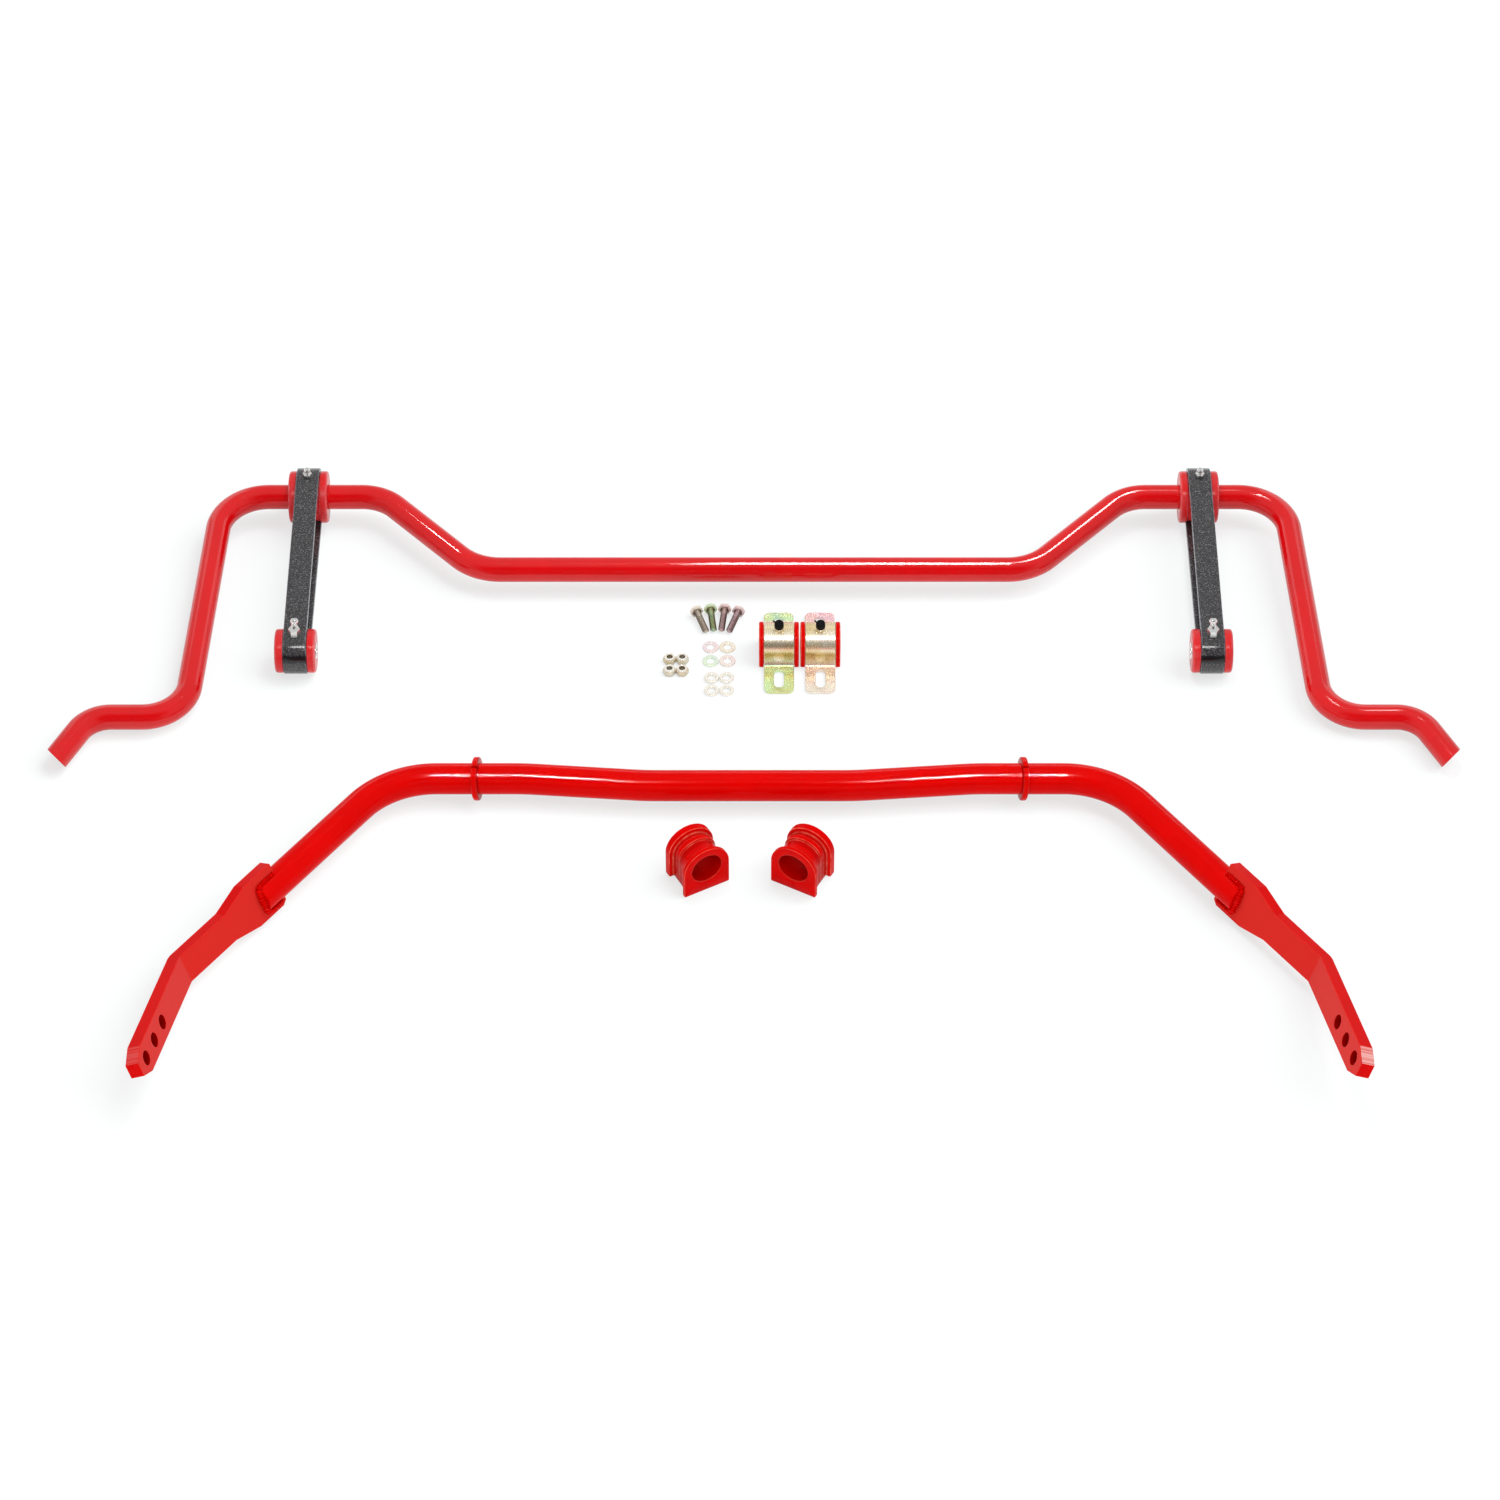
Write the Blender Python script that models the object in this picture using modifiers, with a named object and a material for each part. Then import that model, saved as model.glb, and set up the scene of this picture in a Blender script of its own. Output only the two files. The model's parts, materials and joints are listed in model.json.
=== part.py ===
"""Sway bar kit laid out on a flat surface: a solid rear bar with its two strap
links, a hollow front bar with welded blade ends, the strap brackets and bushings
that carry the bars, and the loose fasteners. Metres, +Z up."""

import math

import bmesh
import bpy
from mathutils import Matrix, Vector

# Running gap between neighbouring pieces, and how far a cutter runs past its cut
FIT = 0.0003
CUT_PAST = 0.0010

# Rear bar: one solid round bar, bent in a plane, with runs outwards from its middle
REAR_BAR_DIAMETER = 0.0240
REAR_CENTRE_BEND_RADIUS = 0.055
REAR_SHOULDER_BEND_RADIUS = 0.047
REAR_FOOT_BEND_RADIUS = 0.042
REAR_TIP_BEND_RADIUS = 0.033
REAR_CENTRE_HALF = 0.2675
REAR_SLOPE_RUN = 0.0945
REAR_SHOULDER_RUN = 0.1550
REAR_ARM_SPREAD = 0.0165
REAR_FOOT_RUN = 0.0885
REAR_TIP_RUN = 0.0245
REAR_CENTRE_DROP = 0.0990
REAR_ARM_DROP = 0.2920
REAR_TIP_DROP = 0.3405

# Strap links that loop round the rear bar, inboard of its arms
LINK_INSET = 0.0835
LINK_LENGTH = 0.2100
LINK_STRAP_WIDTH = 0.0220
LINK_STRAP_THICKNESS = 0.0048
LINK_BUSHING_WALL = 0.0108
LINK_BUSHING_LIP = 0.0021
LINK_BUSHING_LENGTH = 0.0376
LINK_BUSHING_EDGE = 0.0022
EYE_SLEEVE_DIAMETER = 0.0160
EYE_SLEEVE_BORE = 0.0106
EYE_BUSHING_WALL = 0.0083
EYE_BUSHING_LIP = 0.0042
EYE_BUSHING_LENGTH = 0.0384
EYE_BUSHING_EDGE = 0.0024
EYE_BUSHING_RELIEF = 0.0010
EYE_SLEEVE_PROUD = 0.0006
BUSHING_SLIT = 0.0010

# Grease fittings
FITTING_STEM_DIAMETER = 0.0054
FITTING_HEX = 0.0080
FITTING_HEX_HEIGHT = 0.0036
FITTING_NECK_DIAMETER = 0.0044
FITTING_HEAD_DIAMETER = 0.0062
FITTING_HEAD_HEIGHT = 0.0062
ELBOW_HEX = 0.0098
ELBOW_HEIGHT = 0.0078
ELBOW_ANGLE = math.radians(45.0)

# Strap brackets for the rear bar, each over a flanged bushing
BRACKET_WIDTH = 0.0285
BRACKET_THICKNESS = 0.0030
BRACKET_LENGTH = 0.1090
BRACKET_CORNER = 0.0055
BRACKET_SLOT_WIDTH = 0.0094
BRACKET_SLOT_LENGTH = 0.0232
BRACKET_SLOT_REACH = 0.0365
BRACKET_AXIS_HEIGHT = 0.0170
BRACKET_BEND_RADIUS = 0.0022
BRACKET_BUSHING_WALL = 0.0032
BRACKET_FLANGE_LIP = 0.0030
BRACKET_BUSHING_LENGTH = 0.0380
BRACKET_BUSHING_LIFT = 0.0005
BRACKET_FITTING_TILT = math.radians(10.0)
CAP_WALL = 0.0011
CAP_HEIGHT = 0.0080
CAP_TAIL_LENGTH = 0.0032
CAP_TAIL_THICKNESS = 0.0016
CAP_TAIL_TURN = math.radians(150.0)
CAP_TAIL_RISE = math.radians(25.0)

# Front bar: hollow tube in one plane, half widths from its middle
FRONT_TUBE_DIAMETER = 0.0290
FRONT_TUBE_WALL = 0.0040
FRONT_BEND_RADIUS = 0.085
FRONT_EASE_RADIUS = 0.300
FRONT_CENTRE_HALF = 0.0968
FRONT_RISE_HALF = 0.2078
FRONT_ARM_HALF = 0.3327
FRONT_CENTRE_OFFSET = 0.0090
FRONT_ARM_ANGLE = math.radians(54.1)
FRONT_TUBE_REACH = 0.1890
RING_HALF = 0.2520
RING_WIDTH = 0.0062
RING_HEIGHT = 0.0055
RING_SPLIT = 0.0026
RING_SPLIT_ANGLE = math.radians(38.0)

# Blades: flat bar slotted into the tube ends, with one bend and three holes
BLADE_THICKNESS = 0.0127
BLADE_LEAN = math.radians(25.0)
BLADE_SLOT_DEPTH = 0.0235
BLADE_PAD_RUN = 0.0135
BLADE_TAPER_RUN = 0.0305
BLADE_NECK_RUN = 0.0633
BLADE_BEND = math.radians(28.75)
BLADE_BEND_INSIDE = 0.0050
BLADE_OUTER_LENGTH = 0.1531
BLADE_PAD_ABOVE = 0.0238
BLADE_PAD_CORNER = 0.0050
BLADE_NECK_ABOVE = 0.0155
BLADE_NECK_BELOW = 0.0125
BLADE_TIP_CHAMFER_ALONG = 0.0174
BLADE_TIP_CHAMFER_ACROSS = 0.0072
BLADE_HOLES = 3
BLADE_HOLE_DIAMETER = 0.0130
BLADE_HOLE_PITCH = 0.0266
BLADE_LAST_HOLE_MARGIN = 0.0176
WELD_RADIUS = 0.0019

# D bushings that carry the front bar
D_BUSHING_HALF = 0.0480
D_BUSHING_TURN = math.radians(29.0)
D_BUSHING_WALL = 0.0080
D_BUSHING_LENGTH = 0.0370
D_BUSHING_FLANGE = 0.0072
D_BUSHING_WAIST_DEPTH = 0.0042
D_BUSHING_RIB_WIDTH = 0.0100
D_BUSHING_RIB_HEIGHT = 0.0016
D_BUSHING_AXIS_HEIGHT = 0.0270
D_BUSHING_BORE_EASE = 0.0010
D_BUSHING_LIFT = 0.0012

# Loose fasteners, quarter inch class
BOLT_DIAMETER = 0.00635
BOLT_LENGTH = 0.0254
HEX_ACROSS_FLATS = 0.0111
BOLT_HEAD_HEIGHT = 0.0042
NUT_HEIGHT = 0.0052
NUT_COLLAR_HEIGHT = 0.0016
NUT_BORE = 0.0052
FLAT_WASHER_DIAMETER = 0.0154
FLAT_WASHER_HOLE = 0.0078
FLAT_WASHER_THICKNESS = 0.0016
THICK_WASHER_DIAMETER = 0.0138
THICK_WASHER_HOLE = 0.0076
THICK_WASHER_THICKNESS = 0.0027

# Places on the table, X across and Y away from the viewer, from the rear
# bar's middle for X and from the link axis for Y
FRONT_BAR_X = -0.0035
FRONT_BAR_Y = -0.3788
D_BUSHING_Y = -0.4835
BRACKET_X = (0.0240, 0.0633)
BRACKET_Y = -0.1917
BOLT_FAN_X = -0.0346
BOLT_FAN_Y = -0.1368
BOLT_FAN_PITCH = math.radians(13.2)
BOLT_FAN_RADIUS = 0.0575
NUT_X = -0.0739
NUT_Y = -0.2096
NUT_PITCH_X = 0.0119
NUT_PITCH_Y = 0.0156
FLAT_WASHER_X = -0.0330
FLAT_WASHER_Y = -0.1927
FLAT_WASHER_PITCH_X = 0.0160
FLAT_WASHER_PITCH_Y = 0.0190
THICK_WASHER_X = -0.0326
THICK_WASHER_Y = -0.2342
THICK_WASHER_PITCH_X = 0.0142
THICK_WASHER_PITCH_Y = 0.0172

# Sizes that follow from the ones above
REAR_R = REAR_BAR_DIAMETER / 2
REAR_SLOPE_HALF = REAR_CENTRE_HALF + REAR_SLOPE_RUN
REAR_ARM_HALF = REAR_SLOPE_HALF + REAR_SHOULDER_RUN
REAR_FOOT_HALF = REAR_ARM_HALF + REAR_ARM_SPREAD
REAR_LOW_HALF = REAR_FOOT_HALF + REAR_FOOT_RUN
REAR_TIP_HALF = REAR_LOW_HALF + REAR_TIP_RUN
LINK_HALF = REAR_ARM_HALF - LINK_INSET
LINK_BORE_R = REAR_R + FIT
LINK_BARREL_R = LINK_BORE_R + LINK_BUSHING_WALL
LINK_FLANGE_R = LINK_BARREL_R + LINK_BUSHING_LIP
LINK_INNER_R = LINK_BARREL_R + FIT
LINK_OUTER_R = LINK_INNER_R + LINK_STRAP_THICKNESS
SLEEVE_R = EYE_SLEEVE_DIAMETER / 2
EYE_BARREL_R = SLEEVE_R + FIT + EYE_BUSHING_WALL
EYE_FLANGE_R = EYE_BARREL_R + EYE_BUSHING_LIP
EYE_INNER_R = EYE_BARREL_R + FIT
EYE_OUTER_R = EYE_INNER_R + LINK_STRAP_THICKNESS
LINK_AXIS_Z = LINK_OUTER_R
LINK_DIP = math.asin((LINK_OUTER_R - EYE_OUTER_R) / LINK_LENGTH)
REAR_TILT = math.asin((LINK_AXIS_Z - REAR_R) / REAR_TIP_DROP)
BRACKET_BORE_R = REAR_R + FIT
BRACKET_BARREL_R = BRACKET_BORE_R + BRACKET_BUSHING_WALL
BRACKET_FLANGE_R = BRACKET_BARREL_R + BRACKET_FLANGE_LIP
BRACKET_INNER_R = BRACKET_BARREL_R + FIT
BRACKET_OUTER_R = BRACKET_INNER_R + BRACKET_THICKNESS
TUBE_R = FRONT_TUBE_DIAMETER / 2
TUBE_BORE_R = TUBE_R - FRONT_TUBE_WALL
RING_R = TUBE_R + FIT + RING_HEIGHT
FRONT_AXIS_Z = RING_R
BLADE_START = FRONT_TUBE_REACH - BLADE_SLOT_DEPTH
BLADE_PAD_END = FRONT_TUBE_REACH + BLADE_PAD_RUN
BLADE_NECK_START = BLADE_PAD_END + BLADE_TAPER_RUN
BLADE_BEND_AT = BLADE_NECK_START + BLADE_NECK_RUN
BLADE_PAD_BELOW = (
    FRONT_AXIS_Z - BLADE_THICKNESS / 2 * math.sin(BLADE_LEAN)
) / math.cos(BLADE_LEAN) - FIT / 3
D_BORE_R = TUBE_R + D_BUSHING_BORE_EASE / 2
D_FLANGE_R = D_BORE_R + D_BUSHING_WALL
D_WAIST_R = D_FLANGE_R - D_BUSHING_WAIST_DEPTH
D_RIB_R = D_WAIST_R + D_BUSHING_RIB_HEIGHT

# Facets round a bar, a bushing and a small turned piece
BAR_RESOLUTION = 5
BUSHING_STEPS = 22
SMALL_STEPS = 12

for old in list(bpy.data.objects):
    bpy.data.objects.remove(old, do_unlink=True)

KIT = bpy.data.collections.new("sway_bar_kit")
CUTTERS = bpy.data.collections.new("cutters")
bpy.context.scene.collection.children.link(KIT)
bpy.context.scene.collection.children.link(CUTTERS)


def make_material(name, color, roughness, metallic):
    """A Principled material in one colour."""
    material = bpy.data.materials.new(name)
    material.use_nodes = True
    shader = material.node_tree.nodes["Principled BSDF"]
    shader.inputs["Base Color"].default_value = (*color, 1.0)
    shader.inputs["Roughness"].default_value = roughness
    shader.inputs["Metallic"].default_value = metallic
    return material


REAR_RED = make_material("rear_red_powder_coat", (0.55, 0.008, 0.022), 0.22, 0.0)
FRONT_RED = make_material("front_red_powder_coat", (0.70, 0.004, 0.004), 0.20, 0.0)
LINK_BLACK = make_material("black_powder_coat", (0.035, 0.033, 0.033), 0.45, 0.0)
BUSHING_RED = make_material("red_polyurethane", (0.58, 0.010, 0.018), 0.35, 0.0)
D_BUSHING_RED = make_material("d_bushing_red", (0.60, 0.004, 0.004), 0.32, 0.0)
BRIGHT_STEEL = make_material("bright_steel", (0.72, 0.71, 0.69), 0.22, 1.0)
YELLOW_ZINC = make_material("yellow_zinc", (0.72, 0.62, 0.36), 0.25, 1.0)
CAP_BLACK = make_material("cap_rubber", (0.012, 0.012, 0.012), 0.55, 0.0)


def new_empty(name, parent=None, matrix=Matrix.Identity(4)):
    """An empty that carries pieces in its own frame."""
    empty = bpy.data.objects.new(name, None)
    empty.empty_display_size = 0.02
    bpy.context.scene.collection.objects.link(empty)
    empty.parent = parent
    empty.matrix_local = matrix
    return empty


def add_object(name, data, material, parent, matrix=Matrix.Identity(4)):
    """A named piece of the kit, placed in its parent's frame."""
    obj = bpy.data.objects.new(name, data)
    KIT.objects.link(obj)
    obj.parent = parent
    obj.matrix_local = matrix
    if material is not None:
        data.materials.append(material)
    return obj


def make_cutter(obj, name):
    """Moves a shape to the cutters, out of the kit itself."""
    for holder in list(obj.users_collection):
        holder.objects.unlink(obj)
    CUTTERS.objects.link(obj)
    obj.name = name
    obj.hide_render = True
    obj.display_type = "WIRE"
    return obj


def combine(target, other, operation, name):
    """Joins, cuts or trims a piece by a cutter shape."""
    make_cutter(other, name)
    step = target.modifiers.new(name, "BOOLEAN")
    step.operation = operation
    step.solver = "EXACT"
    step.object = other


def arc_points(centre, radius, start, end, count):
    """Points on an arc in a plane, both ends included."""
    points = []
    for i in range(count + 1):
        angle = start + (end - start) * i / count
        points.append(
            Vector(
                (
                    centre[0] + radius * math.cos(angle),
                    centre[1] + radius * math.sin(angle),
                )
            )
        )
    return points


def bent_path(corners, radii, step=math.radians(14.0)):
    """Straight runs joined by arcs, as a bar is bent round a die."""
    points = [Vector(corners[0])]
    for i in range(1, len(corners) - 1):
        corner = Vector(corners[i])
        back = (Vector(corners[i - 1]) - corner).normalized()
        ahead = (Vector(corners[i + 1]) - corner).normalized()
        turn = math.pi - back.angle(ahead)
        radius = radii[i - 1]
        reach = radius * math.tan(turn / 2)
        inward = (back + ahead).normalized()
        centre = corner + inward * math.hypot(radius, reach)
        first = corner + back * reach - centre
        side = (corner + ahead * reach - centre) - first * math.cos(turn)
        side = side.normalized() * radius
        count = max(2, math.ceil(turn / step))
        for k in range(count + 1):
            angle = turn * k / count
            points.append(centre + first * math.cos(angle) + side * math.sin(angle))
    points.append(Vector(corners[-1]))
    return points


def round_bar(name, points, radius, resolution=BAR_RESOLUTION):
    """A round bar along a path, with filled ends."""
    curve = bpy.data.curves.new(name, "CURVE")
    curve.dimensions = "3D"
    curve.bevel_depth = radius
    curve.bevel_resolution = resolution
    curve.use_fill_caps = True
    spline = curve.splines.new("POLY")
    spline.points.add(len(points) - 1)
    for point, place in zip(spline.points, points):
        point.co = (place[0], place[1], place[2], 1.0)
    return curve


def flat_outline(name, loops, thickness):
    """A flat outline, with its holes, as a plate in its own XY plane."""
    curve = bpy.data.curves.new(name, "CURVE")
    curve.dimensions = "2D"
    curve.fill_mode = "BOTH"
    curve.extrude = thickness / 2
    for loop in loops:
        spline = curve.splines.new("POLY")
        spline.points.add(len(loop) - 1)
        spline.use_cyclic_u = True
        for point, place in zip(spline.points, loop):
            point.co = (place[0], place[1], 0.0, 1.0)
    return curve


def as_mesh(obj):
    """The same piece as a plain mesh, its caps welded to its sides."""
    bpy.context.view_layer.update()
    graph = bpy.context.evaluated_depsgraph_get()
    mesh = bpy.data.meshes.new_from_object(obj.evaluated_get(graph))
    work = bmesh.new()
    work.from_mesh(mesh)
    bmesh.ops.remove_doubles(work, verts=work.verts, dist=0.000002)
    bmesh.ops.recalc_face_normals(work, faces=work.faces)
    work.to_mesh(mesh)
    work.free()
    mesh.shade_smooth()
    mesh.set_sharp_from_angle(angle=math.radians(35.0))
    name = obj.name
    parent = obj.parent
    local = obj.matrix_local.copy()
    source = obj.data
    obj.name = name + "_source"
    piece = bpy.data.objects.new(name, mesh)
    KIT.objects.link(piece)
    piece.parent = parent
    piece.matrix_local = local
    bpy.data.objects.remove(obj, do_unlink=True)
    bpy.data.curves.remove(source)
    piece.name = name
    return piece


def turned(name, profile, steps, material, parent, matrix=Matrix.Identity(4), ring=True):
    """A turned piece about its own Z. The profile lists radius and height, down
    the outer side from the top; a ring's profile closes up its bore."""
    mesh = bpy.data.meshes.new(name)
    points = [(radius, 0.0, height) for radius, height in profile]
    edges = [(i, i + 1) for i in range(len(points) - 1)]
    if ring:
        edges.append((len(points) - 1, 0))
    mesh.from_pydata(points, edges, [])
    obj = add_object(name, mesh, material, parent, matrix)
    turn = obj.modifiers.new("turn", "SCREW")
    turn.axis = "Z"
    turn.angle = 2 * math.pi
    turn.steps = steps
    turn.render_steps = steps
    turn.use_merge_vertices = True
    turn.merge_threshold = 0.000005
    turn.use_smooth_shade = True
    return obj


def rod(name, radius, height, sides, parent, matrix=Matrix.Identity(4), material=None):
    """A cylinder, or a hexagon with six sides, standing on its own origin."""
    mesh = bpy.data.meshes.new(name)
    work = bmesh.new()
    bmesh.ops.create_cone(
        work,
        cap_ends=True,
        segments=sides,
        radius1=radius,
        radius2=radius,
        depth=height,
        matrix=Matrix.Translation((0.0, 0.0, height / 2)),
    )
    work.to_mesh(mesh)
    work.free()
    return add_object(name, mesh, material, parent, matrix)


def block(name, size, parent, matrix=Matrix.Identity(4)):
    """A box centred on its own origin."""
    mesh = bpy.data.meshes.new(name)
    work = bmesh.new()
    bmesh.ops.create_cube(work, size=1.0, matrix=Matrix.Diagonal((*size, 1.0)))
    work.to_mesh(mesh)
    work.free()
    return add_object(name, mesh, None, parent, matrix)


def frame_of(x_axis, y_axis, origin):
    """A matrix from two of its axes and its origin."""
    x_axis = Vector(x_axis).normalized()
    y_axis = Vector(y_axis)
    z_axis = x_axis.cross(y_axis).normalized()
    y_axis = z_axis.cross(x_axis)
    matrix = Matrix((x_axis, y_axis, z_axis)).transposed().to_4x4()
    matrix.translation = Vector(origin)
    return matrix


def place(x=0.0, y=0.0, z=0.0):
    """A move without a turn."""
    return Matrix.Translation((x, y, z))


TURN_Y_UP = Matrix.Rotation(-math.pi / 2, 4, "X")
AXIS_ALONG_X = Matrix.Rotation(math.pi / 2, 4, "Y")

KIT_FRAME = new_empty("kit_frame")


def rear_bar():
    """The solid bar: centre run, slopes, link runs, arms, low runs and tips."""
    half = [
        (REAR_CENTRE_HALF, -REAR_CENTRE_DROP, 0.0),
        (REAR_SLOPE_HALF, 0.0, 0.0),
        (REAR_ARM_HALF, 0.0, 0.0),
        (REAR_FOOT_HALF, -REAR_ARM_DROP, 0.0),
        (REAR_LOW_HALF, -REAR_ARM_DROP, 0.0),
        (REAR_TIP_HALF, -REAR_TIP_DROP, 0.0),
    ]
    bends = [
        REAR_CENTRE_BEND_RADIUS,
        REAR_SHOULDER_BEND_RADIUS,
        REAR_SHOULDER_BEND_RADIUS,
        REAR_FOOT_BEND_RADIUS,
        REAR_TIP_BEND_RADIUS,
    ]
    corners = [(-x, y, z) for x, y, z in reversed(half)] + half
    points = bent_path(corners, bends[::-1] + bends)
    matrix = place(z=LINK_AXIS_Z) @ Matrix.Rotation(REAR_TILT, 4, "X")
    add_object(
        "rear_bar",
        round_bar("rear_bar", points, REAR_R),
        REAR_RED,
        KIT_FRAME,
        matrix,
    )


def belt_loop(first_r, second_r, distance, count):
    """The outline of a belt round two circles, the second one along +X."""
    lean = math.acos((first_r - second_r) / distance)
    far = arc_points((distance, 0.0), second_r, -lean, lean, count)
    near = arc_points((0.0, 0.0), first_r, lean, 2 * math.pi - lean, count)
    return far + near


def chamfered_ring(bore, barrel, flange, barrel_half, half, edge):
    """Profile of a bushing with a flange at each end."""
    return [
        (flange - edge, half),
        (flange, half - edge),
        (flange, barrel_half + edge / 2),
        (flange - edge / 2, barrel_half),
        (barrel, barrel_half),
        (barrel, -barrel_half),
        (flange - edge / 2, -barrel_half),
        (flange, -barrel_half - edge / 2),
        (flange, -half + edge),
        (flange - edge, -half),
        (bore, -half),
        (bore, half),
    ]


def nipple_profile(foot):
    """Profile of a grease fitting's neck and ball head, up from its foot."""
    neck = FITTING_NECK_DIAMETER / 2
    head = FITTING_HEAD_DIAMETER / 2
    top = foot + FITTING_HEAD_HEIGHT
    return [
        (0.0, top),
        (head * 0.62, top),
        (head, top - head * 0.55),
        (head, top - head * 0.95),
        (neck, top - head * 1.45),
        (neck, foot + neck * 0.5),
        (head, foot),
    ]


def straight_fitting(name, material, parent, matrix, stem_length):
    """A straight grease fitting whose hexagon seats on its own XY plane."""
    stem = FITTING_STEM_DIAMETER / 2
    profile = nipple_profile(FITTING_HEX_HEIGHT)
    profile += [(stem * 1.05, FIT), (stem, 0.0), (stem, -stem_length), (0.0, -stem_length)]
    body = turned(name, profile, SMALL_STEPS, material, parent, matrix, ring=False)
    hexagon = rod(
        name + "_hex",
        FITTING_HEX / math.sqrt(3.0),
        FITTING_HEX_HEIGHT,
        6,
        parent,
        matrix @ place(z=FIT),
    )
    combine(body, hexagon, "UNION", name + "_hexagon")
    return body


def elbow_fitting(name, material, parent, matrix, stem_length):
    """An angled grease fitting: hexagon and stem, with the head leaning to -X."""
    stem = FITTING_STEM_DIAMETER / 2
    body = rod(
        name,
        ELBOW_HEX / math.sqrt(3.0),
        ELBOW_HEIGHT,
        6,
        parent,
        matrix @ place(z=FIT),
        material,
    )
    foot = rod(
        name + "_stem",
        stem,
        stem_length + ELBOW_HEIGHT / 4,
        SMALL_STEPS,
        parent,
        matrix @ place(z=-stem_length),
    )
    profile = nipple_profile(ELBOW_HEX * 0.52)
    profile += [(FITTING_HEAD_DIAMETER / 2, 0.0), (0.0, 0.0)]
    lean = place(z=ELBOW_HEIGHT * 0.52) @ Matrix.Rotation(-ELBOW_ANGLE, 4, "Y")
    head = turned(
        name + "_head", profile, SMALL_STEPS, None, parent, matrix @ lean, ring=False
    )
    combine(body, foot, "UNION", name + "_foot")
    combine(body, head, "UNION", name + "_nipple")
    return body


def link(side, x):
    """One strap link: the strap round both bushings, the split bushing on the
    bar, the two eye bushing halves on their sleeve, and two grease fittings."""
    down = Vector((0.0, -math.cos(LINK_DIP), -math.sin(LINK_DIP)))
    up = Vector((0.0, -math.sin(LINK_DIP), math.cos(LINK_DIP)))
    pivot = new_empty(side + "_link_pivot", KIT_FRAME, frame_of(down, up, (x, 0.0, LINK_AXIS_Z)))
    eye = new_empty(side + "_eye_pivot", pivot, place(x=LINK_LENGTH))

    outer = belt_loop(LINK_OUTER_R, EYE_OUTER_R, LINK_LENGTH, 14)
    inner = belt_loop(LINK_INNER_R, EYE_INNER_R, LINK_LENGTH, 14)
    strap = add_object(
        side + "_link_strap",
        flat_outline(side + "_link_strap", [outer, inner], LINK_STRAP_WIDTH),
        LINK_BLACK,
        pivot,
    )
    strap = as_mesh(strap)
    hole = FITTING_STEM_DIAMETER / 2 + FIT
    for name, radius, carrier in (
        ("bar", LINK_INNER_R, pivot),
        ("eye", EYE_INNER_R, eye),
    ):
        drill = rod(
            side + "_strap_drill",
            hole,
            LINK_STRAP_THICKNESS * 2,
            SMALL_STEPS,
            carrier,
            place(y=radius - LINK_STRAP_THICKNESS / 2) @ TURN_Y_UP,
        )
        combine(strap, drill, "DIFFERENCE", side + "_" + name + "_fitting_hole")

    bushing = turned(
        side + "_link_bar_bushing",
        chamfered_ring(
            LINK_BORE_R,
            LINK_BARREL_R,
            LINK_FLANGE_R,
            LINK_STRAP_WIDTH / 2 + FIT,
            LINK_BUSHING_LENGTH / 2,
            LINK_BUSHING_EDGE,
        ),
        BUSHING_STEPS,
        BUSHING_RED,
        pivot,
    )
    slit = block(
        side + "_slit",
        (LINK_FLANGE_R * 2, BUSHING_SLIT, LINK_BUSHING_LENGTH * 2),
        pivot,
        place(x=LINK_FLANGE_R),
    )
    combine(bushing, slit, "DIFFERENCE", side + "_link_bushing_slit")

    for name, sign in (("inner", 1.0), ("outer", -1.0)):
        low = FIT / 2
        step = LINK_STRAP_WIDTH / 2 + FIT
        top = EYE_BUSHING_LENGTH / 2
        profile = [
            (EYE_FLANGE_R - EYE_BUSHING_EDGE, top),
            (EYE_FLANGE_R, top - EYE_BUSHING_EDGE),
            (EYE_FLANGE_R, step + EYE_BUSHING_RELIEF),
            (EYE_FLANGE_R - EYE_BUSHING_RELIEF, step),
            (EYE_BARREL_R, step),
            (EYE_BARREL_R, low),
            (SLEEVE_R + FIT, low),
            (SLEEVE_R + FIT, top),
        ]
        # The pivot's Z points to -X, so the inner half of the left link is turned.
        flip = (sign > 0) == (side == "left")
        facing = Matrix.Rotation(math.pi if flip else 0.0, 4, "X")
        turned(
            side + "_eye_bushing_" + name,
            profile,
            BUSHING_STEPS - 2,
            BUSHING_RED,
            eye,
            facing,
        )
    half = EYE_BUSHING_LENGTH / 2 + EYE_SLEEVE_PROUD
    turned(
        side + "_eye_sleeve",
        [
            (SLEEVE_R, half),
            (SLEEVE_R, -half),
            (EYE_SLEEVE_BORE / 2, -half),
            (EYE_SLEEVE_BORE / 2, half),
        ],
        SMALL_STEPS + 4,
        BRIGHT_STEEL,
        eye,
    )
    straight_fitting(
        side + "_bar_grease_fitting",
        BRIGHT_STEEL,
        pivot,
        place(y=LINK_OUTER_R) @ TURN_Y_UP,
        LINK_STRAP_THICKNESS,
    )
    elbow_fitting(
        side + "_eye_grease_fitting",
        BRIGHT_STEEL,
        eye,
        place(y=EYE_OUTER_R) @ TURN_Y_UP,
        LINK_STRAP_THICKNESS,
    )


def saddle(half_width, axis_height, foot, count):
    """The outline of a saddle: flat foot, upright sides and a round top."""
    top = arc_points((0.0, axis_height), half_width, 0.0, math.pi, count)
    return [Vector((half_width, foot))] + top + [Vector((-half_width, foot))]


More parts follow.
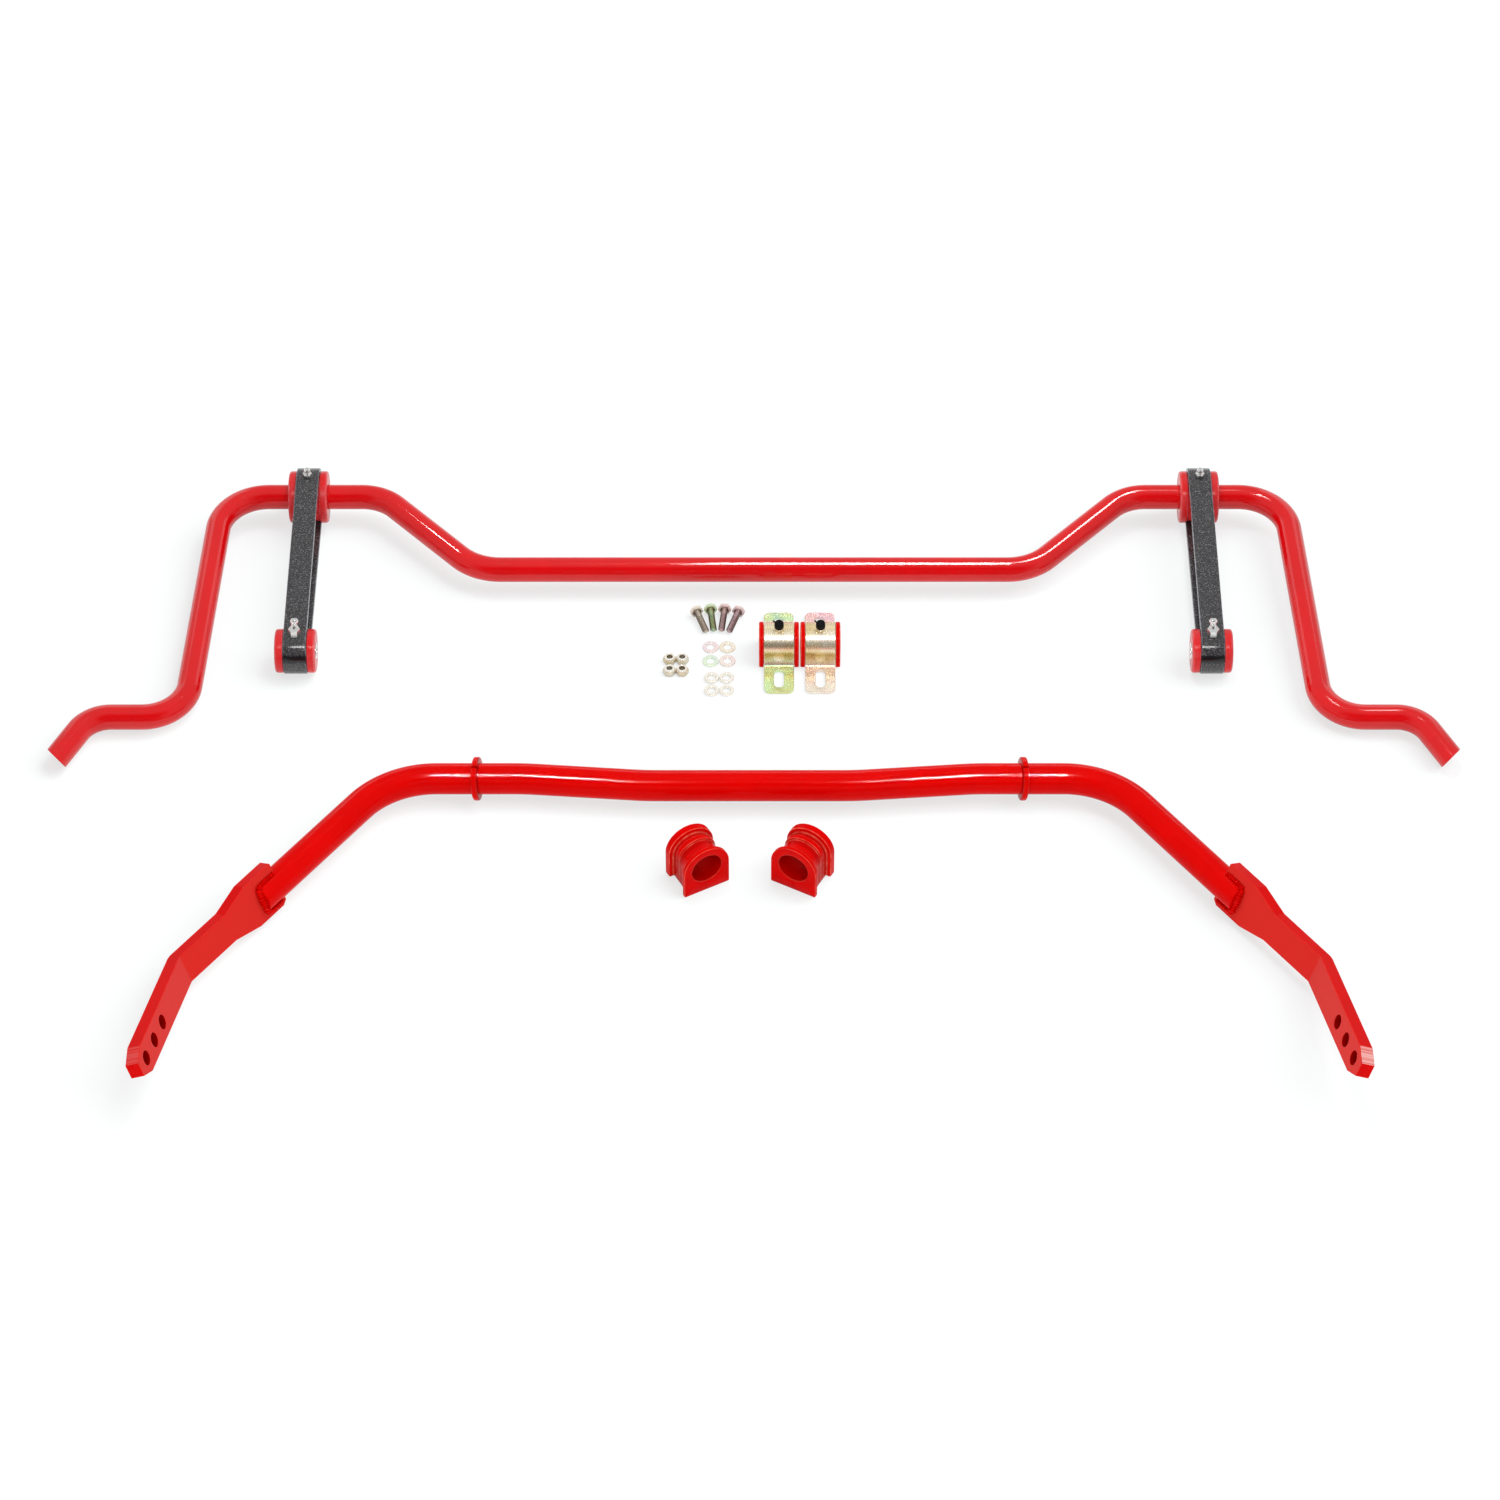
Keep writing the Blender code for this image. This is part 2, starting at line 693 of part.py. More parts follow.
def saddle_bushing(name, parent, matrix, bore, sections, axis_height, length, material):
    """A bushing of saddle outlines side by side along its own Z, then bored.
    Each section lists its middle, its length, its half width and its foot."""
    body = None
    for i, (middle, depth, half_width, foot) in enumerate(sections):
        piece_name = name if body is None else name + "_part"
        outline = saddle(half_width, axis_height, foot, 14)
        piece = add_object(
            piece_name,
            flat_outline(piece_name, [outline], depth),
            material if body is None else None,
            parent,
            matrix @ place(z=middle),
        )
        piece = as_mesh(piece)
        if body is None:
            body = piece
            body.matrix_local = matrix @ place(z=middle)
        else:
            combine(body, piece, "UNION", name + "_section_%d" % i)
    drill = rod(
        name + "_drill",
        bore,
        length * 2,
        BUSHING_STEPS,
        parent,
        matrix @ place(y=axis_height, z=-length),
    )
    combine(body, drill, "DIFFERENCE", name + "_bore")
    return body


def slot_outline(width, length, count):
    """An oblong hole along Y."""
    reach = (length - width) / 2
    upper = arc_points((0.0, reach), width / 2, 0.0, math.pi, count)
    lower = arc_points((0.0, -reach), width / 2, math.pi, 2 * math.pi, count)
    return upper + lower


def bracket_side():
    """The strap bracket seen from its end: two feet and a hump, one sheet thick."""
    end = BRACKET_LENGTH / 2
    thick = BRACKET_THICKNESS
    bend = BRACKET_BEND_RADIUS
    outer = BRACKET_OUTER_R
    inner = BRACKET_INNER_R
    hump = arc_points((0.0, BRACKET_AXIS_HEIGHT), outer, 0.0, math.pi, 16)
    hollow = arc_points((0.0, BRACKET_AXIS_HEIGHT), inner, math.pi, 0.0, 16)
    right = arc_points((outer + bend, thick + bend), bend, 1.5 * math.pi, math.pi, 3)
    left = arc_points((-outer - bend, thick + bend), bend, 0.0, -0.5 * math.pi, 3)
    under_left = arc_points(
        (-outer - bend, thick + bend), bend + thick, -0.5 * math.pi, 0.0, 4
    )
    under_right = arc_points(
        (outer + bend, thick + bend), bend + thick, math.pi, 1.5 * math.pi, 4
    )
    outline = [Vector((end, 0.0)), Vector((end, thick))]
    outline += right + hump + left
    outline += [Vector((-end, thick)), Vector((-end, 0.0))]
    outline += under_left + hollow + under_right
    return outline


def bracket(side, x):
    """One strap bracket over its flanged bushing, with a capped grease fitting."""
    seat = new_empty(side + "_bracket_seat", KIT_FRAME, place(x, BRACKET_Y, 0.0))
    across = frame_of((0.0, 1.0, 0.0), (0.0, 0.0, 1.0), (0.0, 0.0, 0.0))
    strap = add_object(
        side + "_bracket_strap",
        flat_outline(side + "_bracket_strap", [bracket_side()], BRACKET_WIDTH),
        YELLOW_ZINC,
        seat,
        across,
    )
    strap = as_mesh(strap)
    half_x = BRACKET_WIDTH / 2 + CUT_PAST
    half_y = BRACKET_LENGTH / 2
    trim = BRACKET_CORNER + CUT_PAST
    for along in (-1.0, 1.0):
        for beside in (-1.0, 1.0):
            corner = block(
                side + "_corner",
                (trim * 1.5, trim * 3.0, BRACKET_THICKNESS * 4),
                seat,
                place(beside * half_x, along * half_y, 0.0)
                @ Matrix.Rotation(-along * beside * math.pi / 4, 4, "Z")
                @ place(x=beside * (trim * 0.75 - trim * math.sqrt(0.5))),
            )
            tag = "front" if along < 0 else "rear"
            hand = "left" if beside < 0 else "right"
            combine(
                strap,
                corner,
                "DIFFERENCE",
                side + "_bracket_" + tag + "_" + hand + "_corner",
            )
        slot = add_object(
            side + "_slot",
            flat_outline(
                side + "_slot",
                [slot_outline(BRACKET_SLOT_WIDTH, BRACKET_SLOT_LENGTH, 8)],
                BRACKET_THICKNESS * 4,
            ),
            None,
            seat,
            place(y=along * BRACKET_SLOT_REACH),
        )
        slot = as_mesh(slot)
        tag = "front" if along < 0 else "rear"
        combine(strap, slot, "DIFFERENCE", side + "_bracket_" + tag + "_slot")

    lean = (
        place(z=BRACKET_AXIS_HEIGHT)
        @ Matrix.Rotation(BRACKET_FITTING_TILT, 4, "X")
        @ place(z=BRACKET_OUTER_R)
    )
    drill = rod(
        side + "_drill",
        FITTING_STEM_DIAMETER / 2 + FIT,
        BRACKET_THICKNESS * 3,
        SMALL_STEPS,
        seat,
        lean @ place(z=-BRACKET_THICKNESS * 1.5),
    )
    combine(strap, drill, "DIFFERENCE", side + "_bracket_fitting_hole")

    half = BRACKET_BUSHING_LENGTH / 2
    flange = half - BRACKET_WIDTH / 2 - FIT
    bushing = saddle_bushing(
        side + "_bracket_bushing",
        seat,
        across,
        BRACKET_BORE_R,
        [
            (0.0, BRACKET_BUSHING_LENGTH - flange, BRACKET_BARREL_R, BRACKET_BUSHING_LIFT),
            (half - flange / 2, flange, BRACKET_FLANGE_R, 0.0),
            (-half + flange / 2, flange, BRACKET_FLANGE_R, 0.0),
        ],
        BRACKET_AXIS_HEIGHT,
        BRACKET_BUSHING_LENGTH,
        BUSHING_RED,
    )
    slit = block(
        side + "_slit",
        (BRACKET_BUSHING_LENGTH * 2, BUSHING_SLIT, BRACKET_AXIS_HEIGHT * 2),
        seat,
    )
    combine(bushing, slit, "DIFFERENCE", side + "_bracket_bushing_slit")
    straight_fitting(
        side + "_bracket_grease_fitting",
        YELLOW_ZINC,
        seat,
        lean,
        BRACKET_THICKNESS,
    )
    inside = FITTING_HEAD_DIAMETER / 2 + FIT
    skirt = FITTING_HEX_HEIGHT + 2 * FIT
    roof = FITTING_HEX_HEIGHT + FITTING_HEAD_HEIGHT + FIT
    top = max(skirt + CAP_HEIGHT, roof + CAP_WALL)
    outside = inside + CAP_WALL
    profile = [(0.0, top)]
    for i in range(1, 6):
        angle = math.pi / 2 * i / 5
        profile.append(
            (outside * math.sin(angle), top - outside * 0.75 * (1 - math.cos(angle)))
        )
    profile += [(outside, skirt), (inside, skirt), (inside, roof), (0.0, roof)]
    cap = turned(
        side + "_fitting_cap", profile, SMALL_STEPS, CAP_BLACK, seat, lean, ring=False
    )
    tail = block(
        side + "_tail",
        (CAP_TAIL_LENGTH, CAP_TAIL_THICKNESS, CAP_TAIL_THICKNESS),
        seat,
        lean
        @ Matrix.Rotation(CAP_TAIL_TURN, 4, "Z")
        @ place(x=outside + CAP_TAIL_LENGTH * 0.3, z=top - outside * 0.9)
        @ Matrix.Rotation(-CAP_TAIL_RISE, 4, "Y"),
    )
    combine(cap, tail, "UNION", side + "_cap_tail")


def arm_frame(hand):
    """The frame of one arm: X along the tube, Y up the blade, Z across it."""
    along = Vector((hand * math.cos(FRONT_ARM_ANGLE), -math.sin(FRONT_ARM_ANGLE), 0.0))
    level = Vector((hand * math.sin(FRONT_ARM_ANGLE), math.cos(FRONT_ARM_ANGLE), 0.0))
    upright = Vector((0.0, 0.0, math.cos(BLADE_LEAN))) + level * math.sin(BLADE_LEAN)
    return frame_of(along, upright, (hand * FRONT_ARM_HALF, 0.0, 0.0))


def blade_outline():
    """The blade laid flat: pad in the tube's slot, taper, neck and chamfered tip."""
    tip = BLADE_BEND_AT + BLADE_OUTER_LENGTH
    shoulder = tip - BLADE_TIP_CHAMFER_ALONG
    across = BLADE_TIP_CHAMFER_ACROSS
    return [
        Vector((BLADE_START, BLADE_PAD_ABOVE)),
        Vector((BLADE_START, BLADE_PAD_CORNER - BLADE_PAD_BELOW)),
        Vector((BLADE_START + BLADE_PAD_CORNER * 0.7, -BLADE_PAD_BELOW)),
        Vector((BLADE_PAD_END, -BLADE_PAD_BELOW)),
        Vector((BLADE_NECK_START, -BLADE_NECK_BELOW)),
        Vector((shoulder, -BLADE_NECK_BELOW)),
        Vector((tip, -BLADE_NECK_BELOW + across)),
        Vector((tip, BLADE_NECK_ABOVE - across)),
        Vector((shoulder, BLADE_NECK_ABOVE)),
        Vector((BLADE_NECK_START, BLADE_NECK_ABOVE)),
        Vector((BLADE_PAD_END, BLADE_PAD_ABOVE)),
    ]


def bend_blade(mesh, toward):
    """Bends the flat blade about a line across it, as a press brake does."""
    radius = BLADE_BEND_INSIDE + BLADE_THICKNESS / 2
    reach = radius * math.tan(BLADE_BEND / 2)
    start = BLADE_BEND_AT - reach
    length = radius * BLADE_BEND
    parts = 4
    work = bmesh.new()
    work.from_mesh(mesh)
    for i in range(parts + 1):
        bmesh.ops.bisect_plane(
            work,
            geom=work.verts[:] + work.edges[:] + work.faces[:],
            plane_co=(start + length * i / parts, 0.0, 0.0),
            plane_no=(1.0, 0.0, 0.0),
        )
    for vert in work.verts:
        past = vert.co.x - start
        if past <= 0.0:
            continue
        turn = min(past / length, 1.0) * BLADE_BEND
        beyond = max(past - length, 0.0)
        off = vert.co.z * toward
        vert.co.x = start + (radius - off) * math.sin(turn) + beyond * math.cos(turn)
        rise = radius - (radius - off) * math.cos(turn) + beyond * math.sin(turn)
        vert.co.z = rise * toward
    bmesh.ops.recalc_face_normals(work, faces=work.faces)
    work.to_mesh(mesh)
    work.free()


def blade(side, hand, bar):
    """One bent blade with its holes and the weld beads beside the tube."""
    matrix = arm_frame(hand)
    middle = (BLADE_NECK_ABOVE - BLADE_NECK_BELOW) / 2
    # The bend takes up a little less length than its two straight legs.
    radius = BLADE_BEND_INSIDE + BLADE_THICKNESS / 2
    shift = radius * (BLADE_BEND - 2 * math.tan(BLADE_BEND / 2))
    holes = []
    last = BLADE_BEND_AT + BLADE_OUTER_LENGTH - BLADE_LAST_HOLE_MARGIN + shift
    for i in range(BLADE_HOLES):
        along = last - i * BLADE_HOLE_PITCH
        ring = arc_points((along, middle), BLADE_HOLE_DIAMETER / 2, 0.0, 2 * math.pi, 16)
        holes.append(ring[:-1])
    name = side + "_blade"
    plate = add_object(
        name,
        flat_outline(name, [blade_outline()] + holes, BLADE_THICKNESS),
        FRONT_RED,
        bar,
        matrix,
    )
    plate = as_mesh(plate)
    bend_blade(plate.data, hand)
    face = BLADE_THICKNESS / 2
    beside = math.sqrt(TUBE_R**2 - face**2) + FIT + WELD_RADIUS * 1.25
    past = FRONT_TUBE_REACH + FIT + WELD_RADIUS * 1.25
    for tag, sign in (("near", 1.0), ("far", -1.0)):
        height = sign * (face + WELD_RADIUS * 0.25)
        path = bent_path(
            [
                (BLADE_START + WELD_RADIUS, beside, height),
                (past, beside, height),
                (past, -beside, height),
                (BLADE_START + BLADE_PAD_CORNER, -beside, height),
            ],
            [WELD_RADIUS * 2, WELD_RADIUS * 2],
            math.radians(30.0),
        )
        bead = add_object(
            name + "_bead", round_bar(name + "_bead", path, WELD_RADIUS, 2), None, bar, matrix
        )
        bead = as_mesh(bead)
        combine(plate, bead, "UNION", name + "_" + tag + "_weld")


def front_bar():
    """The hollow bar with its slotted ends, blades and location rings."""
    bar = new_empty("front_bar_frame", KIT_FRAME, place(FRONT_BAR_X, FRONT_BAR_Y, FRONT_AXIS_Z))
    reach = FRONT_TUBE_REACH
    half = [
        (FRONT_CENTRE_HALF, -FRONT_CENTRE_OFFSET, 0.0),
        (FRONT_RISE_HALF, 0.0, 0.0),
        (FRONT_ARM_HALF, 0.0, 0.0),
    ]
    end = Vector((math.cos(FRONT_ARM_ANGLE), -math.sin(FRONT_ARM_ANGLE), 0.0))
    corner = Vector(half[-1])
    bends = [FRONT_EASE_RADIUS, FRONT_EASE_RADIUS, FRONT_BEND_RADIUS]

    def path(length):
        side = half + [tuple(corner + end * length)]
        corners = [(-x, y, z) for x, y, z in reversed(side)] + side
        return bent_path(corners, bends[::-1] + bends, math.radians(10.0))

    tube = add_object(
        "front_bar_tube",
        round_bar("front_bar_tube", path(reach), TUBE_R),
        FRONT_RED,
        bar,
    )
    tube = as_mesh(tube)
    bore = add_object(
        "front_bore", round_bar("front_bore", path(reach + CUT_PAST), TUBE_BORE_R), None, bar
    )
    combine(tube, as_mesh(bore), "DIFFERENCE", "front_bar_bore")
    for side, hand in (("left", -1.0), ("right", 1.0)):
        depth = reach - BLADE_START + FIT
        slot = block(
            side + "_slot",
            (depth * 2, TUBE_R * 4, BLADE_THICKNESS + 2 * FIT),
            bar,
            arm_frame(hand) @ place(x=reach),
        )
        combine(tube, slot, "DIFFERENCE", side + "_tube_slot")
        blade(side, hand, bar)
        width = RING_WIDTH / 2
        round_off = RING_HEIGHT * 0.4
        ring = turned(
            side + "_location_ring",
            [
                (RING_R, width * 0.35),
                (RING_R, -width * 0.35),
                (RING_R - round_off, -width),
                (TUBE_R + FIT, -width),
                (TUBE_R + FIT, width),
                (RING_R - round_off, width),
            ],
            BUSHING_STEPS,
            FRONT_RED,
            bar,
            place(x=hand * RING_HALF) @ AXIS_ALONG_X,
        )
        split = block(
            side + "_split",
            (RING_WIDTH * 3, RING_SPLIT, RING_HEIGHT * 4),
            bar,
            place(x=hand * RING_HALF)
            @ Matrix.Rotation(-RING_SPLIT_ANGLE, 4, "X")
            @ place(z=RING_R),
        )
        combine(ring, split, "DIFFERENCE", side + "_ring_split")


def d_bushing(side, hand):
    """One D bushing of the front bar: two saddle flanges and a ribbed waist."""
    across = frame_of(
        (math.cos(D_BUSHING_TURN), -hand * math.sin(D_BUSHING_TURN), 0.0),
        (0.0, 0.0, 1.0),
        (FRONT_BAR_X + hand * D_BUSHING_HALF, D_BUSHING_Y, 0.0),
    )
    half = D_BUSHING_LENGTH / 2
    flange = D_BUSHING_FLANGE
    lift = D_BUSHING_LIFT
    body = saddle_bushing(
        side + "_d_bushing",
        KIT_FRAME,
        across,
        D_BORE_R,
        [
            (0.0, D_BUSHING_LENGTH - flange, D_WAIST_R, lift),
            (0.0, D_BUSHING_RIB_WIDTH, D_RIB_R, lift / 2),
            (half - flange / 2, flange, D_FLANGE_R, 0.0),
            (-half + flange / 2, flange, D_FLANGE_R, 0.0),
        ],
        D_BUSHING_AXIS_HEIGHT,
        D_BUSHING_LENGTH,
        D_BUSHING_RED,
    )
    slit = block(
        side + "_slit",
        (BUSHING_SLIT, D_BUSHING_AXIS_HEIGHT * 2, D_BUSHING_LENGTH * 2),
        KIT_FRAME,
        across,
    )
    combine(body, slit, "DIFFERENCE", side + "_d_bushing_slit")


def bolt(number, fan):
    """A hex bolt lying on a flat of its head and the end of its shank."""
    radius = BOLT_DIAMETER / 2
    corner = HEX_ACROSS_FLATS / math.sqrt(3.0)
    dip = math.asin((HEX_ACROSS_FLATS / 2 - radius) / BOLT_LENGTH)
    turn = BOLT_FAN_PITCH * fan
    matrix = (
        place(
            BOLT_FAN_X + BOLT_FAN_RADIUS * math.sin(turn),
            BOLT_FAN_Y - BOLT_FAN_RADIUS * (1 - math.cos(turn)),
            HEX_ACROSS_FLATS / 2 + FIT / 3,
        )
        @ Matrix.Rotation(-turn, 4, "Z")
        @ Matrix.Rotation(math.pi / 2 + dip, 4, "X")
    )
    name = "bolt_%d" % number
    chamfer = radius * 0.3
    shank = turned(
        name,
        [
            (0.0, BOLT_LENGTH),
            (radius - chamfer, BOLT_LENGTH),
            (radius, BOLT_LENGTH - chamfer),
            (radius, -BOLT_HEAD_HEIGHT / 2),
            (0.0, -BOLT_HEAD_HEIGHT / 2),
        ],
        SMALL_STEPS,
        YELLOW_ZINC,
        KIT_FRAME,
        matrix,
        ring=False,
    )
    head = rod(
        name + "_hex",
        corner,
        BOLT_HEAD_HEIGHT,
        6,
        KIT_FRAME,
        matrix @ place(z=-BOLT_HEAD_HEIGHT) @ Matrix.Rotation(math.pi / 6, 4, "Z"),
    )
    combine(shank, head, "UNION", name + "_head")


def nut(number, x, y):
    """A lock nut standing on its face: hexagon with a round locking collar."""
    name = "nut_%d" % number
    collar = HEX_ACROSS_FLATS * 0.46
    top = NUT_HEIGHT + NUT_COLLAR_HEIGHT
    hexagon = rod(
        name,
        HEX_ACROSS_FLATS / math.sqrt(3.0),
        NUT_HEIGHT,
        6,
        KIT_FRAME,
        place(x, y, 0.0),
        YELLOW_ZINC,
    )
    ring = turned(
        name + "_collar",
        [
            (0.0, top),
            (collar * 0.86, top),
            (collar, top - NUT_COLLAR_HEIGHT * 0.4),
            (collar, NUT_HEIGHT * 0.7),
            (0.0, NUT_HEIGHT * 0.7),
        ],
        SMALL_STEPS,
        None,
        KIT_FRAME,
        place(x, y, 0.0),
        ring=False,
    )
    combine(hexagon, ring, "UNION", name + "_locking_collar")
    drill = rod(
        name + "_drill", NUT_BORE / 2, top * 3, SMALL_STEPS, KIT_FRAME, place(x, y, -top)
    )
    combine(hexagon, drill, "DIFFERENCE", name + "_bore")


def washer(name, x, y, diameter, hole, thickness):
    """A round washer lying flat."""
    turned(
        name,
        [
            (diameter / 2, thickness),
            (diameter / 2, 0.0),
            (hole / 2, 0.0),
            (hole / 2, thickness),
        ],
        SMALL_STEPS + 4,
        YELLOW_ZINC,
        KIT_FRAME,
        place(x, y, 0.0),
    )


def grid(x, y, pitch_x, pitch_y):
    """Four places, two by two, the far row first."""
    return [
        (x + across * pitch_x / 2, y + away * pitch_y / 2)
        for away in (1.0, -1.0)
        for across in (-1.0, 1.0)
    ]


def build_kit():
    """Every piece of the kit, then the whole set centred on its own footprint."""
    rear_bar()
    link("left", -LINK_HALF)
    link("right", LINK_HALF)
    bracket("left", BRACKET_X[0])
    bracket("right", BRACKET_X[1])
    front_bar()
    d_bushing("left", -1.0)
    d_bushing("right", 1.0)
    for i, fan in enumerate((-1.5, -0.5, 0.5, 1.5)):
        bolt(i + 1, fan)
    for i, spot in enumerate(grid(NUT_X, NUT_Y, NUT_PITCH_X, NUT_PITCH_Y)):
        nut(i + 1, *spot)
    flat = grid(FLAT_WASHER_X, FLAT_WASHER_Y, FLAT_WASHER_PITCH_X, FLAT_WASHER_PITCH_Y)
    for i, spot in enumerate(flat):
        washer(
            "flat_washer_%d" % (i + 1),
            *spot,
            FLAT_WASHER_DIAMETER,
            FLAT_WASHER_HOLE,
            FLAT_WASHER_THICKNESS,
        )
    thick = grid(
        THICK_WASHER_X, THICK_WASHER_Y, THICK_WASHER_PITCH_X, THICK_WASHER_PITCH_Y
    )
    for i, spot in enumerate(thick):
        washer(
            "thick_washer_%d" % (i + 1),
            *spot,
            THICK_WASHER_DIAMETER,
            THICK_WASHER_HOLE,
            THICK_WASHER_THICKNESS,
        )


def centre_kit():
    """Moves the kit so that its footprint is centred and it stands on Z = 0."""
    bpy.context.view_layer.update()
    graph = bpy.context.evaluated_depsgraph_get()
    low = Vector((math.inf, math.inf, math.inf))
    high = -low
    for obj in KIT.objects:
        shown = obj.evaluated_get(graph)
        mesh = shown.to_mesh()
        for vert in mesh.vertices:
            spot = shown.matrix_world @ vert.co
            low = Vector(map(min, low, spot))
            high = Vector(map(max, high, spot))
        shown.to_mesh_clear()
    middle = (low + high) / 2
    KIT_FRAME.location = (-middle.x, -middle.y, -low.z)


build_kit()
centre_kit()
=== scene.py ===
"""Looks of a sway bar kit laid out on a pale floor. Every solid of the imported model
gets a finished mesh in its own place and a procedural finish. Metres, +Z up."""

from __future__ import annotations

import json
import logging
import math
from contextlib import contextmanager
from dataclasses import dataclass, field
from enum import Enum
from typing import Any, Callable, Iterator, NamedTuple, Sequence

import bmesh
import bpy
from mathutils import Matrix, Vector

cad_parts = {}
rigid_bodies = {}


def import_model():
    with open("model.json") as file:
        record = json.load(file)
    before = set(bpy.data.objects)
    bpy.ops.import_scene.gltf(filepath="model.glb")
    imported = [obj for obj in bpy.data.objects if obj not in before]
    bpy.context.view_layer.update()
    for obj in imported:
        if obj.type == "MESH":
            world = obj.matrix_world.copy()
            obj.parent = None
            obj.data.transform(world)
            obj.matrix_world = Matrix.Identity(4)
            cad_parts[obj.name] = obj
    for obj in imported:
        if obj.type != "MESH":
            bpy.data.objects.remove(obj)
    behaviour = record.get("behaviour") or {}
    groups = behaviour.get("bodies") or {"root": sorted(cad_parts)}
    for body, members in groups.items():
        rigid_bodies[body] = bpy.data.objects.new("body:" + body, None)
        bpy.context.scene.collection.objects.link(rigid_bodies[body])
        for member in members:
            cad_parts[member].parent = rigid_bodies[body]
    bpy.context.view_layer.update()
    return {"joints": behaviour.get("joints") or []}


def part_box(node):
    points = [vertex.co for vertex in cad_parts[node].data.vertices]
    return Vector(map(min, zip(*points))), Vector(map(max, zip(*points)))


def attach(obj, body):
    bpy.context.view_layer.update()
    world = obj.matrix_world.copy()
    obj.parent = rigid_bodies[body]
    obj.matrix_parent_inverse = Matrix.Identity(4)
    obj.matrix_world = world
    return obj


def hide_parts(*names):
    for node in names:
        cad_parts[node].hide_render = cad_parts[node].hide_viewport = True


LOG = logging.getLogger("sway_bar_kit")
ROOT_BODY = "bars_and_hardware"
FIT = 0.0003
MERGE_DISTANCE = 1e-6
SHARP_DEGREES = 35.0
SMALL_SHARP_DEGREES = 32.0
PLATE_SHARP_DEGREES = 14.0
HEX_STEPS = 72
HEX_TURNED_SHARE = 0.95
HEX_BEVEL_DEGREES = 30.0
EDGE_MARGIN = 0.02
PLATE_STEP_DEGREES = 4.0
HOLE_STEPS = 32
FOOT_STEPS = 8
CORNER_STEPS = 6
LEG_STEPS = 6
TOP_STEPS = 24
FADE_STEPS = 10
CORNER_SHARE = 0.49
EDGE_RESOLUTION = 2
HEX_RIMS = (0.0, 0.2, 0.7, 0.7, 0.2, 0.0)
LARGEST_SIDE_FACE = 6
BEVEL_STEPS = 3
BEVEL_PROFILE = 0.6
WELD_BEND_STEPS = 6
RIPPLE_SEGMENTS = 14
RIPPLE_RINGS = 8
RIPPLE_LEAST = (0.85, 0.85, 0.42)
RIPPLE_MOST = (1.2, 1.2, 0.62)
THREAD_STEPS = 28
THREAD_SIDES = 4
Colour = tuple[float, float, float, float]
Spot = tuple[float, float, float]


class Side(Enum):
    LEFT = -1.0
    RIGHT = 1.0

    @property
    def label(self) -> str:
        """The word that starts the names of this side's pieces."""
        return self.name.lower()


class Finish(Enum):
    REAR_RED = "rear_red"
    FRONT_RED = "front_red"
    LINK_BLACK = "link_black"
    BUSHING_RED = "bushing_red"
    D_BUSHING_RED = "d_bushing_red"
    BRIGHT_STEEL = "bright_steel"
    YELLOW_ZINC = "yellow_zinc"
    CAP_RUBBER = "cap_rubber"


def srgb(red: int, green: int, blue: int) -> Colour:
    """Turns a colour as seen on a screen into a linear one.

    Args:
        red: Red from 0 to 255.
        green: Green from 0 to 255.
        blue: Blue from 0 to 255.

    Returns:
        The linear colour with full alpha.
    """

    def linear(level: int) -> float:
        """One channel's linear value.

        Args:
            level: The channel from 0 to 255.

        Returns:
            Its linear value.
        """
        share = level / 255.0
        if share <= 0.04045:
            return share / 12.92
        return ((share + 0.055) / 1.055) ** 2.4

    return (linear(red), linear(green), linear(blue), 1.0)


def place(x: float = 0.0, y: float = 0.0, z: float = 0.0) -> Matrix:
    """A move as a matrix."""
    return Matrix.Translation((x, y, z))


def turn(degrees: float, axis: str) -> Matrix:
    """A turn about X, Y or Z as a matrix."""
    return Matrix.Rotation(math.radians(degrees), 4, axis)


def frame_of(x_axis: Vector, y_axis: Vector, origin: Vector) -> Matrix:
    """A frame from its X and Y directions and its origin.

    Args:
        x_axis: Direction of the frame's X.
        y_axis: Direction near the frame's Y.
        origin: Where the frame stands.

    Returns:
        The frame's matrix.
    """
    x_unit = x_axis.normalized()
    z_unit = x_unit.cross(y_axis).normalized()
    y_unit = z_unit.cross(x_unit)
    return Matrix.Translation(origin) @ Matrix((x_unit, y_unit, z_unit)).transposed().to_4x4()


class ProfilePoint(NamedTuple):
    """A point of a section, with how much of a marked edge it is from 0 to 1, where rubbed edges and
    painted edge highlights go.
    """

    across: float
    along: float
    rim: float


def rounded(corners: Sequence[Spot], closed: bool = True, steps: int = 5) -> list[ProfilePoint]:
    """Rounds the corners of a section.

    Args:
        corners: Across, along and corner radius of each corner.
        closed: Whether the last corner joins the first.
        steps: How many pieces each round has.

    Returns:
        The section's points.
    """
    points: list[ProfilePoint] = []
    count = len(corners)
    for i, (across, along, radius) in enumerate(corners):
        at_end = not closed and i in (0, count - 1)
        if radius <= 0.0 or at_end:
            points.append(ProfilePoint(across, along, 0.0))
            continue
        here = Vector((across, along))
        back = Vector(corners[i - 1][:2]) - here
        ahead = Vector(corners[(i + 1) % count][:2]) - here
        half = back.angle(ahead) / 2
        reach = min(radius / math.tan(half), back.length * CORNER_SHARE, ahead.length * CORNER_SHARE)
        true_radius = reach * math.tan(half)
        inward = (back.normalized() + ahead.normalized()).normalized()
        middle = here + inward * (true_radius / math.sin(half))
        first = here + back.normalized() * reach - middle
        last = here + ahead.normalized() * reach - middle
        sweep = math.pi - 2 * half
        for k in range(steps + 1):
            share = k / steps
            mixed = first * math.sin((1 - share) * sweep) + last * math.sin(share * sweep)
            spot = middle + mixed / math.sin(sweep)
            points.append(ProfilePoint(spot.x, spot.y, math.sin(math.pi * share)))
    return points


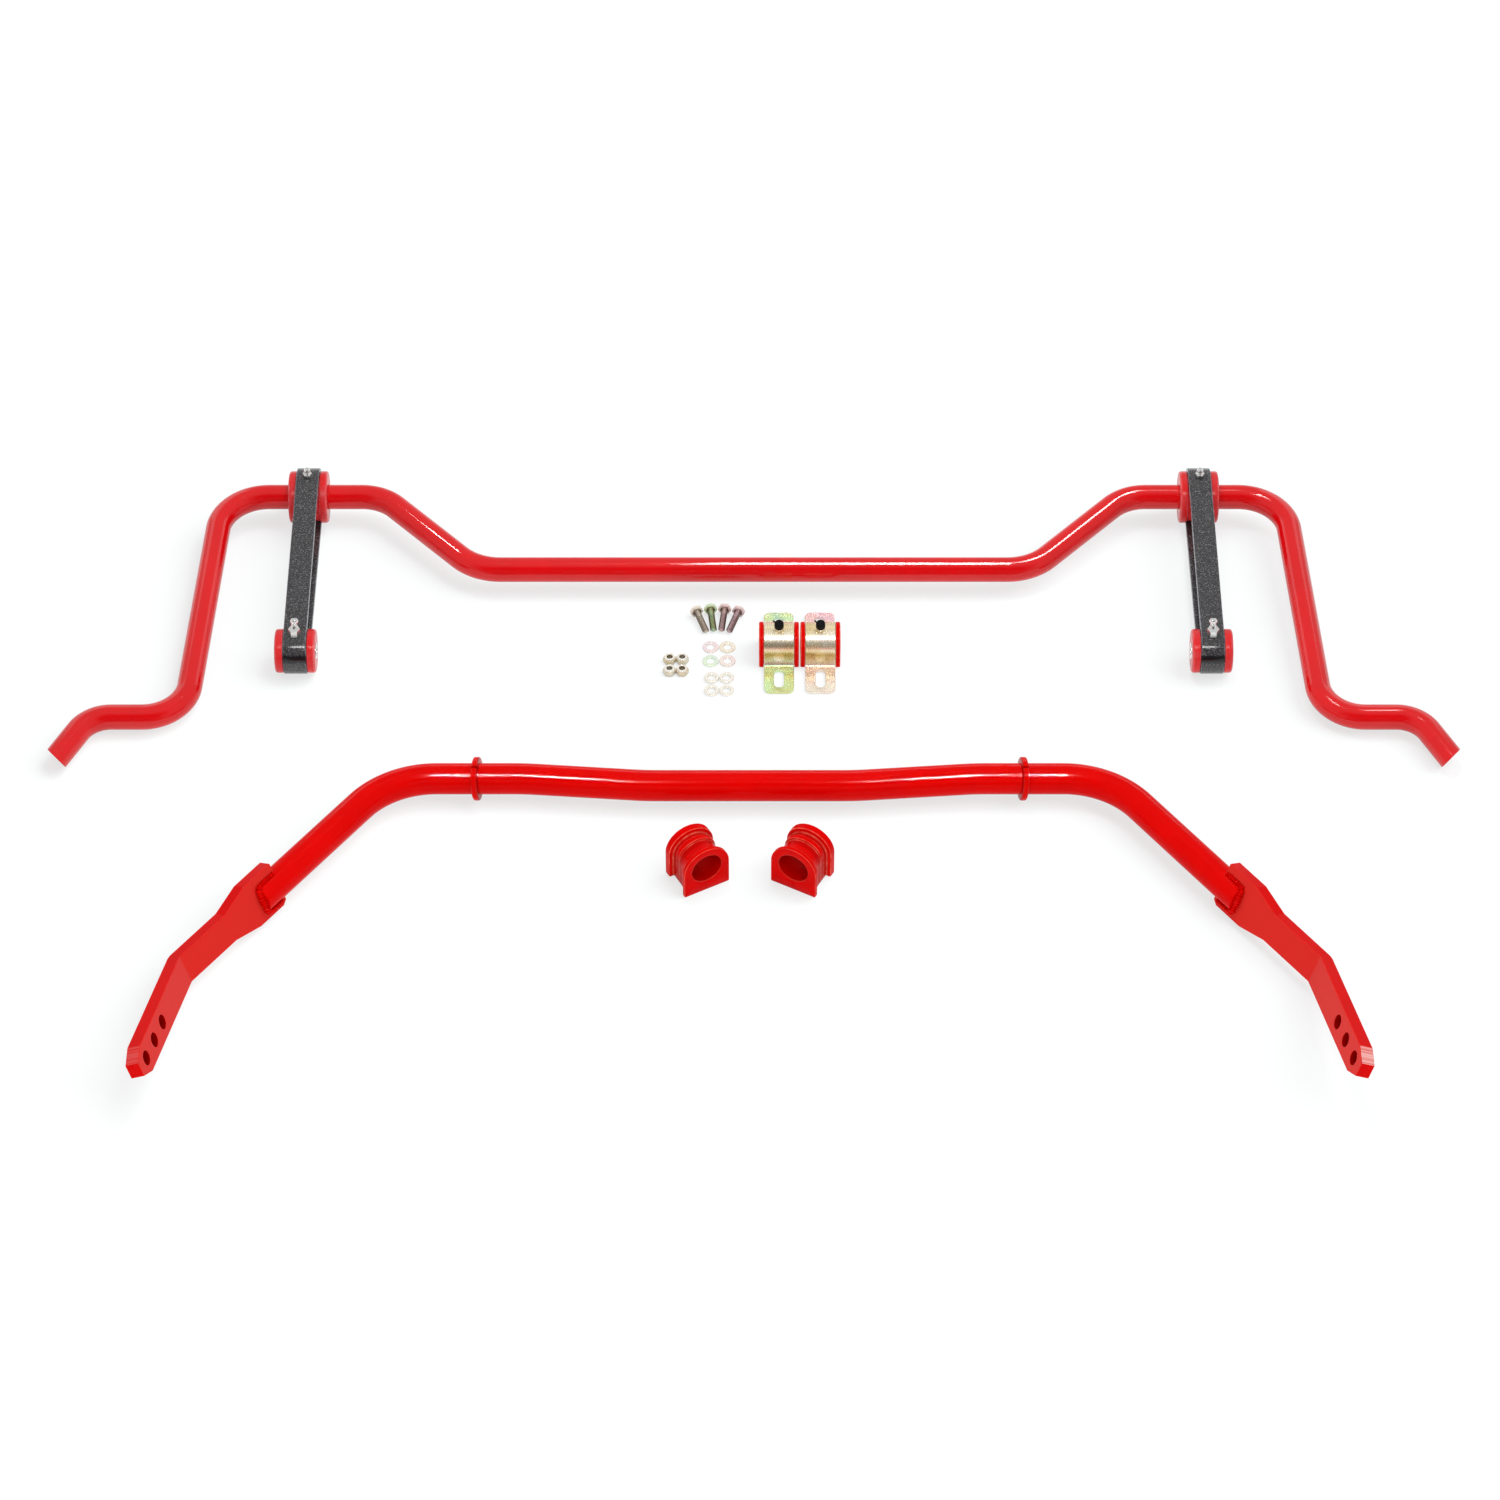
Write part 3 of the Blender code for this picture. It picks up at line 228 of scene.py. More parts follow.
@contextmanager
def editing(mesh: bpy.types.Mesh) -> Iterator[bmesh.types.BMesh]:
    """Opens a mesh for editing with its doubles merged, and writes it back.

    Args:
        mesh: The mesh.

    Yields:
        The editable mesh.
    """
    work = bmesh.new()
    work.from_mesh(mesh)
    bmesh.ops.remove_doubles(work, verts=work.verts, dist=MERGE_DISTANCE)
    yield work
    work.to_mesh(mesh)
    work.free()


def add_object(name: str, data: bpy.types.ID) -> bpy.types.Object:
    """Puts a mesh, a lamp or a camera into the scene.

    Args:
        name: The new object's name.
        data: What it holds.

    Returns:
        The new object, at the origin.
    """
    made = bpy.data.objects.new(name, data)
    bpy.context.scene.collection.objects.link(made)
    return made


def set_marks(mesh: bpy.types.Mesh, label: str, values: Sequence[float], domain: str = "POINT") -> None:
    """Gives a mesh named numbers, one for each vertex or, by the domain, each face."""
    mesh.attributes.new(label, "FLOAT", domain).data.foreach_set("value", values)


def mark(mesh: bpy.types.Mesh, label: str, rule: Callable[[Vector], float]) -> None:
    """Gives every vertex of a mesh a named number by a rule that takes its place."""
    set_marks(mesh, label, [rule(vert.co) for vert in mesh.vertices])


def share_of(value: float, low: float, high: float) -> float:
    """How far a value is from low to high, within 0 and 1."""
    return min(1.0, max(0.0, (value - low) / (high - low)))


def finish_mesh(name: str, mesh: bpy.types.Mesh, sharp: float | None = SHARP_DEGREES) -> bpy.types.Object:
    """Merges doubles, turns faces outwards and shades a mesh, then shows it.

    Args:
        name: The piece's name.
        mesh: The mesh, in its place.
        sharp: Edges steeper than this many degrees stay sharp; None keeps the mesh's own.

    Returns:
        The new object, at the origin.
    """
    with editing(mesh) as work:
        bmesh.ops.dissolve_degenerate(work, edges=work.edges, dist=MERGE_DISTANCE / 10)
        bmesh.ops.recalc_face_normals(work, faces=work.faces)
    if sharp is not None:
        mesh.shade_smooth()
        mesh.set_sharp_from_angle(angle=math.radians(sharp))
    mesh.name = name
    return add_object(name, mesh)


def join_meshes(meshes: Sequence[bpy.types.Mesh], name: str) -> bpy.types.Mesh:
    """Puts several meshes into one and deletes them.

    Args:
        meshes: The meshes to join.
        name: The joined mesh's name.

    Returns:
        The joined mesh.
    """
    work = bmesh.new()
    for mesh in meshes:
        work.from_mesh(mesh)
    joined = bpy.data.meshes.new(name)
    work.to_mesh(joined)
    work.free()
    for mesh in meshes:
        bpy.data.meshes.remove(mesh)
    return joined


class MeshDraft:
    """Vertices, edge marks and faces of one piece, gathered shell by shell."""

    def __init__(self) -> None:
        """Starts with nothing."""
        self.points: list[Vector] = []
        self.rims: list[float] = []
        self.faces: list[list[int]] = []

    def grid(
        self, rows: Sequence[Sequence[Vector]], rims: Sequence[float], close_rows: bool,
        close_columns: bool,
    ) -> None:
        """Adds a net of faces; open columns get flat caps where the rows close.

        Args:
            rows: Rows of points, all of one length.
            rims: The edge mark of each row.
            close_rows: Whether the last row joins the first.
            close_columns: Whether the last column joins the first.
        """
        base = len(self.points)
        width = len(rows[0])
        for row, rim in zip(rows, rims):
            self.points.extend(row)
            self.rims.extend([rim] * width)
        for i in range(len(rows) if close_rows else len(rows) - 1):
            low = base + i * width
            high = base + (i + 1) % len(rows) * width
            for k in range(width if close_columns else width - 1):
                m = (k + 1) % width
                self.faces.append([low + k, low + m, high + m, high + k])
        if close_rows and not close_columns:
            first = [base + i * width for i in range(len(rows))]
            self.faces.append(first)
            self.faces.append([i + width - 1 for i in reversed(first)])

    def turned(
        self, profile: Sequence[ProfilePoint], steps: int, matrix: Matrix, ring: bool = True,
        slit: float = 0.0,
    ) -> None:
        """Turns a section round the matrix's Z.

        Args:
            profile: The section, as radius and height.
            steps: How many faces go round.
            matrix: Where the turned shape stands.
            ring: Whether the section is closed, as round a bore.
            slit: Angle left open about the matrix's X, in radians.
        """
        whole = slit == 0.0
        count = steps if whole else steps + 1
        sweep = 2 * math.pi - slit
        angles = [slit / 2 + sweep * k / steps for k in range(count)]
        rows = [
            [matrix @ Vector((p.across * math.cos(a), p.across * math.sin(a), p.along)) for a in angles]
            for p in profile
        ]
        self.grid(rows, [p.rim for p in profile], ring, whole)

    def hexagon(
        self, across_flats: float, low: float, high: float, matrix: Matrix, bore: float = 0.0,
        both_ends: bool = False,
    ) -> None:
        """Adds a hexagon with its corners turned off, corners on the matrix's Y.

        Args:
            across_flats: Size across the flats.
            low: Height of the lower face.
            high: Height of the upper face.
            matrix: Where the hexagon stands.
            bore: Radius of a hole through it, or 0.
            both_ends: Whether the lower corners are turned off too.
        """
        flat = across_flats / 2
        turned_r = flat * HEX_TURNED_SHARE
        bevel = math.tan(math.radians(HEX_BEVEL_DEGREES))
        sixth = math.pi / 3

        def row(radius: float | None, height: float, drop: float) -> list[Vector]:
            """One ring of points.

            Args:
                radius: The ring's radius; None follows the flats.
                height: The ring's height.
                drop: Which way its corners fall off: -1, 0 or 1.

            Returns:
                The points.
            """
            ring = []
            for k in range(HEX_STEPS):
                angle = 2 * math.pi * k / HEX_STEPS
                reach = flat / math.cos((angle + sixth / 2) % sixth - sixth / 2)
                out = reach if radius is None else radius
                level = height + drop * (reach - turned_r) * bevel
                ring.append(matrix @ Vector((out * math.cos(angle), out * math.sin(angle), level)))
            return ring

        rows = [
            row(bore, low, 0.0), row(turned_r if both_ends else None, low, 0.0),
            row(None, low, 1.0 if both_ends else 0.0), row(None, high, -1.0), row(turned_r, high, 0.0),
            row(bore, high, 0.0),
        ]
        self.grid(rows, HEX_RIMS, bore > 0.0, True)

    def mesh(self, name: str) -> bpy.types.Mesh:
        """Makes the draft a mesh with its edge marks.

        Args:
            name: The mesh's name.

        Returns:
            The mesh.
        """
        made = bpy.data.meshes.new(name)
        made.from_pydata([tuple(p) for p in self.points], [], self.faces)
        set_marks(made, "rim", self.rims)
        return made

    def finish(self, name: str, sharp: float = SHARP_DEGREES) -> bpy.types.Object:
        """Makes the draft a shown piece; see finish_mesh."""
        return finish_mesh(name, self.mesh(name), sharp)


def path_object(
    name: str, points: Sequence[Vector], marks: dict[str, Sequence[float]], joined: bool = True
) -> bpy.types.Object:
    """A base object for a geometry recipe: points, joined by edges or loose.

    Args:
        name: The object's name.
        points: The points, in their place.
        marks: Named numbers for the points.
        joined: Whether edges join each point to the next.

    Returns:
        The base object.
    """
    mesh = bpy.data.meshes.new(name)
    edges = [(i, i + 1) for i in range(len(points) - 1)] if joined else []
    mesh.from_pydata([tuple(p) for p in points], edges, [])
    for label, values in marks.items():
        set_marks(mesh, label, values)
    return add_object(name, mesh)


class Graph:
    """Adds nodes to one tree and links them."""

    def __init__(self, tree: bpy.types.NodeTree) -> None:
        """Keeps the tree."""
        self.tree = tree

    def node(self, kind: str, inputs: dict[Any, Any] | None = None, **settings: Any) -> bpy.types.Node:
        """Adds a node.

        Args:
            kind: The node's type.
            inputs: A value or a socket to link for each input, by name or index.
            **settings: The node's own properties.

        Returns:
            The node.
        """
        made = self.tree.nodes.new(kind)
        for name, value in settings.items():
            setattr(made, name, value)
        for name, value in (inputs or {}).items():
            if isinstance(value, bpy.types.NodeSocket):
                self.tree.links.new(value, made.inputs[name])
            else:
                made.inputs[name].default_value = value
        return made

    def link(self, source: bpy.types.NodeSocket, target: bpy.types.NodeSocket) -> None:
        """Links two sockets."""
        self.tree.links.new(source, target)

    def math(
        self, operation: str, first: Any, second: Any = 0.0, clamp: bool = False
    ) -> bpy.types.NodeSocket:
        """Adds a Math node.

        Args:
            operation: The node's operation.
            first: First value or socket.
            second: Second value or socket.
            clamp: Whether the result stays within 0 and 1.

        Returns:
            The result's socket.
        """
        made = self.node("ShaderNodeMath", {0: first, 1: second}, operation=operation, use_clamp=clamp)
        return made.outputs[0]

    def spread(
        self, value: Any, low: float, high: float, to_low: float, to_high: float
    ) -> bpy.types.NodeSocket:
        """Maps a range of values onto another, clamped.

        Args:
            value: The value's socket.
            low: Where the range starts.
            high: Where the range ends.
            to_low: What the start becomes.
            to_high: What the end becomes.

        Returns:
            The result's socket.
        """
        made = self.node("ShaderNodeMapRange", {0: value, 1: low, 2: high, 3: to_low, 4: to_high})
        return made.outputs[0]

    def mix(self, share: Any, first: Any, second: Any) -> bpy.types.NodeSocket:
        """Mixes two colours.

        Args:
            share: How much of the second colour shows.
            first: First colour or socket.
            second: Second colour or socket.

        Returns:
            The mixed colour's socket.
        """
        made = self.node("ShaderNodeMix", {0: share, 6: first, 7: second}, data_type="RGBA")
        return made.outputs[2]

    def group(self, tree: bpy.types.NodeTree, inputs: dict[str, Any]) -> Any:
        """Places a shader group with a value or a socket for each input, and gives its outputs."""
        return self.node("ShaderNodeGroup", inputs, node_tree=tree).outputs

    def mark(self, label: str, output: str = "Fac") -> bpy.types.NodeSocket:
        """The numbers that the piece's own mesh holds under a name."""
        return self.node("ShaderNodeAttribute", attribute_name=label).outputs[output]


class Recipe:
    """A geometry tree with named inputs, run once on a base object."""

    def __init__(self, name: str, inputs: dict[str, str]) -> None:
        """Makes the tree with its sockets.

        Args:
            name: The tree's name.
            inputs: Socket type of each named input.
        """
        self.tree = bpy.data.node_groups.new(name, "GeometryNodeTree")
        sockets = {"Geometry": "NodeSocketGeometry", **inputs, "Material": "NodeSocketMaterial"}
        for label, kind in sockets.items():
            self.tree.interface.new_socket(name=label, in_out="INPUT", socket_type=kind)
        self.tree.interface.new_socket(name="Geometry", in_out="OUTPUT", socket_type="NodeSocketGeometry")
        self.graph = Graph(self.tree)
        self.inputs = self.graph.node("NodeGroupInput").outputs

    def named(self, label: str) -> bpy.types.NodeSocket:
        """The numbers that the base object's points hold under a name."""
        kind = "GeometryNodeInputNamedAttribute"
        return self.graph.node(kind, {"Name": label}, data_type="FLOAT").outputs[0]

    def path(self, bend_steps: Any) -> bpy.types.NodeSocket:
        """The base object's path, each corner bent by its own radius.

        Args:
            bend_steps: How many pieces each bend has, or its socket.

        Returns:
            The path's socket.
        """
        line = self.graph.node("GeometryNodeMeshToCurve", {"Mesh": self.inputs["Geometry"]})
        fillet = self.graph.node(
            "GeometryNodeFilletCurve",
            {"Curve": line.outputs[0], "Radius": self.named("bend"), "Count": bend_steps}, mode="POLY",
        )
        return fillet.outputs[0]

    def sweep(self, path: bpy.types.NodeSocket, radius: Any, sides: Any) -> None:
        """Ends the tree with a round or many-sided rod along a path.

        Args:
            path: The path's socket.
            radius: The rod's radius.
            sides: How many sides it has.
        """
        circle = self.graph.node(
            "GeometryNodeCurvePrimitiveCircle", {"Radius": radius, "Resolution": sides}
        )
        body = self.graph.node(
            "GeometryNodeCurveToMesh",
            {"Curve": path, "Profile Curve": circle.outputs[0], "Fill Caps": True},
        )
        self.close(body.outputs[0])

    def close(self, geometry: bpy.types.NodeSocket) -> None:
        """Ends the tree: smooth faces, no instances, one material.

        Args:
            geometry: The socket that holds the finished shape.
        """
        whole = self.graph.node("GeometryNodeRealizeInstances", {"Geometry": geometry})
        smooth = self.graph.node("GeometryNodeSetShadeSmooth", {"Geometry": whole.outputs[0]})
        dressed = self.graph.node(
            "GeometryNodeSetMaterial",
            {"Geometry": smooth.outputs[0], "Material": self.inputs["Material"]},
        )
        self.graph.node("NodeGroupOutput", {"Geometry": dressed.outputs[0]})

    def run(self, base: bpy.types.Object, values: dict[str, Any]) -> bpy.types.Mesh:
        """Runs the tree on a base object, which is then deleted.

        Args:
            base: The object that holds the path or the points.
            values: A value for each named input.

        Returns:
            The result as a plain mesh.
        """
        modifier = base.modifiers.new(self.tree.name, "NODES")
        modifier.node_group = self.tree
        keys = {
            item.name: item.identifier
            for item in self.tree.interface.items_tree
            if item.item_type == "SOCKET" and item.in_out == "INPUT"
        }
        for label, value in values.items():
            modifier[keys[label]] = value
        evaluated = base.evaluated_get(bpy.context.evaluated_depsgraph_get())
        mesh = bpy.data.meshes.new_from_object(evaluated)
        base.modifiers.remove(modifier)
        bpy.data.objects.remove(base)
        return mesh


def bent_bar_recipe() -> Recipe:
    """A round bar along a path whose corners are bends.

    Returns:
        The recipe; its base object's points hold their bend radius.
    """
    sockets = {"Bar Radius": "NodeSocketFloat", "Bend Steps": "NodeSocketInt", "Sides": "NodeSocketInt"}
    recipe = Recipe("bent_bar", sockets)
    inputs = recipe.inputs
    recipe.sweep(recipe.path(inputs["Bend Steps"]), inputs["Bar Radius"], inputs["Sides"])
    return recipe


def weld_recipe() -> Recipe:
    """A weld bead along a path: overlapping ripples of melted metal.

    Returns:
        The recipe; its base object's points hold their bend radius and swell.
    """
    sockets = {
        "Bead Radius": "NodeSocketFloat", "Ripple Spacing": "NodeSocketFloat", "Seed": "NodeSocketInt"
    }
    recipe = Recipe("weld_bead", sockets)
    graph, inputs = recipe.graph, recipe.inputs
    spots = graph.node(
        "GeometryNodeCurveToPoints",
        {"Curve": recipe.path(WELD_BEND_STEPS), "Length": inputs["Ripple Spacing"]}, mode="LENGTH",
    )
    ripple = graph.node(
        "GeometryNodeMeshUVSphere",
        {"Segments": RIPPLE_SEGMENTS, "Rings": RIPPLE_RINGS, "Radius": inputs["Bead Radius"]},
    )
    vary = graph.node(
        "FunctionNodeRandomValue", {0: RIPPLE_LEAST, 1: RIPPLE_MOST, "Seed": inputs["Seed"]},
        data_type="FLOAT_VECTOR",
    )
    size = graph.node(
        "ShaderNodeVectorMath", {0: vary.outputs[0], 3: recipe.named("swell")}, operation="SCALE"
    )
    ripples = graph.node(
        "GeometryNodeInstanceOnPoints",
        {
            "Points": spots.outputs["Points"], "Instance": ripple.outputs[0],
            "Rotation": spots.outputs["Rotation"], "Scale": size.outputs[0],
        },
    )
    recipe.close(ripples.outputs[0])
    return recipe


def thread_recipe() -> Recipe:
    """A screw thread's ridge round the Z axis, up from Z 0.

    Returns:
        The recipe; its base object may be empty.
    """
    names = ("Radius", "Length", "Turns", "Ridge")
    recipe = Recipe("screw_thread", {name: "NodeSocketFloat" for name in names})
    graph, inputs = recipe.graph, recipe.inputs
    helix = graph.node(
        "GeometryNodeCurveSpiral",
        {
            "Resolution": THREAD_STEPS, "Rotations": inputs["Turns"], "Start Radius": inputs["Radius"],
            "End Radius": inputs["Radius"], "Height": inputs["Length"],
        },
    )
    level = graph.node("GeometryNodeSetCurveNormal", {"Curve": helix.outputs[0]}, mode="Z_UP")
    recipe.sweep(level.outputs[0], inputs["Ridge"], THREAD_SIDES)
    return recipe


def laid_out_recipe() -> Recipe:
    """Copies of one loose piece on points, each turned by its point's own angle.

    Returns:
        The recipe; its base object's points hold turn and tint.
    """
    recipe = Recipe("laid_out", {"Piece": "NodeSocketObject", "Tip Over": "NodeSocketFloat"})
    graph, inputs = recipe.graph, recipe.inputs
    piece = graph.node("GeometryNodeObjectInfo", {"Object": inputs["Piece"]}, transform_space="ORIGINAL")
    angles = graph.node("ShaderNodeCombineXYZ", {0: inputs["Tip Over"], 2: recipe.named("turn")})
    copies = graph.node(
        "GeometryNodeInstanceOnPoints",
        {
            "Points": inputs["Geometry"], "Instance": piece.outputs["Geometry"],
            "Rotation": angles.outputs[0],
        },
    )
    recipe.close(copies.outputs[0])
    return recipe


@dataclass(frozen=True)
class Recipes:
    bent_bar: Recipe = field(default_factory=bent_bar_recipe)
    weld: Recipe = field(default_factory=weld_recipe)
    thread: Recipe = field(default_factory=thread_recipe)
    laid_out: Recipe = field(default_factory=laid_out_recipe)


def effect_group(
    name: str, inputs: dict[str, float], outputs: dict[str, str]
) -> tuple[Graph, Any, bpy.types.Node]:
    """Starts a shader group.

    Args:
        name: The group's name.
        inputs: The default of each named number that goes in.
        outputs: The socket type of each named result.

    Returns:
        The group's graph, its inputs and its output node.
    """
    tree = bpy.data.node_groups.new(name, "ShaderNodeTree")
    for label, default in inputs.items():
        socket = tree.interface.new_socket(name=label, in_out="INPUT", socket_type="NodeSocketFloat")
        socket.default_value = default
    for label, kind in outputs.items():
        tree.interface.new_socket(name=label, in_out="OUTPUT", socket_type=kind)
    graph = Graph(tree)
    return graph, graph.node("NodeGroupInput").outputs, graph.node("NodeGroupOutput")


def object_noise(graph: Graph, scale: Any, detail: float, stretch: Spot = (1.0, 1.0, 1.0)) -> Any:
    """Noise over the piece's own coordinates.

    Args:
        graph: The tree that gets the nodes.
        scale: How fine the noise is, per metre.
        detail: How many finer layers it has.
        stretch: Scale along X, Y and Z.

    Returns:
        The noise's value socket.
    """
    spot = graph.node("ShaderNodeTexCoord").outputs["Object"]
    moved = graph.node("ShaderNodeMapping", {"Vector": spot, "Scale": stretch})
    noise = graph.node(
        "ShaderNodeTexNoise", {"Vector": moved.outputs[0], "Scale": scale, "Detail": detail}
    )
    return noise.outputs[0]


class Effects:
    """The shader groups that the finishes share."""

    def __init__(self) -> None:
        """Builds each group once."""
        self.peel = self._peel()
        self.wear_and_highlight = self._wear()
        self.speckle = self._speckle()
        self.rainbow = self._rainbow()

    @staticmethod
    def _peel() -> bpy.types.NodeTree:
        """Sprayed coat: fine waves of its surface and broad blotches of its colour.

        Returns:
            The shader group.
        """
        graph, inputs, out = effect_group(
            "sprayed_coat", {"Scale": 400.0, "Blotch Scale": 30.0},
            {"Height": "NodeSocketFloat", "Blotch": "NodeSocketFloat"},
        )
        waves = object_noise(graph, inputs["Scale"], 1.5)
        blotch = object_noise(graph, inputs["Blotch Scale"], 3.0)
        graph.link(waves, out.inputs["Height"])
        graph.link(graph.spread(blotch, 0.35, 0.7, 0.0, 1.0), out.inputs["Blotch"])
        return graph.tree

    @staticmethod
    def _wear() -> bpy.types.NodeTree:
        """Rubbed edges and painted edge highlights: the marked edges, broken up.

        Returns:
            The shader group.
        """
        graph, inputs, out = effect_group(
            "edge_wear", {"Rim": 0.0, "Breakup Scale": 200.0}, {"Mask": "NodeSocketFloat"}
        )
        patches = graph.spread(object_noise(graph, inputs["Breakup Scale"], 3.0), 0.35, 0.7, 0.2, 1.0)
        rim = graph.math("POWER", inputs["Rim"], 1.5, clamp=True)
        graph.link(graph.math("MULTIPLY", rim, patches), out.inputs["Mask"])
        return graph.tree

    @staticmethod
    def _speckle() -> bpy.types.NodeTree:
        """Fine pale specks and a grain between them.

        Returns:
            The shader group.
        """
        graph, inputs, out = effect_group(
            "speckle", {"Scale": 900.0, "Threshold": 0.62},
            {"Mask": "NodeSocketFloat", "Grain": "NodeSocketFloat"},
        )
        grain = object_noise(graph, inputs["Scale"], 2.0)
        specks = graph.math("SUBTRACT", grain, inputs["Threshold"])
        graph.link(graph.math("MULTIPLY", specks, 12.0, clamp=True), out.inputs["Mask"])
        graph.link(grain, out.inputs["Grain"])
        return graph.tree

    @staticmethod
    def _rainbow() -> bpy.types.NodeTree:
        """Yellow chromate on zinc: bands of gold, pink, cream and green.

        Returns:
            The shader group.
        """
        graph, inputs, out = effect_group(
            "zinc_rainbow", {"Scale": 60.0, "Tint": 0.5, "Spread": 0.5},
            {"Colour": "NodeSocketColor", "Streak": "NodeSocketFloat"},
        )
        clouds = object_noise(graph, inputs["Scale"], 2.0)
        swing = graph.math("MULTIPLY", graph.math("SUBTRACT", clouds, 0.5), inputs["Spread"])
        level = graph.math("ADD", swing, inputs["Tint"], clamp=True)
        ramp = graph.node("ShaderNodeValToRGB", {0: level})
        stops = [
            (0.0, srgb(158, 120, 52)), (0.15, srgb(208, 174, 104)), (0.3, srgb(238, 216, 168)),
            (0.45, srgb(248, 240, 218)), (0.6, srgb(246, 208, 208)), (0.74, srgb(230, 204, 226)),
            (0.85, srgb(196, 240, 206)), (0.92, srgb(214, 246, 186)), (1.0, srgb(216, 220, 146)),
        ]
        while len(ramp.color_ramp.elements) < len(stops):
            ramp.color_ramp.elements.new(0.5)
        for element, (position, colour) in zip(ramp.color_ramp.elements, stops):
            element.position = position
            element.color = colour
        graph.link(ramp.outputs[0], out.inputs["Colour"])
        streak = object_noise(graph, 1100.0, 2.0, (1.0, 0.3, 1.0))
        graph.link(streak, out.inputs["Streak"])
        return graph.tree


class Paint(Graph):
    """A new material's tree, with its Principled node's sockets and the shared effects."""

    def __init__(self, name: str, effects: Effects | None = None) -> None:
        """Starts the material.

        Args:
            name: The material's name.
            effects: The shared shader groups, if it has any.
        """
        self.material = bpy.data.materials.new(name)
        self.material.use_nodes = True
        super().__init__(self.material.node_tree)
        self.sockets = self.tree.nodes["Principled BSDF"].inputs
        self.effects = effects

    def steady(self, levels: dict[str, float]) -> None:
        """Sets sockets of the Principled node that are the same all over the piece."""
        for label, level in levels.items():
            self.sockets[label].default_value = level

    def worn(self, tone: Any, edge: Colour, scale: float) -> bpy.types.NodeSocket:
        """Changes a colour at the piece's marked edges: rubbed paint, and on the polyurethane and the
        black strap a painted highlight.

        Args:
            tone: The colour's socket.
            edge: The colour of the marked edges.
            scale: How fine the edge marks are broken up.

        Returns:
            The colour's socket, with its marked edges changed.
        """
        wear_and_highlight = self.group(self.effects.wear_and_highlight, {"Rim": self.mark("rim"), "Breakup Scale": scale})
        return self.mix(wear_and_highlight["Mask"], tone, edge)

    def close(
        self, colour: Any, rough: Any, height: Any, strength: float, depth: float
    ) -> bpy.types.Material:
        """Links the results to the Principled node.

        Args:
            colour: The colour's socket.
            rough: The roughness's socket.
            height: The socket of the surface's height.
            strength: How strong the bumps are.
            depth: How deep the bumps are.

        Returns:
            The material.
        """
        bumps = {"Strength": strength, "Distance": depth, "Height": height}
        self.link(self.node("ShaderNodeBump", bumps).outputs[0], self.sockets["Normal"])
        self.link(colour, self.sockets["Base Color"])
        self.link(rough, self.sockets["Roughness"])
        return self.material


@dataclass(frozen=True)
class PowderCoat:
    """Gloss paint baked onto steel, paler at the edges, with a painted glint on the marked tip cuts and
    painted shade where the mesh marks it.
    """

    label: str
    colour: Colour
    deep: Colour
    edge: Colour
    # streak is the colour of the painted glint on the blade tips.
    streak: Colour
    dark: Colour
    face: Colour
    roughness: float
    specular: float
    peel_scale: float
    peel_strength: float = 0.5
    peel_depth: float = 0.000005
    blotch_scale: float = 24.0
    blotch_rough: float = 0.05
    wear_scale: float = 180.0
    drag_scale: float = 700.0
    drag_height: float = 8.0

    def material(self, effects: Effects) -> bpy.types.Material:
        """Builds the material.

        Args:
            effects: The shared shader groups.

        Returns:
            The material.
        """
        paint = Paint(self.label, effects)
        peel = paint.group(effects.peel, {"Scale": self.peel_scale, "Blotch Scale": self.blotch_scale})
        lines = paint.node(
            "ShaderNodeTexNoise",
            {"Vector": paint.mark("flat", "Vector"), "Scale": self.drag_scale, "Detail": 1.0},
        ).outputs[0]
        tone = paint.mix(peel["Blotch"], self.colour, self.deep)
        tone = paint.mix(paint.mark("sheet"), tone, self.face)
        tone = paint.worn(tone, self.edge, self.wear_scale)
        # Painted glint on the marked upper cut of a blade's tip, broken into drag lines.
        painted_glint = paint.math("MULTIPLY", paint.spread(lines, 0.35, 0.6, 0.25, 1.0), paint.mark("thin"))
        tone = paint.mix(painted_glint, tone, self.streak)
        # Painted shade where the mesh marks it: a ring's inner face, hole walls and weld toes.
        tone = paint.mix(paint.mark("shade"), tone, self.dark)
        rough = paint.spread(peel["Blotch"], 0.0, 1.0, self.roughness, self.roughness + self.blotch_rough)
        paint.steady({"Specular IOR Level": self.specular})
        on_cuts = paint.math("MULTIPLY", lines, paint.mark("cut"))
        drag = paint.math("MULTIPLY", on_cuts, self.drag_height)
        height = paint.math("ADD", peel["Height"], drag)
        return paint.close(tone, rough, height, self.peel_strength, self.peel_depth)


@dataclass(frozen=True)
class SpeckledBlack:
    """Satin black coat on strap steel, with pale specks, a painted highlight along its marked edges and a
    painted dark reflection where marked.
    """

    label: str
    colour: Colour
    speck: Colour
    edge: Colour
    dark: Colour
    roughness: float
    speck_scale: float = 900.0
    speck_threshold: float = 0.56
    wear_scale: float = 320.0
    grain_strength: float = 0.2
    grain_depth: float = 0.00002

    def material(self, effects: Effects) -> bpy.types.Material:
        """Builds the material.

        Args:
            effects: The shared shader groups.

        Returns:
            The material.
        """
        paint = Paint(self.label, effects)
        speck = paint.group(
            effects.speckle, {"Scale": self.speck_scale, "Threshold": self.speck_threshold}
        )
        tone = paint.mix(speck["Mask"], self.colour, self.speck)
        tone = paint.worn(tone, self.edge, self.wear_scale)
        tone = paint.mix(paint.mark("shade"), tone, self.dark)
        grain = speck["Grain"]
        rough = paint.spread(grain, 0.3, 0.7, self.roughness - 0.05, self.roughness + 0.1)
        return paint.close(tone, rough, grain, self.grain_strength, self.grain_depth)


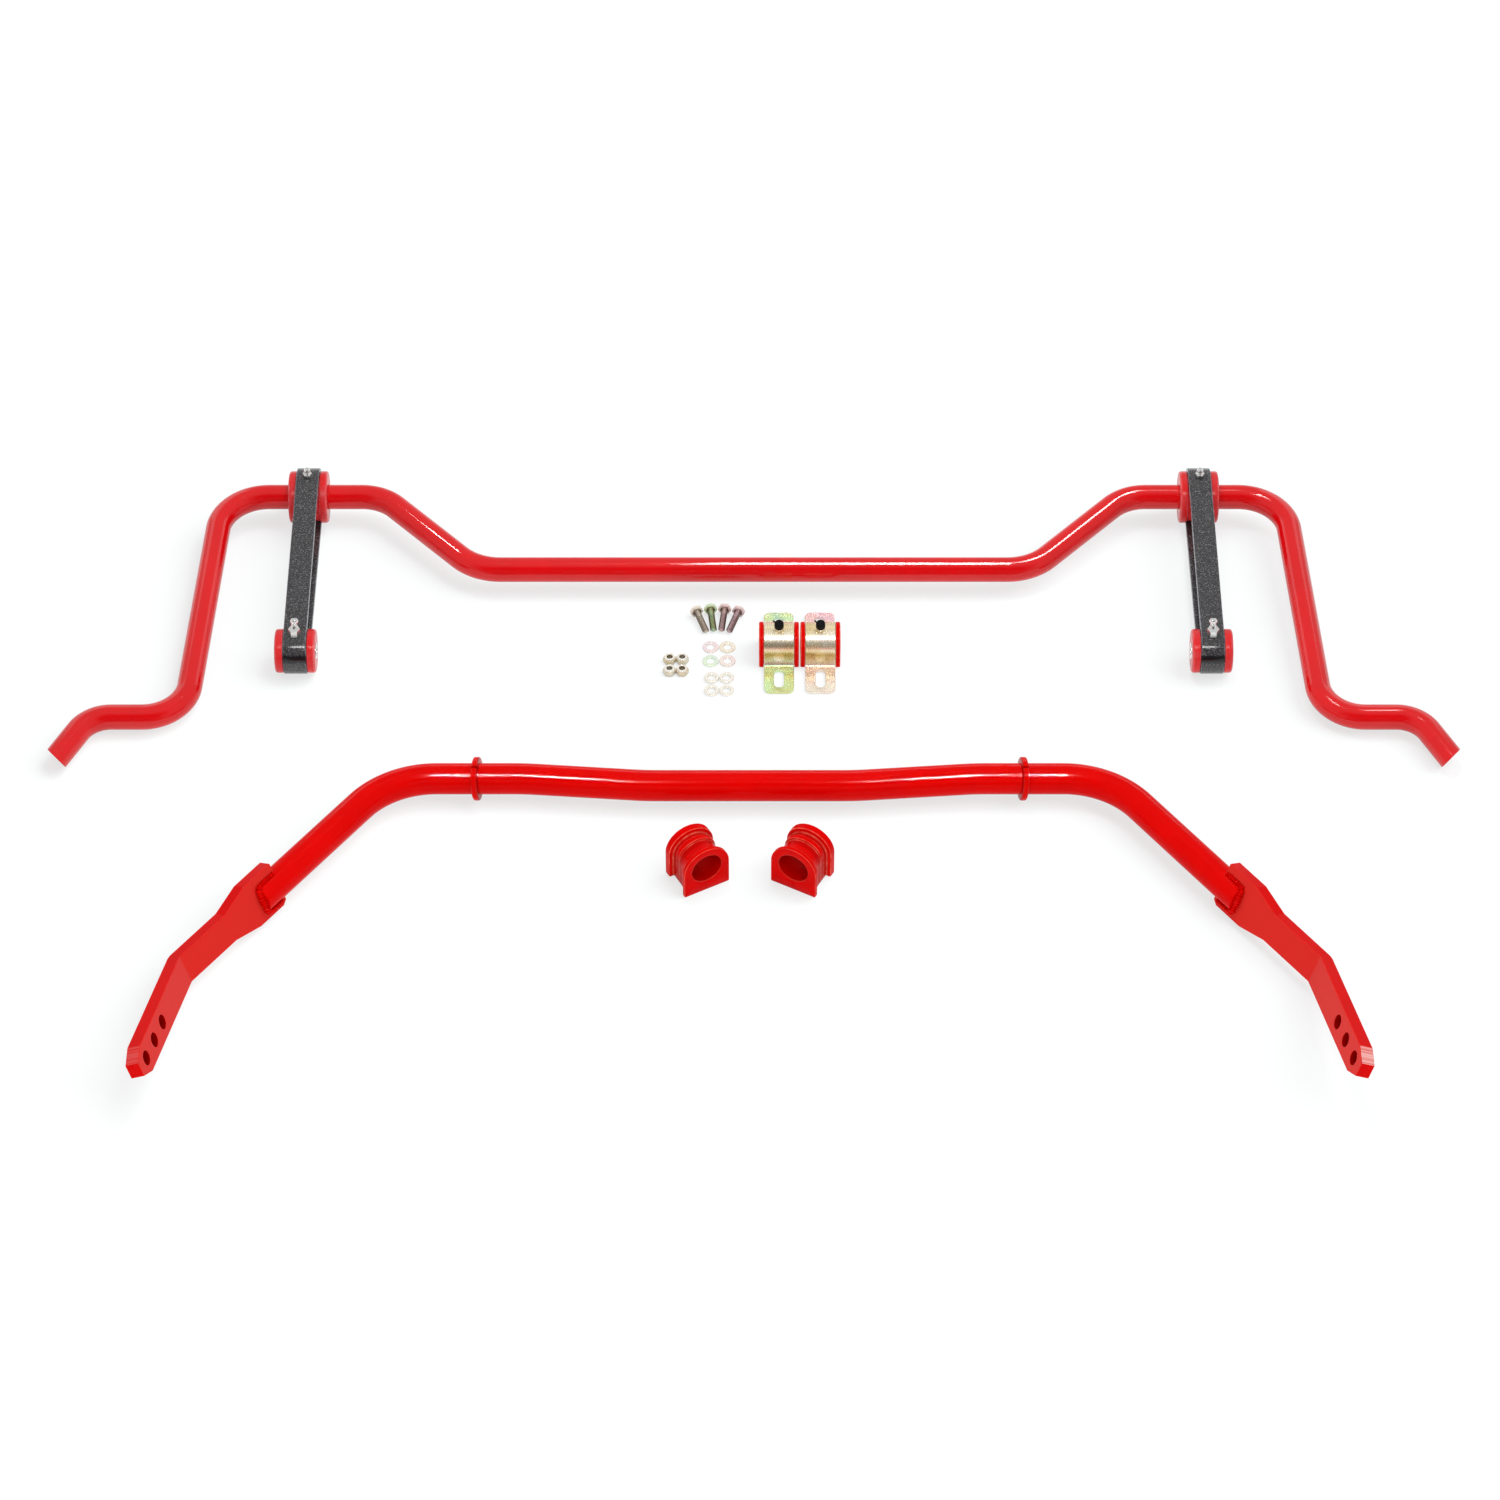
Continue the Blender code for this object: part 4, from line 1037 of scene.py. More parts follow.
@dataclass(frozen=True)
class CastPolyurethane:
    """Moulded polyurethane: glossy, faintly cloudy, with a fine skin, a painted highlight on its marked
    edges and painted shade where marked.
    """

    label: str
    colour: Colour
    cloudy: Colour
    edge: Colour
    dark: Colour
    roughness: float
    specular: float
    skin_scale: float = 700.0
    skin_strength: float = 0.3
    skin_depth: float = 0.00004
    cloud_scale: float = 70.0
    cloud_rough: float = 0.1
    wear_scale: float = 150.0

    def material(self, effects: Effects) -> bpy.types.Material:
        """Builds the material.

        Args:
            effects: The shared shader groups.

        Returns:
            The material.
        """
        paint = Paint(self.label, effects)
        skin = paint.group(effects.peel, {"Scale": self.skin_scale, "Blotch Scale": self.cloud_scale})
        tone = paint.mix(skin["Blotch"], self.colour, self.cloudy)
        tone = paint.worn(tone, self.edge, self.wear_scale)
        tone = paint.mix(paint.mark("shade"), tone, self.dark)
        rough = paint.spread(skin["Blotch"], 0.0, 1.0, self.roughness, self.roughness + self.cloud_rough)
        paint.steady({"Specular IOR Level": self.specular})
        return paint.close(tone, rough, skin["Height"], self.skin_strength, self.skin_depth)


@dataclass(frozen=True)
class ZincPlate:
    """Zinc with yellow chromate, in bands that differ from piece to piece; where the mesh marks them,
    painted shade, painted reflections and a painted highlight band.
    """

    label: str
    dark: Colour
    pale: Colour
    edge: Colour
    metallic: float
    roughness: float
    scale: float
    spread: float
    wear_scale: float = 400.0
    streak_strength: float = 0.1
    streak_depth: float = 0.00001

    def material(self, effects: Effects) -> bpy.types.Material:
        """Builds the material.

        Args:
            effects: The shared shader groups.

        Returns:
            The material.
        """
        paint = Paint(self.label, effects)
        bands = {"Scale": self.scale, "Tint": paint.mark("tint"), "Spread": self.spread}
        zinc = paint.group(effects.rainbow, bands)
        tone = paint.worn(zinc["Colour"], self.edge, self.wear_scale)
        tone = paint.mix(paint.mark("shade"), tone, self.dark)
        tone = paint.mix(paint.mark("pale"), tone, self.pale)
        paint.steady({"Metallic": self.metallic})
        streak = zinc["Streak"]
        rough = paint.spread(streak, 0.3, 0.7, self.roughness - 0.05, self.roughness + 0.08)
        return paint.close(tone, rough, streak, self.streak_strength, self.streak_depth)


@dataclass(frozen=True)
class BrightSteel:
    """Bright plated steel with fine tool marks."""

    label: str
    colour: Colour
    dull: Colour
    roughness: float
    grain_scale: float = 700.0
    grain_threshold: float = 0.6
    grain_strength: float = 0.3
    grain_depth: float = 0.00004

    def material(self, effects: Effects) -> bpy.types.Material:
        """Builds the material.

        Args:
            effects: The shared shader groups.

        Returns:
            The material.
        """
        paint = Paint(self.label, effects)
        marks = paint.group(
            effects.speckle, {"Scale": self.grain_scale, "Threshold": self.grain_threshold}
        )
        tone = paint.mix(marks["Mask"], self.colour, self.dull)
        paint.steady({"Metallic": 1.0})
        grain = marks["Grain"]
        rough = paint.spread(grain, 0.3, 0.7, self.roughness, self.roughness + 0.15)
        return paint.close(tone, rough, grain, self.grain_strength, self.grain_depth)


@dataclass(frozen=True)
class MouldedRubber:
    """Matt black rubber with a little bloom."""

    label: str
    colour: Colour
    bloom: Colour
    roughness: float
    specular: float
    skin_scale: float = 1100.0
    skin_strength: float = 0.4
    skin_depth: float = 0.00005
    bloom_scale: float = 160.0
    bloom_rough: float = 0.15

    def material(self, effects: Effects) -> bpy.types.Material:
        """Builds the material.

        Args:
            effects: The shared shader groups.

        Returns:
            The material.
        """
        paint = Paint(self.label, effects)
        skin = paint.group(effects.peel, {"Scale": self.skin_scale, "Blotch Scale": self.bloom_scale})
        tone = paint.mix(skin["Blotch"], self.colour, self.bloom)
        rough = paint.spread(skin["Blotch"], 0.0, 1.0, self.roughness, self.roughness + self.bloom_rough)
        paint.steady({"Specular IOR Level": self.specular})
        return paint.close(tone, rough, skin["Height"], self.skin_strength, self.skin_depth)


def finish_book() -> dict[Finish, bpy.types.Material]:
    """Returns:
        The material of each finish.
    """
    effects = Effects()
    finishes = {
        Finish.REAR_RED: PowderCoat(
            "rear_red_gloss", colour=srgb(222, 12, 18), deep=srgb(213, 9, 15), edge=srgb(226, 60, 62),
            streak=srgb(236, 120, 120), dark=srgb(120, 4, 8), face=srgb(222, 12, 18), roughness=0.07,
            specular=0.42, peel_scale=160.0,
        ),
        # Its streak colour is the painted glint on the blade tips.
        Finish.FRONT_RED: PowderCoat(
            "front_red_gloss", colour=srgb(224, 3, 1), deep=srgb(216, 2, 1), edge=srgb(238, 44, 36),
            streak=srgb(252, 196, 190), dark=srgb(120, 0, 0), face=srgb(218, 40, 33), roughness=0.12,
            specular=0.05, peel_scale=150.0,
        ),
        # The strap's edge colour is a painted highlight along its rims.
        Finish.LINK_BLACK: SpeckledBlack(
            "link_black_satin", colour=srgb(52, 51, 53), speck=srgb(122, 120, 122),
            edge=srgb(168, 172, 184), dark=srgb(8, 8, 11), roughness=0.13,
        ),
        # The polyurethane edge colours are painted highlights on the marked rims and ridges.
        Finish.BUSHING_RED: CastPolyurethane(
            "bushing_red_polyurethane", colour=srgb(222, 30, 32), cloudy=srgb(216, 56, 60),
            edge=srgb(232, 110, 114), dark=srgb(120, 6, 8), roughness=0.2, specular=0.22,
        ),
        Finish.D_BUSHING_RED: CastPolyurethane(
            "d_bushing_red_polyurethane", colour=srgb(222, 2, 1), cloudy=srgb(212, 2, 1),
            edge=srgb(255, 120, 98), dark=srgb(104, 0, 1), roughness=0.14, specular=0.03,
        ),
        Finish.BRIGHT_STEEL: BrightSteel(
            "bright_plated_steel", colour=srgb(240, 240, 238), dull=srgb(206, 206, 206), roughness=0.2
        ),
        Finish.YELLOW_ZINC: ZincPlate(
            "yellow_zinc_plate", dark=srgb(74, 56, 38), pale=srgb(250, 248, 240),
            edge=srgb(246, 240, 226), metallic=0.6, roughness=0.24, scale=70.0, spread=0.3,
        ),
        Finish.CAP_RUBBER: MouldedRubber(
            "black_cap_rubber", colour=srgb(8, 8, 8), bloom=srgb(20, 20, 21), roughness=0.42, specular=0.1
        ),
    }
    return {finish: made.material(effects) for finish, made in finishes.items()}


@dataclass
class Piece:
    """A finished mesh, what carries it and which solids it stands for."""

    shown: bpy.types.Object
    finish: Finish
    body: str
    nodes: tuple[str, ...]


@dataclass
class SubAssembly:
    """What every sub-assembly shares: its tools and the pieces that it made."""

    recipes: Recipes
    book: dict[Finish, bpy.types.Material]
    pieces: list[Piece] = field(default_factory=list, init=False)

    def keep(self, shown: bpy.types.Object, finish: Finish, body: str, *nodes: str) -> None:
        """Notes a piece that was built; see Piece."""
        self.pieces.append(Piece(shown, finish, body, nodes))

    def show(self, draft: MeshDraft, finish: Finish, body: str, node: str) -> bpy.types.Mesh:
        """Makes a draft the piece that stands for one solid.

        Args:
            draft: The piece's draft.
            finish: Its finish.
            body: The body that carries it.
            node: The solid's name.

        Returns:
            The piece's mesh, which may still be marked.
        """
        shown = draft.finish(node + "_dressed")
        self.keep(shown, finish, body, node)
        return shown.data

    def bent_bar(
        self, name: str, half: Sequence[Spot], stand: Matrix, finish: Finish, sizes: dict[str, Any]
    ) -> bpy.types.Mesh:
        """Bends a round bar whose left half mirrors its right one.

        Args:
            name: The path's name.
            half: X, Y and bend radius of the right half's corners, from the middle outwards.
            stand: Where the path's plane is.
            finish: The bar's finish.
            sizes: The recipe's own sizes.

        Returns:
            The bar's mesh, with flat ends.
        """
        whole = [(-x, y, bend) for x, y, bend in reversed(half)] + list(half)
        points = [stand @ Vector((x, y, 0.0)) for x, y, bend in whole]
        base = path_object(name, points, {"bend": [bend for x, y, bend in whole]})
        return self.recipes.bent_bar.run(base, {**sizes, "Material": self.book[finish]})

    def build(self) -> None:
        """Builds the sub-assembly's meshes."""
        raise NotImplementedError

    def dress(self) -> None:
        """Gives each piece its finish and hangs it on the frame."""
        for piece in self.pieces:
            mesh = piece.shown.data
            mesh.materials.clear()
            mesh.materials.append(self.book[piece.finish])
            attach(piece.shown, piece.body)
            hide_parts(*piece.nodes)
            LOG.info("%s: %d faces on %s", piece.shown.name, len(mesh.polygons), piece.body)


def flat_ends(work: bmesh.types.BMesh) -> list[bmesh.types.BMFace]:
    """The faces that close a bar's ends, which have far more corners than the others."""
    return [face for face in work.faces if len(face.verts) > LARGEST_SIDE_FACE]


def bevel_open_rims(mesh: bpy.types.Mesh, width: float) -> None:
    """Breaks the sharp rim of each flat end of a bar.

    Args:
        mesh: The bar's mesh, with its ends closed by one face each.
        width: How much of the rim is broken.
    """
    with editing(mesh) as work:
        rims = [edge for face in flat_ends(work) for edge in face.edges]
        bmesh.ops.bevel(
            work, geom=rims, offset=width, segments=BEVEL_STEPS, affect="EDGES", profile=BEVEL_PROFILE
        )


def slant_ends(mesh: bpy.types.Mesh, cut_along: Vector, skew: float, extra: float) -> None:
    """Turns the flat ends of a bar until they hold a given direction.

    Args:
        mesh: The bar's mesh, with its ends closed by one face each.
        cut_along: The direction that the right end's cut follows; the left one mirrors it.
        skew: How far the cut turns about that direction.
        extra: How much longer each end becomes.
    """
    with editing(mesh) as work:
        for face in flat_ends(work):
            outward = face.normal.copy()
            middle = face.calc_center_median()
            hand = math.copysign(1.0, middle.x)
            way = Vector((hand * cut_along.x, cut_along.y, cut_along.z)).normalized()
            slant = outward - way * outward.dot(way)
            slant -= way.cross(slant) * hand * skew
            for vert in face.verts:
                vert.co += outward * (extra - slant.dot(vert.co - middle) / slant.dot(outward))


@dataclass
class RearBar(SubAssembly):
    """The solid rear bar, bent in a plane that dips towards its tips."""

    axis_y: float = 0.0
    axis_z: float = 0.0282
    radius: float = 0.0120
    centre_half: float = 0.2675
    slope_run: float = 0.0945
    shoulder_run: float = 0.1550
    arm_spread: float = 0.0165
    foot_run: float = 0.0885
    tip_run: float = 0.0245
    centre_drop: float = 0.0990
    arm_drop: float = 0.2920
    tip_drop: float = 0.3405
    centre_bend: float = 0.055
    shoulder_bend: float = 0.047
    foot_bend: float = 0.042
    tip_bend: float = 0.033
    end_bevel: float = 0.0008
    cut_along: Vector = field(default_factory=lambda: Vector((0.19, 1.0, -1.0)))
    cut_skew: float = 0.11
    cut_extra: float = 0.0042
    sides: int = 40
    bend_steps: int = 18

    def build(self) -> None:
        """Bends the bar along its path."""
        slope = self.centre_half + self.slope_run
        arm = slope + self.shoulder_run
        foot = arm + self.arm_spread
        low = foot + self.foot_run
        half = [
            (self.centre_half, -self.centre_drop, self.centre_bend), (slope, 0.0, self.shoulder_bend),
            (arm, 0.0, self.shoulder_bend), (foot, -self.arm_drop, self.foot_bend),
            (low, -self.arm_drop, self.tip_bend), (low + self.tip_run, -self.tip_drop, 0.0),
        ]
        dip = math.asin((self.axis_z - self.radius) / self.tip_drop)
        stand = place(y=self.axis_y, z=self.axis_z) @ Matrix.Rotation(dip, 4, "X")
        sizes = {"Bar Radius": self.radius, "Bend Steps": self.bend_steps, "Sides": self.sides}
        mesh = self.bent_bar("rear_bar_path", half, stand, Finish.REAR_RED, sizes)
        slant_ends(mesh, self.cut_along, self.cut_skew, self.cut_extra)
        bevel_open_rims(mesh, self.end_bevel)
        self.keep(finish_mesh("rear_bar_dressed", mesh), Finish.REAR_RED, ROOT_BODY, "rear_bar")


@dataclass(frozen=True)
class GreaseFitting:
    """A grease fitting, straight or angled, that seats on the matrix's XY plane."""

    stem_radius: float = 0.0027
    neck_radius: float = 0.0022
    head_radius: float = 0.0031
    nipple_height: float = 0.0062
    hexagon: float = 0.0080
    hexagon_height: float = 0.0036
    elbow_hexagon: float = 0.0098
    elbow_height: float = 0.0078
    elbow_middle: float = 0.52
    elbow_degrees: float = 45.0
    elbow_head: float = 1.25
    root: float = 0.001
    steps: int = 32

    def nipple(self, foot: float, scale: float = 1.0) -> list[ProfilePoint]:
        """Section of the neck and ball head, down from its tip.

        Args:
            foot: Height of the neck's foot.
            scale: Size of the head against the common one.

        Returns:
            The section's points, from the axis outwards.
        """
        neck = self.neck_radius * scale
        head = self.head_radius * scale
        top = foot + self.nipple_height * scale
        return rounded(
            [
                (0.0, top - head * 0.1, 0.0), (head * 0.22, top - head * 0.1, 0.0),
                (head * 0.3, top, 0.0001), (head * 0.62, top, 0.0004), (head, top - head * 0.55, 0.0007),
                (head, top - head * 0.95, 0.0005), (neck, top - head * 1.45, 0.0005),
                (neck, foot + neck * 0.5, 0.0005), (head, foot, 0.0),
            ],
            closed=False, steps=4,
        )

    def stem(self, length: float) -> list[ProfilePoint]:
        """Section of the stem, from its root down to its end."""
        outline = [(self.stem_radius, self.root), (self.stem_radius, -length), (0.0, -length)]
        return [ProfilePoint(across, along, 0.0) for across, along in outline]

    def straight(self, draft: MeshDraft, matrix: Matrix, stem_length: float) -> None:
        """Adds a straight fitting.

        Args:
            draft: The mesh that gets it.
            matrix: Where it seats, with Z up the fitting.
            stem_length: How far its stem goes in.
        """
        section = self.nipple(self.hexagon_height) + self.stem(stem_length)
        draft.turned(section, self.steps, matrix, ring=False)
        draft.hexagon(self.hexagon, FIT, self.hexagon_height + FIT, matrix)

    def angled(self, draft: MeshDraft, matrix: Matrix, stem_length: float) -> None:
        """Adds an angled fitting whose head leans to the matrix's -X.

        Args:
            draft: The mesh that gets it.
            matrix: Where it seats, with Z up the fitting.
            stem_length: How far its stem goes in.
        """
        draft.hexagon(self.elbow_hexagon, FIT, self.elbow_height + FIT, matrix)
        stem = [ProfilePoint(0.0, self.root, 0.0)] + self.stem(stem_length)
        draft.turned(stem, self.steps, matrix, ring=False)
        middle = place(z=self.elbow_height * self.elbow_middle)
        head = self.nipple(self.elbow_hexagon * self.elbow_middle, self.elbow_head)
        head += [ProfilePoint(self.head_radius, 0.0, 0.0), ProfilePoint(0.0, 0.0, 0.0)]
        draft.turned(head, self.steps, matrix @ middle @ turn(-self.elbow_degrees, "Y"), ring=False)


TURN_Y_UP = turn(-90.0, "X")


@dataclass
class StrapLink(SubAssembly):
    """One strap link: strap, bar bushing, eye bushing halves, sleeve and fittings."""

    side: Side = Side.LEFT
    pivot: Vector = field(default_factory=Vector)
    eye: Vector = field(default_factory=Vector)
    strap_width: float = 0.0220
    strap_thickness: float = 0.0048
    strap_edge: float = 0.0007
    # Where the painted dark reflection round the eye fades in and out, in degrees.
    polish_degrees: tuple[float, float, float, float] = (54.0, 60.0, 72.0, 80.0)
    bar_bore: float = 0.0123
    bar_barrel: float = 0.0231
    bar_flange: float = 0.0252
    bar_length: float = 0.0376
    sleeve_radius: float = 0.0080
    sleeve_bore: float = 0.0053
    eye_barrel: float = 0.0166
    eye_flange: float = 0.0208
    eye_length: float = 0.0384
    sleeve_proud: float = 0.0006
    sleeve_edge: float = 0.0005
    slit: float = 0.0003
    steps: int = 72
    sleeve_steps: int = 48
    arc_steps: int = 40
    leg_steps: int = 24

    def build(self) -> None:
        """Builds the link's pieces in their place."""
        along = self.eye - self.pivot
        up = Vector((0.0, -along.z, -along.y)) * (-1.0 if along.y > 0 else 1.0)
        bar_end = frame_of(along, up, self.pivot)
        eye_end = frame_of(along, up, self.eye)
        word = self.side.label
        body = word + "_link"
        self._strap(bar_end, along.length, body)
        self._bar_bushing(bar_end, body)
        self._eye_bushings(eye_end, body)
        self._sleeve(eye_end)
        fitting = GreaseFitting()
        for name, end, barrel, add in (
            ("_bar_grease_fitting", bar_end, self.bar_barrel, fitting.straight),
            ("_eye_grease_fitting", eye_end, self.eye_barrel, fitting.angled),
        ):
            draft = MeshDraft()
            outside = place(y=barrel + FIT + self.strap_thickness)
            add(draft, end @ outside @ TURN_Y_UP, self.strap_thickness)
            self.show(draft, Finish.BRIGHT_STEEL, body, word + name)

    def _belt(self, distance: float) -> list[tuple[Vector, Vector]]:
        """The strap's inner line, once round both bushings.

        Args:
            distance: How far the eye is from the bar.

        Returns:
            Points along the line, each with its outward direction.
        """
        big = self.bar_barrel + FIT
        small = self.eye_barrel + FIT
        lean = math.acos((big - small) / distance)
        eye = Vector((distance, 0.0, 0.0))
        arcs = [(eye, small, -lean, lean), (Vector(), big, lean, 2 * math.pi - lean)]
        belt: list[tuple[Vector, Vector]] = []
        for (centre, radius, start, end), (beyond, reach, *_) in zip(arcs, reversed(arcs)):
            for k in range(self.arc_steps + 1):
                angle = start + (end - start) * k / self.arc_steps
                out = Vector((math.cos(angle), math.sin(angle), 0.0))
                belt.append((centre + out * radius, out))
            leave, out = belt[-1]
            arrive = beyond + out * reach
            for k in range(1, self.leg_steps):
                belt.append((leave.lerp(arrive, k / self.leg_steps), out))
        return belt

    def _strap(self, stand: Matrix, distance: float, body: str) -> None:
        """The strap: a flat belt round both bushings, with rounded edges.

        Args:
            stand: The bar end's frame.
            distance: How far the eye is from the bar.
            body: The body that carries the strap.
        """
        half = self.strap_width / 2
        edge = self.strap_edge
        section = rounded(
            [
                (0.0, -half, edge), (self.strap_thickness, -half, edge),
                (self.strap_thickness, half, edge), (0.0, half, edge),
            ],
            steps=4,
        )
        belt = self._belt(distance)
        rows = [
            [stand @ (spot + out * p.across + Vector((0.0, 0.0, p.along))) for spot, out in belt]
            for p in section
        ]
        draft = MeshDraft()
        draft.grid(rows, [p.rim for p in section], True, True)
        back = stand.inverted()
        start, full, fade, end = self.polish_degrees

        def painted_dark_band_at(spot: Vector) -> float:
            """A painted dark reflection in a band round the eye.

            Args:
                spot: A place on the strap.

            Returns:
                How dark it is there.
            """
            here = back @ spot
            if here.x < distance:
                return 0.0
            turned = math.degrees(math.atan2(here.x - distance, here.y))
            return share_of(turned, start, full) * (1.0 - share_of(turned, fade, end))

        name = self.side.label + "_link_strap"
        mark(self.show(draft, Finish.LINK_BLACK, body, name), "shade", painted_dark_band_at)

    def _bar_bushing(self, stand: Matrix, body: str) -> None:
        """The split bushing on the bar, with a flange at each side of the strap.

        Args:
            stand: The bar end's frame.
            body: The body that carries the bushing.
        """
        inside = self.strap_width / 2 + FIT
        half = self.bar_length / 2
        section = rounded(
            [
                (self.bar_bore, half, 0.0006), (self.bar_flange, half, 0.0022),
                (self.bar_flange, inside, 0.0011), (self.bar_barrel, inside, 0.0),
                (self.bar_barrel, -inside, 0.0), (self.bar_flange, -inside, 0.0011),
                (self.bar_flange, -half, 0.0022), (self.bar_bore, -half, 0.0006),
            ]
        )
        draft = MeshDraft()
        draft.turned(section, self.steps, stand, slit=self.slit / self.bar_flange)
        self.show(draft, Finish.BUSHING_RED, body, self.side.label + "_link_bar_bushing")

    def _eye_bushings(self, stand: Matrix, body: str) -> None:
        """The two flanged halves that meet inside the strap's eye.

        Args:
            stand: The eye end's frame.
            body: The body that carries the halves.
        """
        inside = self.strap_width / 2 + FIT
        top = self.eye_length / 2
        bore = self.sleeve_radius + FIT
        section = rounded(
            [
                (bore, FIT / 2, 0.0), (bore, top, 0.0008), (self.eye_flange, top, 0.0024),
                (self.eye_flange, inside, 0.0010), (self.eye_barrel, inside, 0.0),
                (self.eye_barrel, FIT / 2, 0.0),
            ]
        )
        for word, toward in (("inner", -self.side.value), ("outer", self.side.value)):
            facing = Matrix.Identity(4) if toward < 0 else turn(180.0, "X")
            draft = MeshDraft()
            draft.turned(section, self.steps, stand @ facing)
            self.show(draft, Finish.BUSHING_RED, body, self.side.label + "_eye_bushing_" + word)

    def _sleeve(self, stand: Matrix) -> None:
        """The steel sleeve through the eye, with broken edges.

        Args:
            stand: The eye end's frame.
        """
        half = self.eye_length / 2 + self.sleeve_proud
        edge = self.sleeve_edge
        section = rounded(
            [
                (self.sleeve_radius, half, edge), (self.sleeve_radius, -half, edge),
                (self.sleeve_bore, -half, edge), (self.sleeve_bore, half, edge),
            ]
        )
        draft = MeshDraft()
        draft.turned(section, self.sleeve_steps, stand)
        word = self.side.label
        self.show(draft, Finish.BRIGHT_STEEL, word + "_sleeve", word + "_eye_sleeve")


class BendPath:
    """The middle line of a bent plate: straights and arcs end to end in one plane."""

    def __init__(self, runs: Sequence[tuple[float, float]]) -> None:
        """Keeps the runs.

        Args:
            runs: Length of each run, and the angle that it turns through.
        """
        self.runs = list(runs)

    def at(self, distance: float) -> tuple[float, float, float]:
        """Where the line is.

        Args:
            distance: How far along the line.

        Returns:
            The two coordinates there and the line's angle.
        """
        x = 0.0
        y = 0.0
        angle = 0.0
        left = distance
        for i, (length, bend) in enumerate(self.runs):
            last = i == len(self.runs) - 1
            step = left if last else min(left, length)
            if bend == 0.0:
                x += step * math.cos(angle)
                y += step * math.sin(angle)
            else:
                radius = length / bend
                swept = step / radius
                x += radius * (math.sin(angle + swept) - math.sin(angle))
                y += radius * (math.cos(angle) - math.cos(angle + swept))
                angle += swept
            left -= step
            if left <= 0.0 and not last:
                break
        return x, y, angle

    def cuts(self, step: float) -> list[float]:
        """Where the plate is cut across so that it can bend.

        Args:
            step: The angle between cuts.

        Returns:
            Distances along the line.
        """
        found = []
        start = 0.0
        for length, bend in self.runs:
            if bend != 0.0:
                count = max(2, math.ceil(abs(bend) / step))
                found += [start + length * k / count for k in range(count + 1)]
            start += length
        return found


def bent_plate(
    name: str, outlines: Sequence[Sequence[ProfilePoint]], thickness: float, edge: float, path: BendPath,
    stand: Matrix,
) -> bpy.types.Mesh:
    """Cuts a plate with rounded edges from its flat outlines and bends it.

    Args:
        name: The mesh's name.
        outlines: The outer outline and the holes, as distance along and across.
        thickness: The plate's thickness.
        edge: Radius of its edges.
        path: The middle line that it follows.
        stand: Frame whose X and Z hold the middle line and whose Y is across.

    Returns:
        The plate's mesh, with its edges marked.
    """
    curve = bpy.data.curves.new(name, "CURVE")
    curve.dimensions = "2D"
    curve.fill_mode = "BOTH"
    curve.extrude = thickness / 2 - edge
    curve.bevel_depth = edge
    curve.bevel_resolution = EDGE_RESOLUTION
    curve.offset = -edge
    for outline in outlines:
        spline = curve.splines.new("POLY")
        spline.points.add(len(outline) - 1)
        for point, spot in zip(spline.points, outline):
            point.co = (spot.across, spot.along, 0.0, 1.0)
        spline.use_cyclic_u = True
    flat = bpy.data.objects.new(name, curve)
    mesh = bpy.data.meshes.new_from_object(flat)
    bpy.data.objects.remove(flat)
    bpy.data.curves.remove(curve)
    with editing(mesh) as work:
        rim = work.verts.layers.float.new("rim")
        cut = work.verts.layers.float.new("cut")
        for vert in work.verts:
            inside = (thickness / 2 - abs(vert.co.z)) / edge
            vert[rim] = 1.0 if EDGE_MARGIN < inside < 1.0 - EDGE_MARGIN else 0.0
            vert[cut] = 1.0 if inside > 1.0 - EDGE_MARGIN else 0.0
        for distance in path.cuts(math.radians(PLATE_STEP_DEGREES)):
            bmesh.ops.bisect_plane(
                work, geom=work.verts[:] + work.edges[:] + work.faces[:], plane_co=(distance, 0.0, 0.0),
                plane_no=(1.0, 0.0, 0.0),
            )
        flat_place = work.verts.layers.float_vector.new("flat")
        for vert in work.verts:
            vert[flat_place] = (vert.co.x, vert.co.y, 0.0)
            x, y, angle = path.at(vert.co.x)
            off = vert.co.z
            spot = Vector((x - off * math.sin(angle), vert.co.y, y + off * math.cos(angle)))
            vert.co = stand @ spot
    mesh.shade_smooth()
    mesh.set_sharp_from_angle(angle=math.radians(PLATE_SHARP_DEGREES))
    return mesh


def oblong(centre: float, length: float, width: float) -> list[ProfilePoint]:
    """An oblong hole along the plate.

    Args:
        centre: How far along the plate its middle is.
        length: Its whole length.
        width: Its width.

    Returns:
        The hole's outline.
    """
    reach = (length - width) / 2
    radius = width / 2
    points = []
    for k in range(HOLE_STEPS):
        angle = 2 * math.pi * (k + 0.5) / HOLE_STEPS - math.pi / 2
        shift = math.copysign(reach, math.cos(angle))
        along = centre + shift + radius * math.cos(angle)
        points.append(ProfilePoint(along, radius * math.sin(angle), 0.0))
    return points


